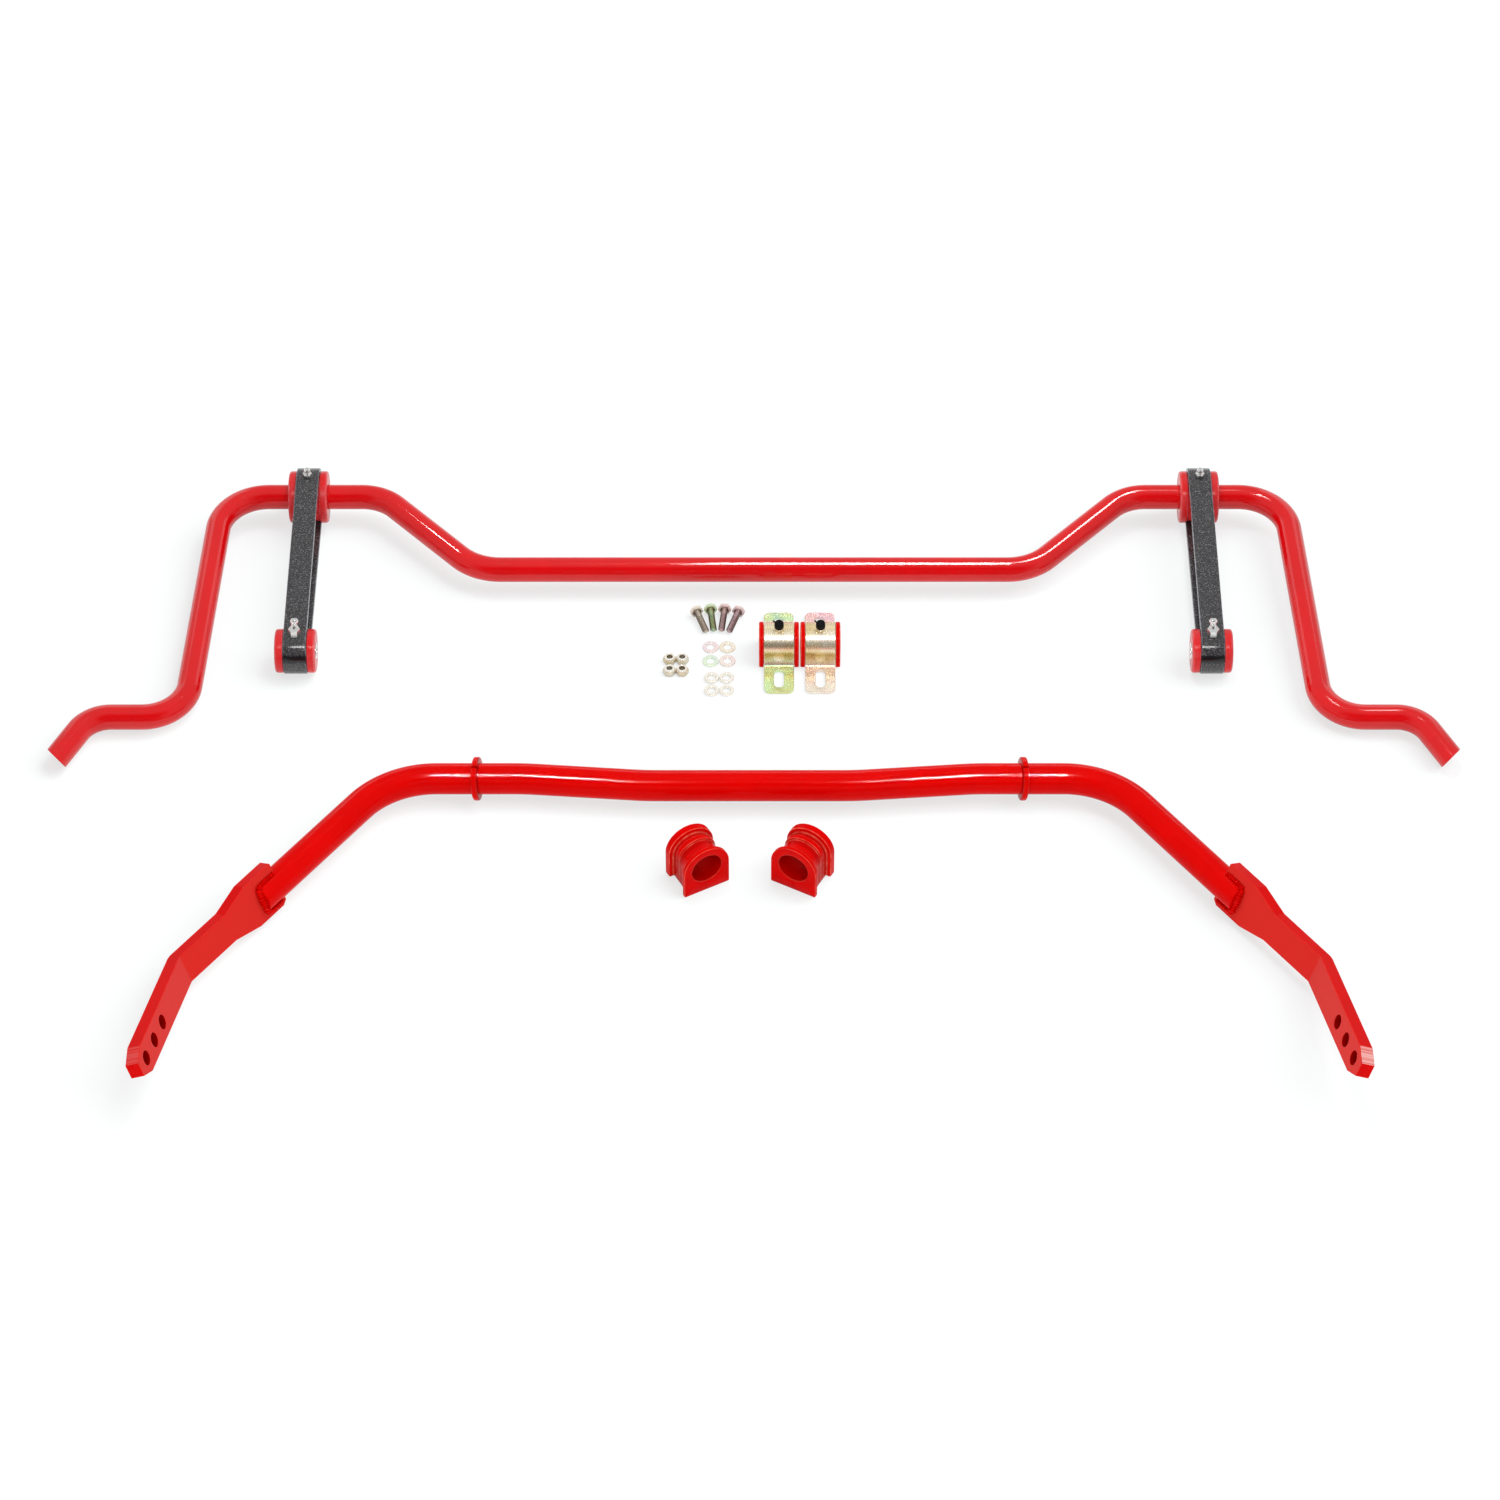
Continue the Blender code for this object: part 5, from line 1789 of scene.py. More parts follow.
def saddle_row(
    half_width: float, leg: float, axis_height: float, foot: float, corner: float, slit: float
) -> list[Vector]:
    """Points round a saddle outline, from the slit in its foot and back to it.

    Args:
        half_width: How far the round top reaches from its middle.
        leg: Half the outline's width below that.
        axis_height: Height of the round top's middle.
        foot: Height of the flat foot.
        corner: Radius of the foot's corners.
        slit: Width of the slit in the foot.

    Returns:
        The points, across and up, always in the same number.
    """
    quarter = math.pi / 2
    right: list[Vector] = []
    sole = leg - corner - slit / 2
    for k in range(FOOT_STEPS):
        right.append(Vector((slit / 2 + sole * k / FOOT_STEPS, foot)))
    middle = Vector((leg - corner, foot + corner))
    for k in range(CORNER_STEPS + 1):
        angle = quarter * k / CORNER_STEPS - quarter
        right.append(middle + Vector((math.cos(angle), math.sin(angle))) * corner)
    side = axis_height - foot - corner
    for k in range(1, LEG_STEPS):
        right.append(Vector((leg, foot + corner + side * k / LEG_STEPS)))
    for k in range(TOP_STEPS + 1):
        angle = quarter * k / TOP_STEPS
        reach = leg + (half_width - leg) * min(k / FADE_STEPS, 1.0)
        right.append(Vector((reach * math.cos(angle), axis_height + reach * math.sin(angle))))
    left = [Vector((-p.x, p.y)) for p in reversed(right[:-1])]
    return right + left


@dataclass(frozen=True)
class SaddleBushing:
    """A bushing with a flat foot, a round top and a round bore, slit at its foot."""

    axis_height: float
    lift: float
    widest: float
    corner: float
    slit: float = 0.0003

    def draft(
        self, section: Sequence[ProfilePoint], bore_rows: Sequence[ProfilePoint], stand: Matrix,
        legs: Sequence[float] | None = None,
    ) -> MeshDraft:
        """Draws the bushing.

        Args:
            section: Half width and place along the axis, from one end to the other.
            bore_rows: Bore radius and place along the axis, back to the first end.
            stand: Frame with Y up and Z along the axis.
            legs: Half the width below the round top, where it isn't the section's own.

        Returns:
            The bushing's draft.
        """
        narrow = min(p.across for p in section)
        height, corner, slit = self.axis_height, self.corner, self.slit
        rows = []
        for p, leg in zip(section, legs or [p.across for p in section]):
            share = (self.widest - leg) / max(self.widest - narrow, FIT)
            row = saddle_row(p.across, leg, height, self.lift * share, corner, slit)
            rows.append([stand @ Vector((q.x, q.y, p.along)) for q in row])
        axis = Vector((0.0, height))
        guide = saddle_row(narrow, narrow, height, self.lift, corner, slit)
        for p in bore_rows:
            ring = [axis + (q - axis).normalized() * p.across for q in guide]
            rows.append([stand @ Vector((q.x, q.y, p.along)) for q in ring])
        draft = MeshDraft()
        draft.grid(rows, [p.rim for p in list(section) + list(bore_rows)], True, False)
        return draft


def quarter_round(radius: float, foot: float, height: float, steps: int) -> list[ProfilePoint]:
    """Section of a round crown, from its top on the axis down to its rim.

    Args:
        radius: The rim's radius.
        foot: Height of the rim.
        height: How high the crown is above it.
        steps: How many pieces the round has.

    Returns:
        The section's points.
    """
    angles = [math.pi / 2 * k / steps for k in range(steps + 1)]
    return [ProfilePoint(radius * math.sin(a), foot + height * math.cos(a), 0.0) for a in angles]


class PaintedLightBand(NamedTuple):
    """A band of painted reflection and painted shade over a bracket's hump, in degrees from its top."""

    angle: float
    tint: float
    shade: float


@dataclass
class StrapBracket(SubAssembly):
    """One strap bracket over its bushing, with a capped grease fitting."""

    side: Side = Side.LEFT
    seat: Vector = field(default_factory=Vector)
    width: float = 0.0285
    thickness: float = 0.0030
    length: float = 0.1090
    corner: float = 0.0062
    slot_width: float = 0.0094
    slot_length: float = 0.0232
    slot_reach: float = 0.0365
    axis_height: float = 0.0170
    bend_radius: float = 0.0022
    inner_radius: float = 0.0158
    bore: float = 0.0123
    barrel: float = 0.0155
    flange: float = 0.0185
    bushing_length: float = 0.0380
    bushing_lift: float = 0.0005
    fitting_tilt: float = 10.0
    cap_wall: float = 0.0011
    cap_height: float = 0.0080
    tail_length: float = 0.0032
    tail_radius: float = 0.0008
    tail_turn: float = 150.0
    tail_rise: float = 25.0
    # Painted reflections down the hump: a pale highlight band, a dark band below it, and darker low on
    # the uprights.
    bands: tuple[PaintedLightBand, ...] = (
        PaintedLightBand(0.0, 0.3, 0.05), PaintedLightBand(18.0, 0.36, 0.0), PaintedLightBand(32.0, 0.47, 0.0),
        PaintedLightBand(46.0, 0.47, 0.0), PaintedLightBand(53.0, 0.4, 0.4), PaintedLightBand(62.0, 0.36, 0.5),
        PaintedLightBand(70.0, 0.38, 0.0), PaintedLightBand(80.0, 0.3, 0.0), PaintedLightBand(90.0, 0.12, 0.05),
        PaintedLightBand(104.0, 0.0, 0.45), PaintedLightBand(120.0, 0.0, 0.9), PaintedLightBand(127.0, 0.3, 0.0),
    )
    edge: float = 0.0005
    foot_corner: float = 0.0010
    bore_edge: float = 0.0005
    fitting_tint: float = 0.3
    cap_crown: float = 0.75
    cap_steps: int = 12
    cap_sides: int = 48
    tail_steps: int = 6
    tail_sides: int = 16
    band_depths: dict[Side, float] = field(default_factory=lambda: {Side.LEFT: 1.0, Side.RIGHT: 0.45})
    foot_tints: dict[Side, tuple[float, float]] = field(
        default_factory=lambda: {Side.LEFT: (0.91, 0.97), Side.RIGHT: (0.6, 0.5)}
    )

    def build(self) -> None:
        """Builds the bracket's pieces in their place."""
        self._strap()
        self._bushing(frame_of(Vector((0.0, 1.0, 0.0)), Vector((0.0, 0.0, 1.0)), self.seat))
        axis = Matrix.Translation(self.seat) @ place(z=self.axis_height)
        outer = self.inner_radius + self.thickness
        lean = axis @ turn(self.fitting_tilt, "X") @ place(z=outer)
        draft = MeshDraft()
        GreaseFitting().straight(draft, lean, self.thickness)
        word = self.side.label
        name = word + "_bracket_grease_fitting"
        fitting = self.show(draft, Finish.YELLOW_ZINC, word + "_bracket", name)
        mark(fitting, "tint", lambda spot: self.fitting_tint)
        self._cap(lean)

    def _strap(self) -> None:
        """The strap: slotted feet, tight bends and a round hump."""
        half_sheet = self.thickness / 2
        hump_r = self.inner_radius + half_sheet
        bend_r = self.bend_radius + half_sheet
        foot_start = hump_r + half_sheet + self.bend_radius
        foot = self.length / 2 - foot_start
        bend = bend_r * math.pi / 2
        upright = self.axis_height - self.thickness - self.bend_radius
        hump = hump_r * math.pi
        rise = [(foot, 0.0), (bend, math.pi / 2), (upright, 0.0)]
        path = BendPath([*rise, (hump, -math.pi), *reversed(rise)])
        whole = 2 * (foot + bend + upright) + hump
        half = self.width / 2
        outline = rounded(
            [
                (0.0, -half, self.corner), (whole, -half, self.corner), (whole, half, self.corner),
                (0.0, half, self.corner),
            ],
            steps=8,
        )
        slot_at = self.length / 2 - self.slot_reach
        slots = [oblong(along, self.slot_length, self.slot_width) for along in (slot_at, whole - slot_at)]
        start = self.seat + Vector((0.0, -self.length / 2, half_sheet))
        stand = Matrix.Translation(start) @ turn(90.0, "Z")
        name = self.side.label + "_bracket_strap"
        mesh = bent_plate(name, [outline, *slots], self.thickness, self.edge, path, stand)
        shown = finish_mesh(name + "_dressed", mesh, None)
        # Painted reflection bands and painted shade on the hump; the right bracket's painted shade is
        # lighter.
        depth = self.band_depths[self.side]
        mark(mesh, "tint", self._tint_at)
        mark(mesh, "shade", lambda spot: depth * self._band_at(spot)[1])
        self.keep(shown, Finish.YELLOW_ZINC, self.side.label + "_bracket", name)

    def _band_at(self, spot: Vector) -> tuple[float, float]:
        """The hump's painted reflection band at a place.

        Args:
            spot: A place on the strap.

        Returns:
            The band's tint and shade there.
        """
        axis = self.seat.z + self.axis_height
        aside = abs(spot.y - self.seat.y)
        angle = math.degrees(math.atan2(aside, max(spot.z - axis, 0.0)))
        angle += math.degrees(max(axis - spot.z, 0.0) / (self.inner_radius + self.thickness))
        for first, last in zip(self.bands, self.bands[1:]):
            if angle <= last.angle:
                share = share_of(angle, first.angle, last.angle)
                tint = first.tint + (last.tint - first.tint) * share
                return tint, first.shade + (last.shade - first.shade) * share
        return self.bands[-1].tint, self.bands[-1].shade

    def _tint_at(self, spot: Vector) -> float:
        """The tint of the hump's painted reflection bands, and the side's own tint on the feet.

        Args:
            spot: A place on the strap.

        Returns:
            The tint there.
        """
        foot_top = self.seat.z + self.thickness
        share = share_of(spot.z, foot_top, foot_top + 2 * self.bend_radius)
        far, near = self.foot_tints[self.side]
        tint = far if spot.y > self.seat.y else near
        return tint + (self._band_at(spot)[0] - tint) * share

    def _bushing(self, stand: Matrix) -> None:
        """The saddle bushing, with a flange at each side of the strap.

        Args:
            stand: Frame with Y up and Z along the bushing's axis.
        """
        inside = self.width / 2 + FIT
        half = self.bushing_length / 2
        section = rounded(
            [
                (self.bore, -half, 0.0), (self.flange, -half, 0.0014), (self.flange, -inside, 0.0008),
                (self.barrel, -inside, 0.0003), (self.barrel, inside, 0.0003),
                (self.flange, inside, 0.0008), (self.flange, half, 0.0014), (self.bore, half, 0.0),
            ],
            closed=False,
        )[1:-1]
        mouth = self.bore + self.bore_edge
        inner = half - self.bore_edge
        bore_rows = [
            ProfilePoint(mouth, half, 0.0), ProfilePoint(self.bore, inner, 0.6),
            ProfilePoint(self.bore, 0.0, 0.0), ProfilePoint(self.bore, -inner, 0.6),
            ProfilePoint(mouth, -half, 0.0),
        ]
        saddle = SaddleBushing(self.axis_height, self.bushing_lift, self.flange, self.foot_corner)
        draft = saddle.draft(section, bore_rows, stand)
        name = self.side.label + "_bracket_bushing"
        self.show(draft, Finish.D_BUSHING_RED, ROOT_BODY, name)

    def _cap(self, lean: Matrix) -> None:
        """The rubber cap on the fitting, with its little tail.

        Args:
            lean: The fitting's frame.
        """
        inside = GreaseFitting.head_radius + FIT
        outside = inside + self.cap_wall
        skirt = GreaseFitting.hexagon_height + 2 * FIT
        roof = GreaseFitting.hexagon_height + GreaseFitting.nipple_height + FIT
        top = max(skirt + self.cap_height, roof + self.cap_wall)
        crown = outside * self.cap_crown
        section = quarter_round(outside, top - crown, crown, self.cap_steps)
        section += rounded(
            [
                (outside, skirt + 0.0022, 0.0), (outside * 0.94, skirt + 0.0019, 0.0002),
                (outside * 0.94, skirt + 0.0014, 0.0002), (outside, skirt + 0.0011, 0.0002),
                (outside, skirt, 0.0003), (inside, skirt, 0.0002), (inside, roof, 0.0), (0.0, roof, 0.0),
            ],
            closed=False, steps=3,
        )
        draft = MeshDraft()
        draft.turned(section, self.cap_sides, lean, ring=False)
        tail = (
            lean
            @ turn(self.tail_turn, "Z")
            @ place(x=outside * 0.7, z=top - outside * 0.95)
            @ turn(90.0 - self.tail_rise, "Y")
        )
        end = self.tail_radius
        length = self.tail_length + outside * 0.2
        stalk = quarter_round(end, length - end, end, self.tail_steps)
        stalk += [ProfilePoint(end, 0.0, 0.0), ProfilePoint(0.0, 0.0, 0.0)]
        draft.turned(stalk, self.tail_sides, tail, ring=False)
        word = self.side.label
        self.show(draft, Finish.CAP_RUBBER, word + "_cap", word + "_fitting_cap")


@dataclass
class FrontBar(SubAssembly):
    """The hollow front bar: tube, location rings, welded blades."""

    origin: Vector = field(default_factory=Vector)
    tube_radius: float = 0.0145
    tube_wall: float = 0.0040
    centre_half: float = 0.0968
    rise_half: float = 0.2078
    arm_half: float = 0.3327
    centre_offset: float = 0.0090
    arm_degrees: float = 54.1
    tube_reach: float = 0.1890
    ease_radius: float = 0.300
    bend_radius: float = 0.085
    ring_half: float = 0.2520
    ring_width: float = 0.0062
    ring_height: float = 0.0055
    ring_split: float = 0.0026
    ring_split_degrees: float = 12.0
    ring_tilt: float = 7.0
    blade_thickness: float = 0.0127
    blade_lean: float = 25.0
    slot_depth: float = 0.0235
    pad_run: float = 0.0135
    taper_run: float = 0.0305
    neck_run: float = 0.0633
    blade_bend: float = 28.75
    blade_bend_inside: float = 0.0050
    outer_length: float = 0.1531
    pad_above: float = 0.0238
    pad_corner: float = 0.0050
    neck_above: float = 0.0155
    neck_below: float = 0.0125
    tip_along: float = 0.0174
    tip_across: float = 0.0072
    hole_radius: float = 0.0065
    hole_pitch: float = 0.0266
    last_hole_margin: float = 0.0176
    holes: int = 3
    blade_edge: float = 0.0005
    # Strength of the painted glint on each tip's upper cut.
    tip_streaks: dict[Side, float] = field(default_factory=lambda: {Side.LEFT: 0.15, Side.RIGHT: 0.85})
    weld_radius: float = 0.0021
    ripple_spacing: float = 0.0026
    weld_swells: tuple[float, ...] = (1.0, 1.1, 1.5, 1.7, 1.5, 1.1, 1.0)
    weld_bend: float = 0.002
    ring_shade: float = 0.5
    ring_steps: int = 64
    hole_shade: float = 0.8
    toe_shade: float = 0.6
    sides: int = 48
    bend_steps: int = 20

    def build(self) -> None:
        """Builds the tube, then the ring and the blade of each side."""
        self._tube()
        for side in Side:
            self._ring(side)
            self._blade(side)

    def _tube(self) -> None:
        """The bent tube; welds close its ends."""
        angle = math.radians(self.arm_degrees)
        end = self.arm_half + math.cos(angle) * self.tube_reach
        half = [
            (self.centre_half, -self.centre_offset, self.ease_radius),
            (self.rise_half, 0.0, self.ease_radius), (self.arm_half, 0.0, self.bend_radius),
            (end, -math.sin(angle) * self.tube_reach, 0.0),
        ]
        stand = Matrix.Translation(self.origin)
        sizes = {"Bar Radius": self.tube_radius, "Bend Steps": self.bend_steps, "Sides": self.sides}
        mesh = self.bent_bar("front_tube_path", half, stand, Finish.FRONT_RED, sizes)
        bevel_open_rims(mesh, self.tube_wall / 4)
        shown = finish_mesh("front_bar_tube_dressed", mesh)
        self.keep(shown, Finish.FRONT_RED, ROOT_BODY, "front_bar_tube")

    def _ring(self, side: Side) -> None:
        """A split location ring pressed round the tube.

        Args:
            side: The ring's side.
        """
        half = self.ring_width / 2
        bore = self.tube_radius + FIT / 2
        outer = self.tube_radius + FIT + self.ring_height
        section = rounded(
            [
                (outer, half * 0.9, 0.0016), (outer, -half * 0.9, 0.0016), (bore, -half, 0.0002),
                (bore, half, 0.0002),
            ]
        )
        start = self.origin + Vector((side.value * self.ring_half, 0.0, 0.0))
        tilt = math.radians(side.value * self.ring_tilt)
        lean = Matrix.Rotation(tilt, 4, Vector((0.0, 1.0, 1.0)))
        level = Matrix.Translation(start) @ lean @ turn(90.0, "Y")
        # The turned shape's X, where the slit is, points up and a little towards the front.
        stand = level @ turn(180.0 + self.ring_split_degrees, "Z")
        draft = MeshDraft()
        draft.turned(section, self.ring_steps, stand, slit=self.ring_split / outer)
        back = level.inverted()

        def shade_at(spot: Vector) -> float:
            """Painted shade on the face that looks to the bar's middle."""
            inward = -side.value * (back @ spot).z
            return self.ring_shade * share_of(inward, half * 0.5, half * 0.8)

        name = side.label + "_location_ring"
        mark(self.show(draft, Finish.FRONT_RED, ROOT_BODY, name), "shade", shade_at)

    def _arm_frame(self, side: Side) -> Matrix:
        """The frame of one arm: X along the tube, Y up the blade, Z across it.

        Args:
            side: The arm's side.

        Returns:
            The frame, at the middle of the tube's bend.
        """
        angle = math.radians(self.arm_degrees)
        lean = math.radians(self.blade_lean)
        along = Vector((side.value * math.cos(angle), -math.sin(angle), 0.0))
        level = Vector((side.value * math.sin(angle), math.cos(angle), 0.0))
        upright = Vector((0.0, 0.0, math.cos(lean))) + level * math.sin(lean)
        corner = self.origin + Vector((side.value * self.arm_half, 0.0, 0.0))
        return frame_of(along, upright, corner)

    @property
    def _bend_middle(self) -> float:
        """Radius of the blade's middle line round its bend."""
        return self.blade_bend_inside + self.blade_thickness / 2

    @property
    def _to_bend(self) -> float:
        """How far the blade's start is from the corner of its bend."""
        return self.slot_depth + self.pad_run + self.taper_run + self.neck_run

    @property
    def _flat_length(self) -> float:
        """The flat blade's length: its middle line is shorter for going round the bend."""
        angle = math.radians(self.blade_bend)
        saving = self._bend_middle * (2 * math.tan(angle / 2) - angle)
        return self._to_bend + self.outer_length - saving

    def _blade_outline(self) -> list[ProfilePoint]:
        """The flat blade's outline.

        Returns:
            Its points, as distance from the blade's start and height.
        """
        lean = math.radians(self.blade_lean)
        floor = self.tube_radius + FIT + self.ring_height
        pad_below = (floor - self.blade_thickness / 2 * math.sin(lean)) / math.cos(lean) - FIT / 3
        pad_end = self.slot_depth + self.pad_run
        neck = pad_end + self.taper_run
        tip = self._flat_length
        shoulder = tip - self.tip_along
        return rounded(
            [
                (0.0, self.pad_above, 0.0006), (0.0, -pad_below + self.pad_corner * 0.7, 0.0008),
                (self.pad_corner, -pad_below, 0.0008), (pad_end, -pad_below, 0.0012),
                (neck, -self.neck_below, 0.0020), (shoulder, -self.neck_below, 0.0009),
                (tip, -self.neck_below + self.tip_across, 0.0009),
                (tip, self.neck_above - self.tip_across, 0.0009), (shoulder, self.neck_above, 0.0009),
                (neck, self.neck_above, 0.0020), (pad_end, self.pad_above, 0.0012),
            ],
            steps=4,
        )

    def _blade(self, side: Side) -> None:
        """A bent blade with its holes, welded into the tube's end.

        Args:
            side: The blade's side.
        """
        angle = math.radians(self.blade_bend)
        reach = self._bend_middle * math.tan(angle / 2)
        path = BendPath(
            [
                (self._to_bend - reach, 0.0), (self._bend_middle * angle, side.value * angle),
                (self.outer_length - reach, 0.0),
            ]
        )
        middle = (self.neck_above - self.neck_below) / 2
        last = self._flat_length - self.last_hole_margin
        centres = [Vector((last - i * self.hole_pitch, middle, 0.0)) for i in range(self.holes)]
        width = self.hole_radius * 2
        rings = [
            [ProfilePoint(p.across, p.along + centre.y, 0.0) for p in oblong(centre.x, width, width)]
            for centre in centres
        ]
        arm = self._arm_frame(side)
        stand = arm @ place(x=self.tube_reach - self.slot_depth)
        name = side.label + "_blade"
        outlines = [self._blade_outline(), *rings]
        plate = bent_plate(name, outlines, self.blade_thickness, self.blade_edge, path, stand)
        self._mark_tip(plate, self.tip_streaks[side])
        # Painted shade on the walls of the holes.
        near = self.hole_radius + self.blade_edge / 2
        spots = [spot.vector for spot in plate.attributes["flat"].data]
        from_hole = [min((spot - centre).length for centre in centres) for spot in spots]
        set_marks(plate, "shade", [self.hole_shade if off < near else 0.0 for off in from_hole])
        walls = [wall.value for wall in plate.attributes["cut"].data]
        set_marks(plate, "sheet", [1.0 - wall for wall in walls])
        beads = [self._bead(arm, sign, i) for i, sign in enumerate((1.0, -1.0))]
        mesh = join_meshes([plate, *beads], name)
        self.keep(finish_mesh(name + "_dressed", mesh, None), Finish.FRONT_RED, ROOT_BODY, name)

    def _mark_tip(self, plate: bpy.types.Mesh, amount: float) -> None:
        """Marks the upper cut of the tip for a painted glint.

        Args:
            plate: The blade's mesh.
            amount: How strong the painted glint is, from 0 to 1.
        """
        flat = plate.attributes["flat"].data
        cut = plate.attributes["cut"].data
        shoulder = self._flat_length - self.tip_along
        low = self.neck_above - self.tip_across
        values = []
        for face in plate.polygons:
            share = 1.0 / len(face.vertices)
            x = sum(flat[i].vector.x for i in face.vertices) * share
            y = sum(flat[i].vector.y for i in face.vertices) * share
            on_wall = min(cut[i].value for i in face.vertices) > 0.5
            values.append(amount if on_wall and x > shoulder and y > low else 0.0)
        set_marks(plate, "thin", values, "FACE")

    def _bead(self, arm: Matrix, sign: float, seed: int) -> bpy.types.Mesh:
        """A weld bead round the tube's end on one face of the blade.

        Args:
            arm: The arm's frame.
            sign: Which face of the blade.
            seed: Seed of the bead's ripples.

        Returns:
            The bead's mesh.
        """
        face = self.blade_thickness / 2
        size = self.weld_radius
        beside = math.sqrt(self.tube_radius**2 - face**2) + size * 0.6
        past = self.tube_reach + size * 0.6
        start = self.tube_reach - self.slot_depth
        low = sign * (face + size * 0.3)
        high = sign * (face + size * 0.8)
        corners = [
            Vector((start + size, beside, low)), Vector((past - size * 2, beside, low)),
            Vector((past, beside - size, high)), Vector((past, 0.0, high)),
            Vector((past, size - beside, high)), Vector((past - size * 2, -beside, low)),
            Vector((start + self.pad_corner, -beside, low)),
        ]
        bent = (1, 2, 4, 5)
        bends = [self.weld_bend if i in bent else 0.0 for i in range(len(corners))]
        marks = {"bend": bends, "swell": self.weld_swells}
        mesh = self.recipes.weld.run(
            path_object("bead_path", [arm @ p for p in corners], marks),
            {
                "Bead Radius": size, "Ripple Spacing": self.ripple_spacing, "Seed": seed,
                "Material": self.book[Finish.FRONT_RED],
            },
        )
        back = arm.inverted()

        def toe_at(spot: Vector) -> float:
            """Painted shade where the bead meets the blade or the tube.

            Args:
                spot: A place on the bead.

            Returns:
                How dark it is there.
            """
            here = back @ spot
            off_blade = abs(here.z) - face
            off_tube = math.hypot(here.y, here.z) - self.tube_radius
            if here.x > self.tube_reach:
                off_tube = here.x - self.tube_reach + size * 0.3
            off = min(off_blade, off_tube)
            return self.toe_shade * (1.0 - share_of(off, size * 0.2, size * 0.7))

        mark(mesh, "shade", toe_at)
        return mesh


@dataclass
class DBushing(SubAssembly):
    """One D bushing of the front bar: two saddle flanges, two grooves and a rib."""

    side: Side = Side.LEFT
    seat: Vector = field(default_factory=Vector)
    turn_degrees: float = 29.0
    bore: float = 0.0150
    flange: float = 0.0230
    flange_length: float = 0.0072
    waist: float = 0.0188
    rib: float = 0.0208
    rib_width: float = 0.0100
    sweep_start: float = 0.0025
    sweep_steps: int = 12
    lip: float = 0.0040
    lip_step: float = 0.0005
    length: float = 0.0370
    axis_height: float = 0.0270
    lift: float = 0.0012
    foot_corner: float = 0.0011
    bore_edge: float = 0.0008
    groove_shade: float = 0.3
    bore_shade: float = 0.15
    shade_depth: float = 0.014

    def build(self) -> None:
        """Builds the bushing in its place."""
        angle = math.radians(self.turn_degrees)
        across = Vector((math.cos(angle), -self.side.value * math.sin(angle), 0.0))
        stand = frame_of(across, Vector((0.0, 0.0, 1.0)), self.seat)
        section = self._section()
        rib_start = -self.rib_width / 2 - 0.001
        legs = [self.waist if rib_start < p.along < 0.001 else p.across for p in section]
        saddle = SaddleBushing(self.axis_height, self.lift, self.flange, self.foot_corner)
        draft = saddle.draft(section, self._bore_rows(), stand, legs)
        back = stand.inverted()
        name = self.side.label + "_d_bushing"
        mesh = self.show(draft, Finish.D_BUSHING_RED, ROOT_BODY, name)
        mark(mesh, "shade", lambda spot: self._shade_at(back @ spot))

    def _section(self) -> list[ProfilePoint]:
        """The outside: flange, groove, rib, and a sweep out to the front flange.

        Returns:
            Half width and place along the axis, from the back to the front.
        """
        half = self.length / 2
        groove = half - self.flange_length
        rib = self.rib_width / 2
        section = rounded(
            [
                (self.bore, -half, 0.0), (self.flange, -half, 0.0009), (self.flange, -groove, 0.0010),
                (self.waist, -groove + 0.0010, 0.0020), (self.waist, -rib - 0.0006, 0.0010),
                (self.rib, -rib, 0.0008), (self.rib, 0.0, 0.0008), (self.waist, 0.0006, 0.0014),
                (self.waist, self.sweep_start, 0.0),
            ],
            closed=False,
        )[1:]
        front = half - self.lip
        swept = self.flange - self.lip_step
        for k in range(1, self.sweep_steps + 1):
            angle = math.pi / 2 * k / self.sweep_steps
            out = self.waist + (swept - self.waist) * (1 - math.cos(angle))
            along = self.sweep_start + (front - self.sweep_start) * math.sin(angle)
            section.append(ProfilePoint(out, along, 0.0))
        section += rounded(
            [
                (swept, front, 0.0), (self.flange, front + 0.0004, 0.0004), (self.flange, half, 0.0005),
                (self.bore, half, 0.0),
            ],
            closed=False,
        )[1:-1]
        return section

    def _bore_rows(self) -> list[ProfilePoint]:
        """The bore, with broken edges and rings that its painted shade can follow.

        Returns:
            Radius and place along the axis, from the front to the back.
        """
        half = self.length / 2
        edge = self.bore_edge
        front = [
            ProfilePoint(self.bore + edge, half, 0.0),
            ProfilePoint(self.bore + edge / 4, half - edge / 4, 0.8),
            ProfilePoint(self.bore, half - edge, 0.0), ProfilePoint(self.bore, half - 0.006, 0.0),
            ProfilePoint(self.bore, half - 0.012, 0.0),
        ]
        back = [ProfilePoint(p.across, -p.along, p.rim) for p in reversed(front)]
        return [*front, ProfilePoint(self.bore, 0.0, 0.0), *back]

    def _shade_at(self, here: Vector) -> float:
        """Painted shade: dark inside the bore, away from both ends, and down in the grooves.

        Args:
            here: A place on the bushing, in its own frame.

        Returns:
            How dark it is there.
        """
        half = self.length / 2
        above = here.y - self.axis_height
        from_axis = math.hypot(here.x, above)
        if from_axis < self.bore + FIT:
            high = share_of(above, -self.bore, self.bore * 0.5)
            deep = share_of(half - abs(here.z), 0.0, self.shade_depth)
            return (self.bore_shade + (1.0 - self.bore_shade) * high) * (0.5 + 0.5 * deep)
        width = max(abs(here.x), from_axis if above > 0.0 else 0.0)
        start = self.flange_length - half - 0.0005
        if start < here.z < self.sweep_start + 0.004:
            return self.groove_shade * (1.0 - share_of(width, self.waist, self.rib))
        return 0.0


class WasherSet(NamedTuple):
    """Four like washers: the start of their solids' names, sizes, paleness and tints."""

    label: str
    hole: float
    edge: float
    pale: float
    tints: tuple[float, ...]


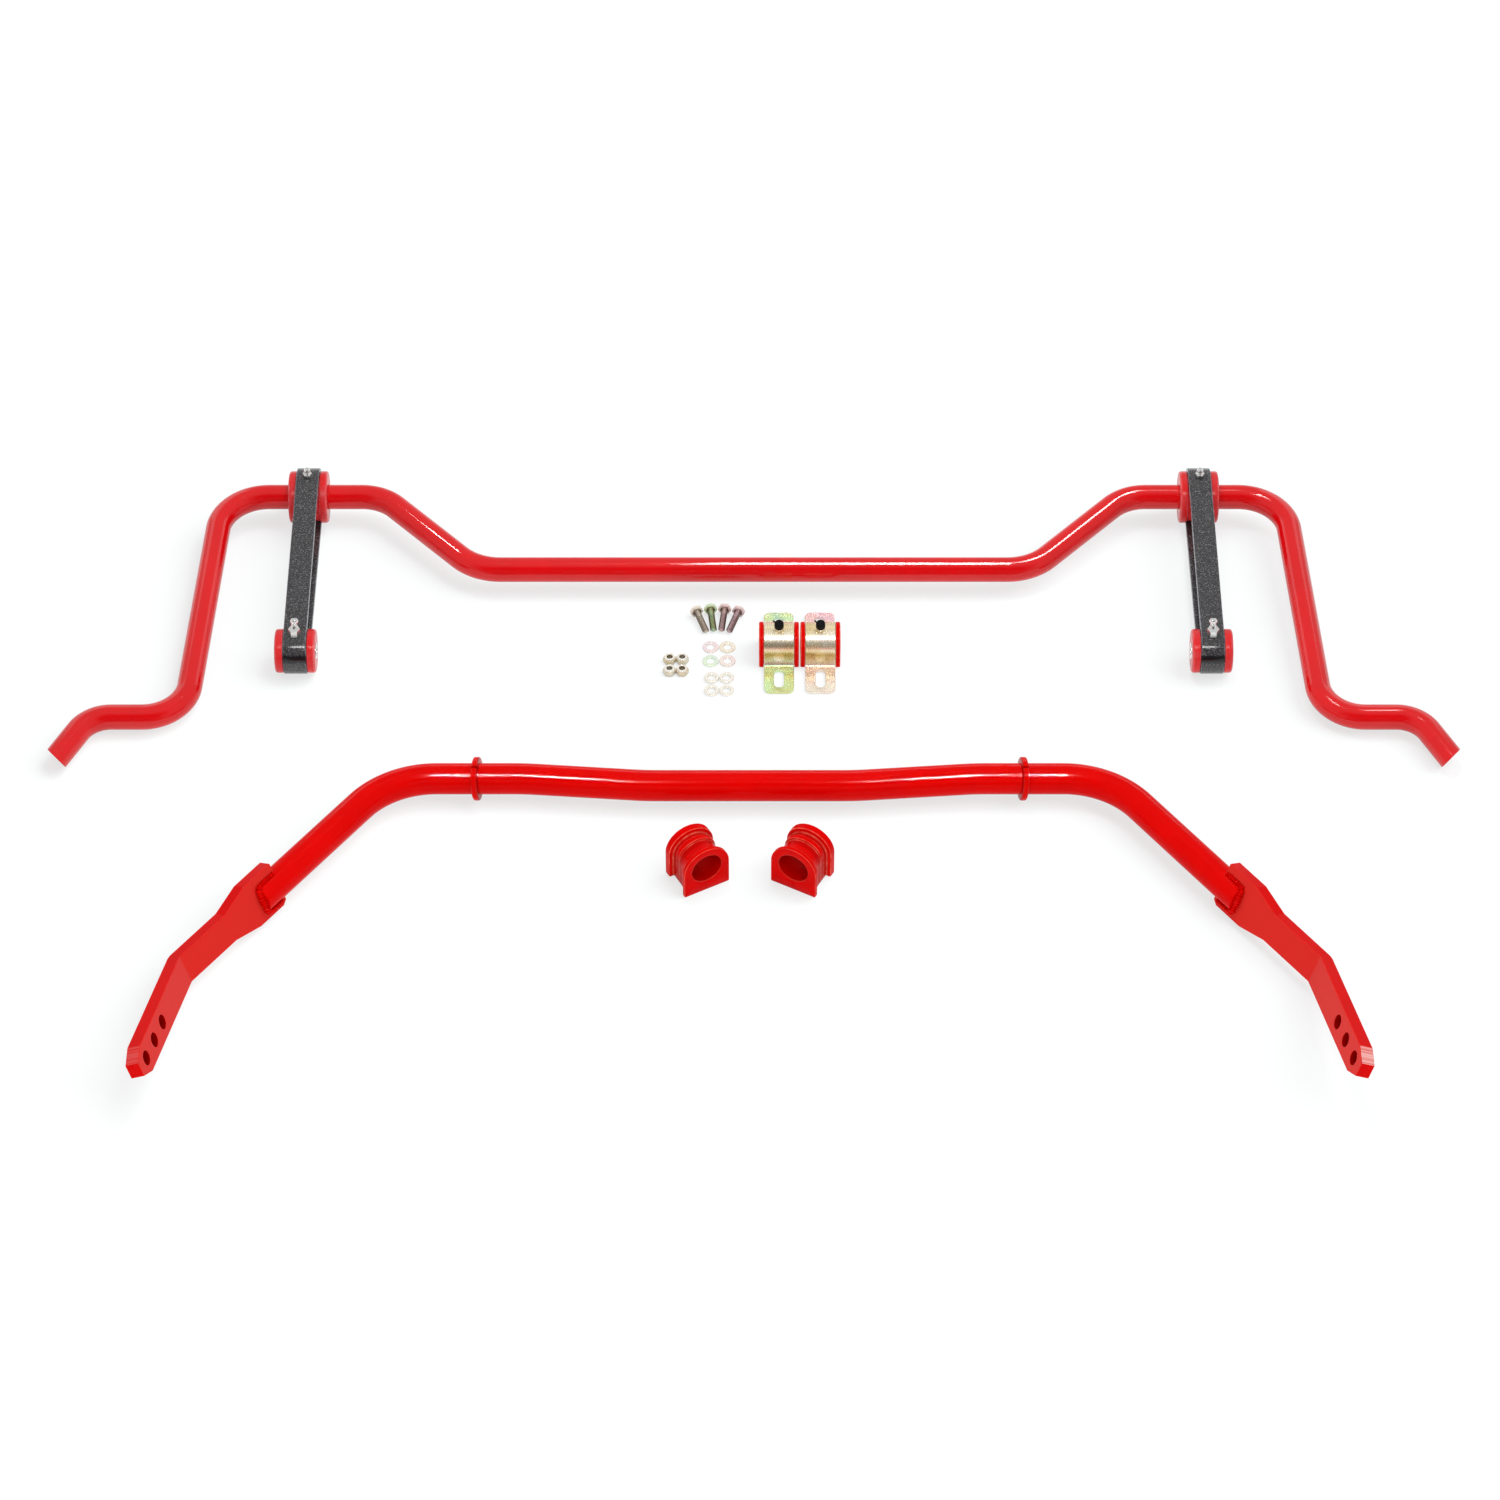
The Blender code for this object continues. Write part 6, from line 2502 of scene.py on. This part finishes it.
@dataclass
class LooseFasteners(SubAssembly):
    """The loose bolts, nuts and washers, in fours."""

    fan_x: float = 0.0
    fan_y: float = 0.2334
    fan_pitch: float = 13.2
    fan_radius: float = 0.0575
    fan_steps: tuple[float, ...] = (-1.5, -0.5, 0.5, 1.5)
    bolt_radius: float = 0.003175
    bolt_length: float = 0.0254
    bolt_steps: int = 36
    plain_length: float = 0.0070
    thread_pitch: float = 0.00127
    ridge_share: float = 0.42
    across_flats: float = 0.0111
    head_height: float = 0.0042
    nut_height: float = 0.0052
    nut_bore: float = 0.0026
    nut_edge: float = 0.0007
    nut_steps: int = 48
    collar_height: float = 0.0016
    collar_share: float = 0.46
    washer_steps: int = 64
    washer_turn: float = 0.7
    bolt_tints: tuple[float, ...] = (0.5, 0.93, 0.6, 0.66)
    nut_tints: tuple[float, ...] = (0.34, 0.4, 0.42, 0.36)
    washers: tuple[WasherSet, ...] = (
        WasherSet("flat_washer", 0.0039, 0.0004, 0.5, (0.66, 0.36, 0.86, 0.55)),
        WasherSet("thick_washer", 0.0038, 0.0005, 0.7, (0.42, 0.45, 0.47, 0.47)),
    )
    head_stain: float = 0.35
    shank_stain: float = 0.45
    head_pale: float = 0.35
    bore_shade: float = 0.7
    flank_shade: float = 0.35
    collar_pale: float = 0.9

    def build(self) -> None:
        """Builds the four sets."""
        self._bolts()
        self._nuts()
        for washer in self.washers:
            self._washers(washer)

    def _lay_out(
        self, label: str, piece: bpy.types.Object, spots: Sequence[Vector], turns: Sequence[float],
        tints: Sequence[float], tip_over: float = 0.0,
    ) -> None:
        """Copies a piece onto its places and keeps the set as one mesh.

        Args:
            label: The start of the solids' names.
            piece: The piece at the origin; it is deleted.
            spots: Where the copies go.
            turns: How far each copy is turned about Z.
            tints: The zinc's tint on each copy.
            tip_over: How far the copies are tipped about X.
        """
        mesh = self.recipes.laid_out.run(
            path_object(label + "_places", spots, {"turn": turns, "tint": tints}, joined=False),
            {"Piece": piece, "Tip Over": tip_over, "Material": self.book[Finish.YELLOW_ZINC]},
        )
        bpy.data.objects.remove(piece)
        shown = finish_mesh(label + "s_dressed", mesh, SMALL_SHARP_DEGREES)
        nodes = ["%s_%d" % (label, i + 1) for i in range(len(spots))]
        self.keep(shown, Finish.YELLOW_ZINC, ROOT_BODY, *nodes)

    def _bolts(self) -> None:
        """Hex bolts with rolled threads, fanned out on the floor."""
        radius = self.bolt_radius
        ridge = self.thread_pitch * self.ridge_share
        core = radius - ridge
        end = self.bolt_length
        draft = MeshDraft()
        draft.hexagon(self.across_flats, 0.0, self.head_height, turn(180.0, "X") @ turn(30.0, "Z"))
        shank = rounded(
            [
                (0.0, end, 0.0), (core - 0.0006, end, 0.0004), (core, end - 0.0008, 0.0003),
                (core, self.plain_length, 0.0002), (radius, self.plain_length - ridge, 0.0002),
                (radius, 0.0006, 0.0004), (radius * 1.35, 0.0, 0.0),
                (radius * 1.35, -self.head_height / 2, 0.0), (0.0, -self.head_height / 2, 0.0),
            ],
            closed=False,
        )
        draft.turned(shank, self.bolt_steps, Matrix.Identity(4), ring=False)
        solid = draft.mesh("bolt_solid")
        thread_length = end - self.plain_length - ridge
        helix = self.recipes.thread.run(
            path_object("thread_path", [Vector()], {}, joined=False),
            {
                "Radius": core, "Length": thread_length, "Turns": thread_length / self.thread_pitch,
                "Ridge": ridge, "Material": self.book[Finish.YELLOW_ZINC],
            },
        )
        helix.transform(place(z=self.plain_length))
        whole = join_meshes([solid, helix], "bolt_pattern")
        bolt = finish_mesh("bolt_pattern", whole, SMALL_SHARP_DEGREES)

        def shank_shade_at(spot: Vector) -> float:
            """Painted shade on the shank, most on its sides, and under the head.

            Args:
                spot: A place on the bolt.

            Returns:
                How dark it is there.
            """
            if spot.z < -ridge:
                return 0.0
            if spot.xy.length > radius * 1.5:
                return self.head_stain
            aside = share_of(abs(spot.x), radius * 0.3, radius)
            return self.shank_stain + (1.0 - self.shank_stain) * aside

        mark(bolt.data, "shade", shank_shade_at)
        mark(bolt.data, "pale", lambda spot: self.head_pale if spot.z < -ridge else 0.0)
        middle = Vector((self.fan_x, self.fan_y, self.across_flats / 2 + FIT / 3))
        reach = self.fan_radius
        turns = [math.radians(self.fan_pitch) * step for step in self.fan_steps]
        spots = [middle + Vector((math.sin(a) * reach, (math.cos(a) - 1) * reach, 0.0)) for a in turns]
        dip = math.asin((self.across_flats / 2 - radius) / self.bolt_length)
        self._lay_out("bolt", bolt, spots, [-a for a in turns], self.bolt_tints, math.pi / 2 + dip)

    def _nuts(self) -> None:
        """Lock nuts with a round collar over the hexagon."""
        collar = self.across_flats * self.collar_share
        bore = self.nut_bore
        mouth = bore + self.nut_edge
        flank = self.nut_height
        top = flank + self.collar_height
        draft = MeshDraft()
        draft.hexagon(self.across_flats, 0.0, flank, turn(30.0, "Z"), bore=bore, both_ends=True)
        section = rounded(
            [
                (mouth, top, 0.0003), (collar, top, 0.0009), (collar, flank * 0.7, 0.0),
                (bore, flank * 0.7, 0.0), (bore, top - self.nut_edge, 0.0),
            ]
        )
        draft.turned(section, self.nut_steps, Matrix.Identity(4))
        nut = draft.finish("nut_pattern", SMALL_SHARP_DEGREES)

        def shade_at(spot: Vector) -> float:
            """Painted shade: dark in the bore, half dark on the flanks.

            Args:
                spot: A place on the nut.

            Returns:
                How dark it is there.
            """
            deep = 1.0 - share_of(spot.xy.length, bore, mouth)
            low = 1.0 - share_of(spot.z, flank * 0.8, flank * 1.1)
            return max(self.bore_shade * deep, self.flank_shade * low)

        def pale_at(spot: Vector) -> float:
            """Bright on top of the collar, outside the bore."""
            rim = share_of(spot.xy.length, bore, mouth)
            return self.collar_pale * rim * share_of(spot.z, flank, flank + 0.0008)

        mark(nut.data, "shade", shade_at)
        mark(nut.data, "pale", pale_at)
        spots = [seat_of("nut_%d" % (i + 1)) for i in range(len(self.nut_tints))]
        self._lay_out("nut", nut, spots, [0.0] * len(spots), self.nut_tints)

    def _washers(self, kind: WasherSet) -> None:
        """Round washers, as large as the solids that they stand for.

        Args:
            kind: The set of washers.
        """
        low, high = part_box(kind.label + "_1")
        outer = (high.x - low.x) / 2
        thickness = high.z - low.z
        section = rounded(
            [
                (outer, thickness, kind.edge), (outer, 0.0, kind.edge * 0.6),
                (kind.hole, 0.0, kind.edge * 0.5), (kind.hole, thickness, kind.edge),
            ]
        )
        draft = MeshDraft()
        draft.turned(section, self.washer_steps, Matrix.Identity(4))
        washer = draft.finish(kind.label + "_pattern", SMALL_SHARP_DEGREES)
        mark(washer.data, "pale", lambda spot: kind.pale)
        spots = [seat_of("%s_%d" % (kind.label, i + 1)) for i in range(len(kind.tints))]
        turns = [self.washer_turn * i for i in range(len(spots))]
        self._lay_out(kind.label, washer, spots, turns, kind.tints)


class Lamp(NamedTuple):
    """A rectangular lamp: place, size, watts, and the finishes that it is kept to, if any."""

    name: str
    spot: Spot
    aim: Spot
    size: tuple[float, float]
    power: float
    spread: float = 180.0
    finishes: tuple[Finish, ...] = ()

    def on(self, side: Side) -> Lamp:
        """The lamp for one side of a pair that is given for the right side.

        Args:
            side: The side.

        Returns:
            The lamp in its place there, with the side in its name.
        """
        spot = (side.value * self.spot[0], self.spot[1], self.spot[2])
        aim = (side.value * self.aim[0], self.aim[1], self.aim[2])
        return self._replace(name=side.label + "_" + self.name, spot=spot, aim=aim)


REAR = (Finish.REAR_RED,)
FRONT = (Finish.FRONT_RED,)
ZINC = (Finish.YELLOW_ZINC,)
SMALL = tuple(finish for finish in Finish if finish not in REAR + FRONT)
SOFT_LAMPS = (
    Lamp("overhead", (0.1, 0.6, 2.0), (0.0, 0.1, 0.0), (0.9, 0.6), 18.0),
    Lamp("front_fill", (0.0, -2.3, 1.3), (0.0, 0.1, 0.0), (2.4, 1.2), 29.0),
)
GLOSS_LAMPS = (
    Lamp("rear_strip", (0.138, 0.48, 1.2), (0.11, 0.27, 0.0), (0.4, 0.45), 1.3, 40.0, REAR),
    Lamp("front_rim", (0.0, 2.6, 0.95), (0.0, 0.0, 0.0), (3.2, 0.5), 20.0, 180.0, FRONT),
    Lamp("detail_strip", (0.0, -0.85, 2.0), (0.0, 0.15, 0.0), (1.5, 0.26), 22.0, 180.0, SMALL),
    Lamp("zinc_glow", (0.06, 2.2, 2.05), (0.06, 0.2, 0.0), (1.2, 1.0), 1.4, 180.0, ZINC),
    Lamp("left_slope", (-0.745, 0.834, 1.247), (-0.15, 0.21, 0.0), (0.3, 0.12), 0.07, 12.0, REAR),
    Lamp("right_slope", (0.905, 0.944, 1.247), (0.31, 0.32, 0.0), (0.8, 0.7), 0.8, 18.0, REAR),
    Lamp("right_knee", (0.57, 0.7, 1.25), (0.26, 0.28, 0.0), (0.8, 0.7), 0.8, 18.0, REAR),
)
PAIRED_LAMPS = (
    Lamp("bend", (0.44, -0.7, 2.0), (0.3, 0.02, 0.0), (0.16, 0.5), 1.6, 14.0, FRONT),
    Lamp("run", (0.26, -0.65, 2.0), (0.16, 0.02, 0.0), (0.24, 0.5), 0.09, 20.0, FRONT),
    Lamp("arm", (1.09, 1.54, 0.63), (0.5, 0.2, 0.0), (0.7, 0.9), 1.6, 180.0, REAR),
)


@dataclass
class Studio:
    """The pale floor, the soft light and the camera."""

    look_at: Vector = field(default_factory=lambda: Vector((-0.0035, 0.0492, 0.0)))
    distance: float = 4.673
    elevation: float = 45.0
    lens: float = 120.0
    sensor_width: float = 36.0
    floor_half: float = 12.0
    floor_level: float = -0.0002
    floor_rough: float = 0.8
    floor_colour: Colour = (0.46, 0.46, 0.46, 1.0)
    shadow_colour: Colour = (0.17, 0.184, 0.184, 1.0)
    shadow_reach: tuple[float, float] = (0.7, 1.1)
    near_level: float = 0.69
    key_from: Vector = field(default_factory=lambda: Vector((0.68, 0.08, 0.73)))
    key_spread: float = 60.0
    key_strength: float = 4.2
    dim_way: Spot = (0.0, -0.82, 0.574)
    dim_range: tuple[float, float] = (0.72, 0.94)
    back_level: float = 0.65
    front_level: float = 0.04

    def build(self) -> None:
        """Builds the whole studio."""
        self._camera()
        self._floor_key(self._floor())
        self._world()
        for lamp in SOFT_LAMPS:
            self._hang(lamp).visible_glossy = False
        bpy.context.scene.view_settings.view_transform = "Standard"

    def kick(self, kit: Sequence[SubAssembly]) -> None:
        """Adds lamps that only show as gloss, each on the pieces it is meant for.

        Args:
            kit: The sub-assemblies, already built.
        """
        pieces = [piece for assembly in kit for piece in assembly.pieces]
        paired = [lamp.on(side) for side in Side for lamp in PAIRED_LAMPS]
        for lamp in [*GLOSS_LAMPS, *paired]:
            hung = self._hang(lamp)
            hung.visible_diffuse = False
            lit = [piece.shown for piece in pieces if piece.finish in lamp.finishes]
            self._only_on(hung, lit)

    @staticmethod
    def _hang(lamp: Lamp) -> bpy.types.Object:
        """Hangs a lamp and points it at its aim.

        Args:
            lamp: The lamp.

        Returns:
            The lamp's object.
        """
        data = bpy.data.lights.new(lamp.name, "AREA")
        data.shape = "RECTANGLE"
        data.size, data.size_y = lamp.size
        data.energy = lamp.power
        data.spread = math.radians(lamp.spread)
        hung = add_object(lamp.name, data)
        hung.location = lamp.spot
        way = Vector(lamp.aim) - Vector(lamp.spot)
        hung.rotation_euler = way.to_track_quat("-Z", "Y").to_euler()
        return hung

    @staticmethod
    def _only_on(lamp: bpy.types.Object, lit: Sequence[bpy.types.Object]) -> None:
        """Keeps a lamp's light to some objects.

        Args:
            lamp: The lamp's object.
            lit: The objects that it lights.
        """
        receivers = bpy.data.collections.new(lamp.name + "_receivers")
        for shown in lit:
            receivers.objects.link(shown)
        lamp.light_linking.receiver_collection = receivers

    def _camera(self) -> None:
        """The camera at the photograph's viewing angle."""
        data = bpy.data.cameras.new("camera")
        data.lens = self.lens
        data.sensor_width = self.sensor_width
        camera = add_object("camera", data)
        angle = math.radians(self.elevation)
        back = Vector((0.0, -math.cos(angle), math.sin(angle)))
        camera.location = self.look_at + back * self.distance
        camera.rotation_euler = (math.pi / 2 - angle, 0.0, 0.0)
        bpy.context.scene.camera = camera

    def _floor_key(self, floor: bpy.types.Object) -> None:
        """Args:
            floor: The floor.
        """
        data = bpy.data.lights.new("floor_key", "SUN")
        data.energy = self.key_strength
        data.angle = math.radians(self.key_spread)
        lamp = add_object("floor_key", data)
        lamp.rotation_euler = (-self.key_from).to_track_quat("-Z", "Y").to_euler()
        self._only_on(lamp, [floor])

    def _floor(self) -> bpy.types.Object:
        """Returns:
            The floor.
        """
        half = self.floor_half
        corners = [(-half, -half), (half, -half), (half, half), (-half, half)]
        mesh = bpy.data.meshes.new("floor")
        mesh.from_pydata([(x, y, self.floor_level) for x, y in corners], [], [(0, 1, 2, 3)])
        floor = add_object("floor", mesh)
        paint = Paint("pale_floor")
        paint.steady({"Roughness": self.floor_rough, "Specular IOR Level": 0.0, "Emission Strength": 1.0})
        rays = paint.node("ShaderNodeLightPath").outputs
        seen = paint.math("MAXIMUM", rays["Is Camera Ray"], rays["Is Glossy Ray"])
        seen = paint.math("MAXIMUM", seen, rays["Is Transmission Ray"])
        tone = paint.mix(seen, self.floor_colour, self.shadow_colour)
        paint.link(tone, paint.sockets["Base Color"])
        spot = paint.node("ShaderNodeTexCoord").outputs["Object"]
        reach = paint.node("ShaderNodeVectorMath", {0: spot}, operation="LENGTH")
        level = paint.spread(reach.outputs["Value"], *self.shadow_reach, self.near_level, 1.0)
        paint.link(paint.math("MULTIPLY", level, seen), paint.sockets["Emission Color"])
        mesh.materials.append(paint.material)
        return floor

    def _world(self) -> None:
        """Soft light from all round, dim above the front."""
        world = bpy.data.worlds.new("studio")
        bpy.context.scene.world = world
        world.use_nodes = True
        graph = Graph(world.node_tree)
        back = world.node_tree.nodes["Background"]
        way = graph.node("ShaderNodeTexCoord").outputs["Generated"]
        toward = graph.node("ShaderNodeVectorMath", {0: way, 1: self.dim_way}, operation="DOT_PRODUCT")
        level = graph.spread(toward.outputs["Value"], *self.dim_range, self.back_level, self.front_level)
        graph.link(level, back.inputs["Color"])
        white = graph.node("ShaderNodeBackground", {"Color": (1.0, 1.0, 1.0, 1.0), "Strength": 1.0})
        rays = graph.node("ShaderNodeLightPath").outputs
        both = graph.node(
            "ShaderNodeMixShader", {0: rays["Is Camera Ray"], 1: back.outputs[0], 2: white.outputs[0]}
        )
        graph.link(both.outputs[0], world.node_tree.nodes["World Output"].inputs["Surface"])


def middle_of(node: str) -> Vector:
    """The middle of a solid's box."""
    low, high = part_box(node)
    return (low + high) / 2


def seat_of(node: str) -> Vector:
    """The middle of a solid's footprint."""
    low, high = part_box(node)
    return Vector(((low.x + high.x) / 2, (low.y + high.y) / 2, low.z))


def main() -> None:
    """Loads the frame, builds and dresses every sub-assembly, and logs each piece's face count."""
    logging.basicConfig(level=logging.INFO, format="%(name)s: %(message)s")
    for old in list(bpy.data.objects):
        bpy.data.objects.remove(old, do_unlink=True)
    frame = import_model()
    hinges = {j["name"]: Vector(j["pos_m"]) for j in frame["joints"] if j["type"] == "hinge"}
    studio = Studio()
    studio.build()
    tools = {"recipes": Recipes(), "book": finish_book()}
    link_axis = hinges["left_link_pivot"]
    kit: list[SubAssembly] = [RearBar(**tools, axis_y=link_axis.y, axis_z=link_axis.z)]
    for side in Side:
        word = side.label
        pivot = hinges[word + "_link_pivot"]
        eye = hinges[word + "_sleeve_turn"]
        kit.append(StrapLink(**tools, side=side, pivot=pivot, eye=eye))
        kit.append(StrapBracket(**tools, side=side, seat=seat_of(word + "_bracket_strap")))
        kit.append(DBushing(**tools, side=side, seat=seat_of(word + "_d_bushing")))
    front_origin = (middle_of("left_location_ring") + middle_of("right_location_ring")) / 2
    ring_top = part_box("left_location_ring")[1].z
    front_origin.z = ring_top - FrontBar.ring_height - FIT - FrontBar.tube_radius
    kit.append(FrontBar(**tools, origin=front_origin))
    fan_middle = (middle_of("bolt_1") + middle_of("bolt_4")) / 2
    kit.append(LooseFasteners(**tools, fan_x=fan_middle.x))
    for assembly in kit:
        assembly.build()
        assembly.dress()
    studio.kick(kit)


if __name__ == "__main__":
    main()
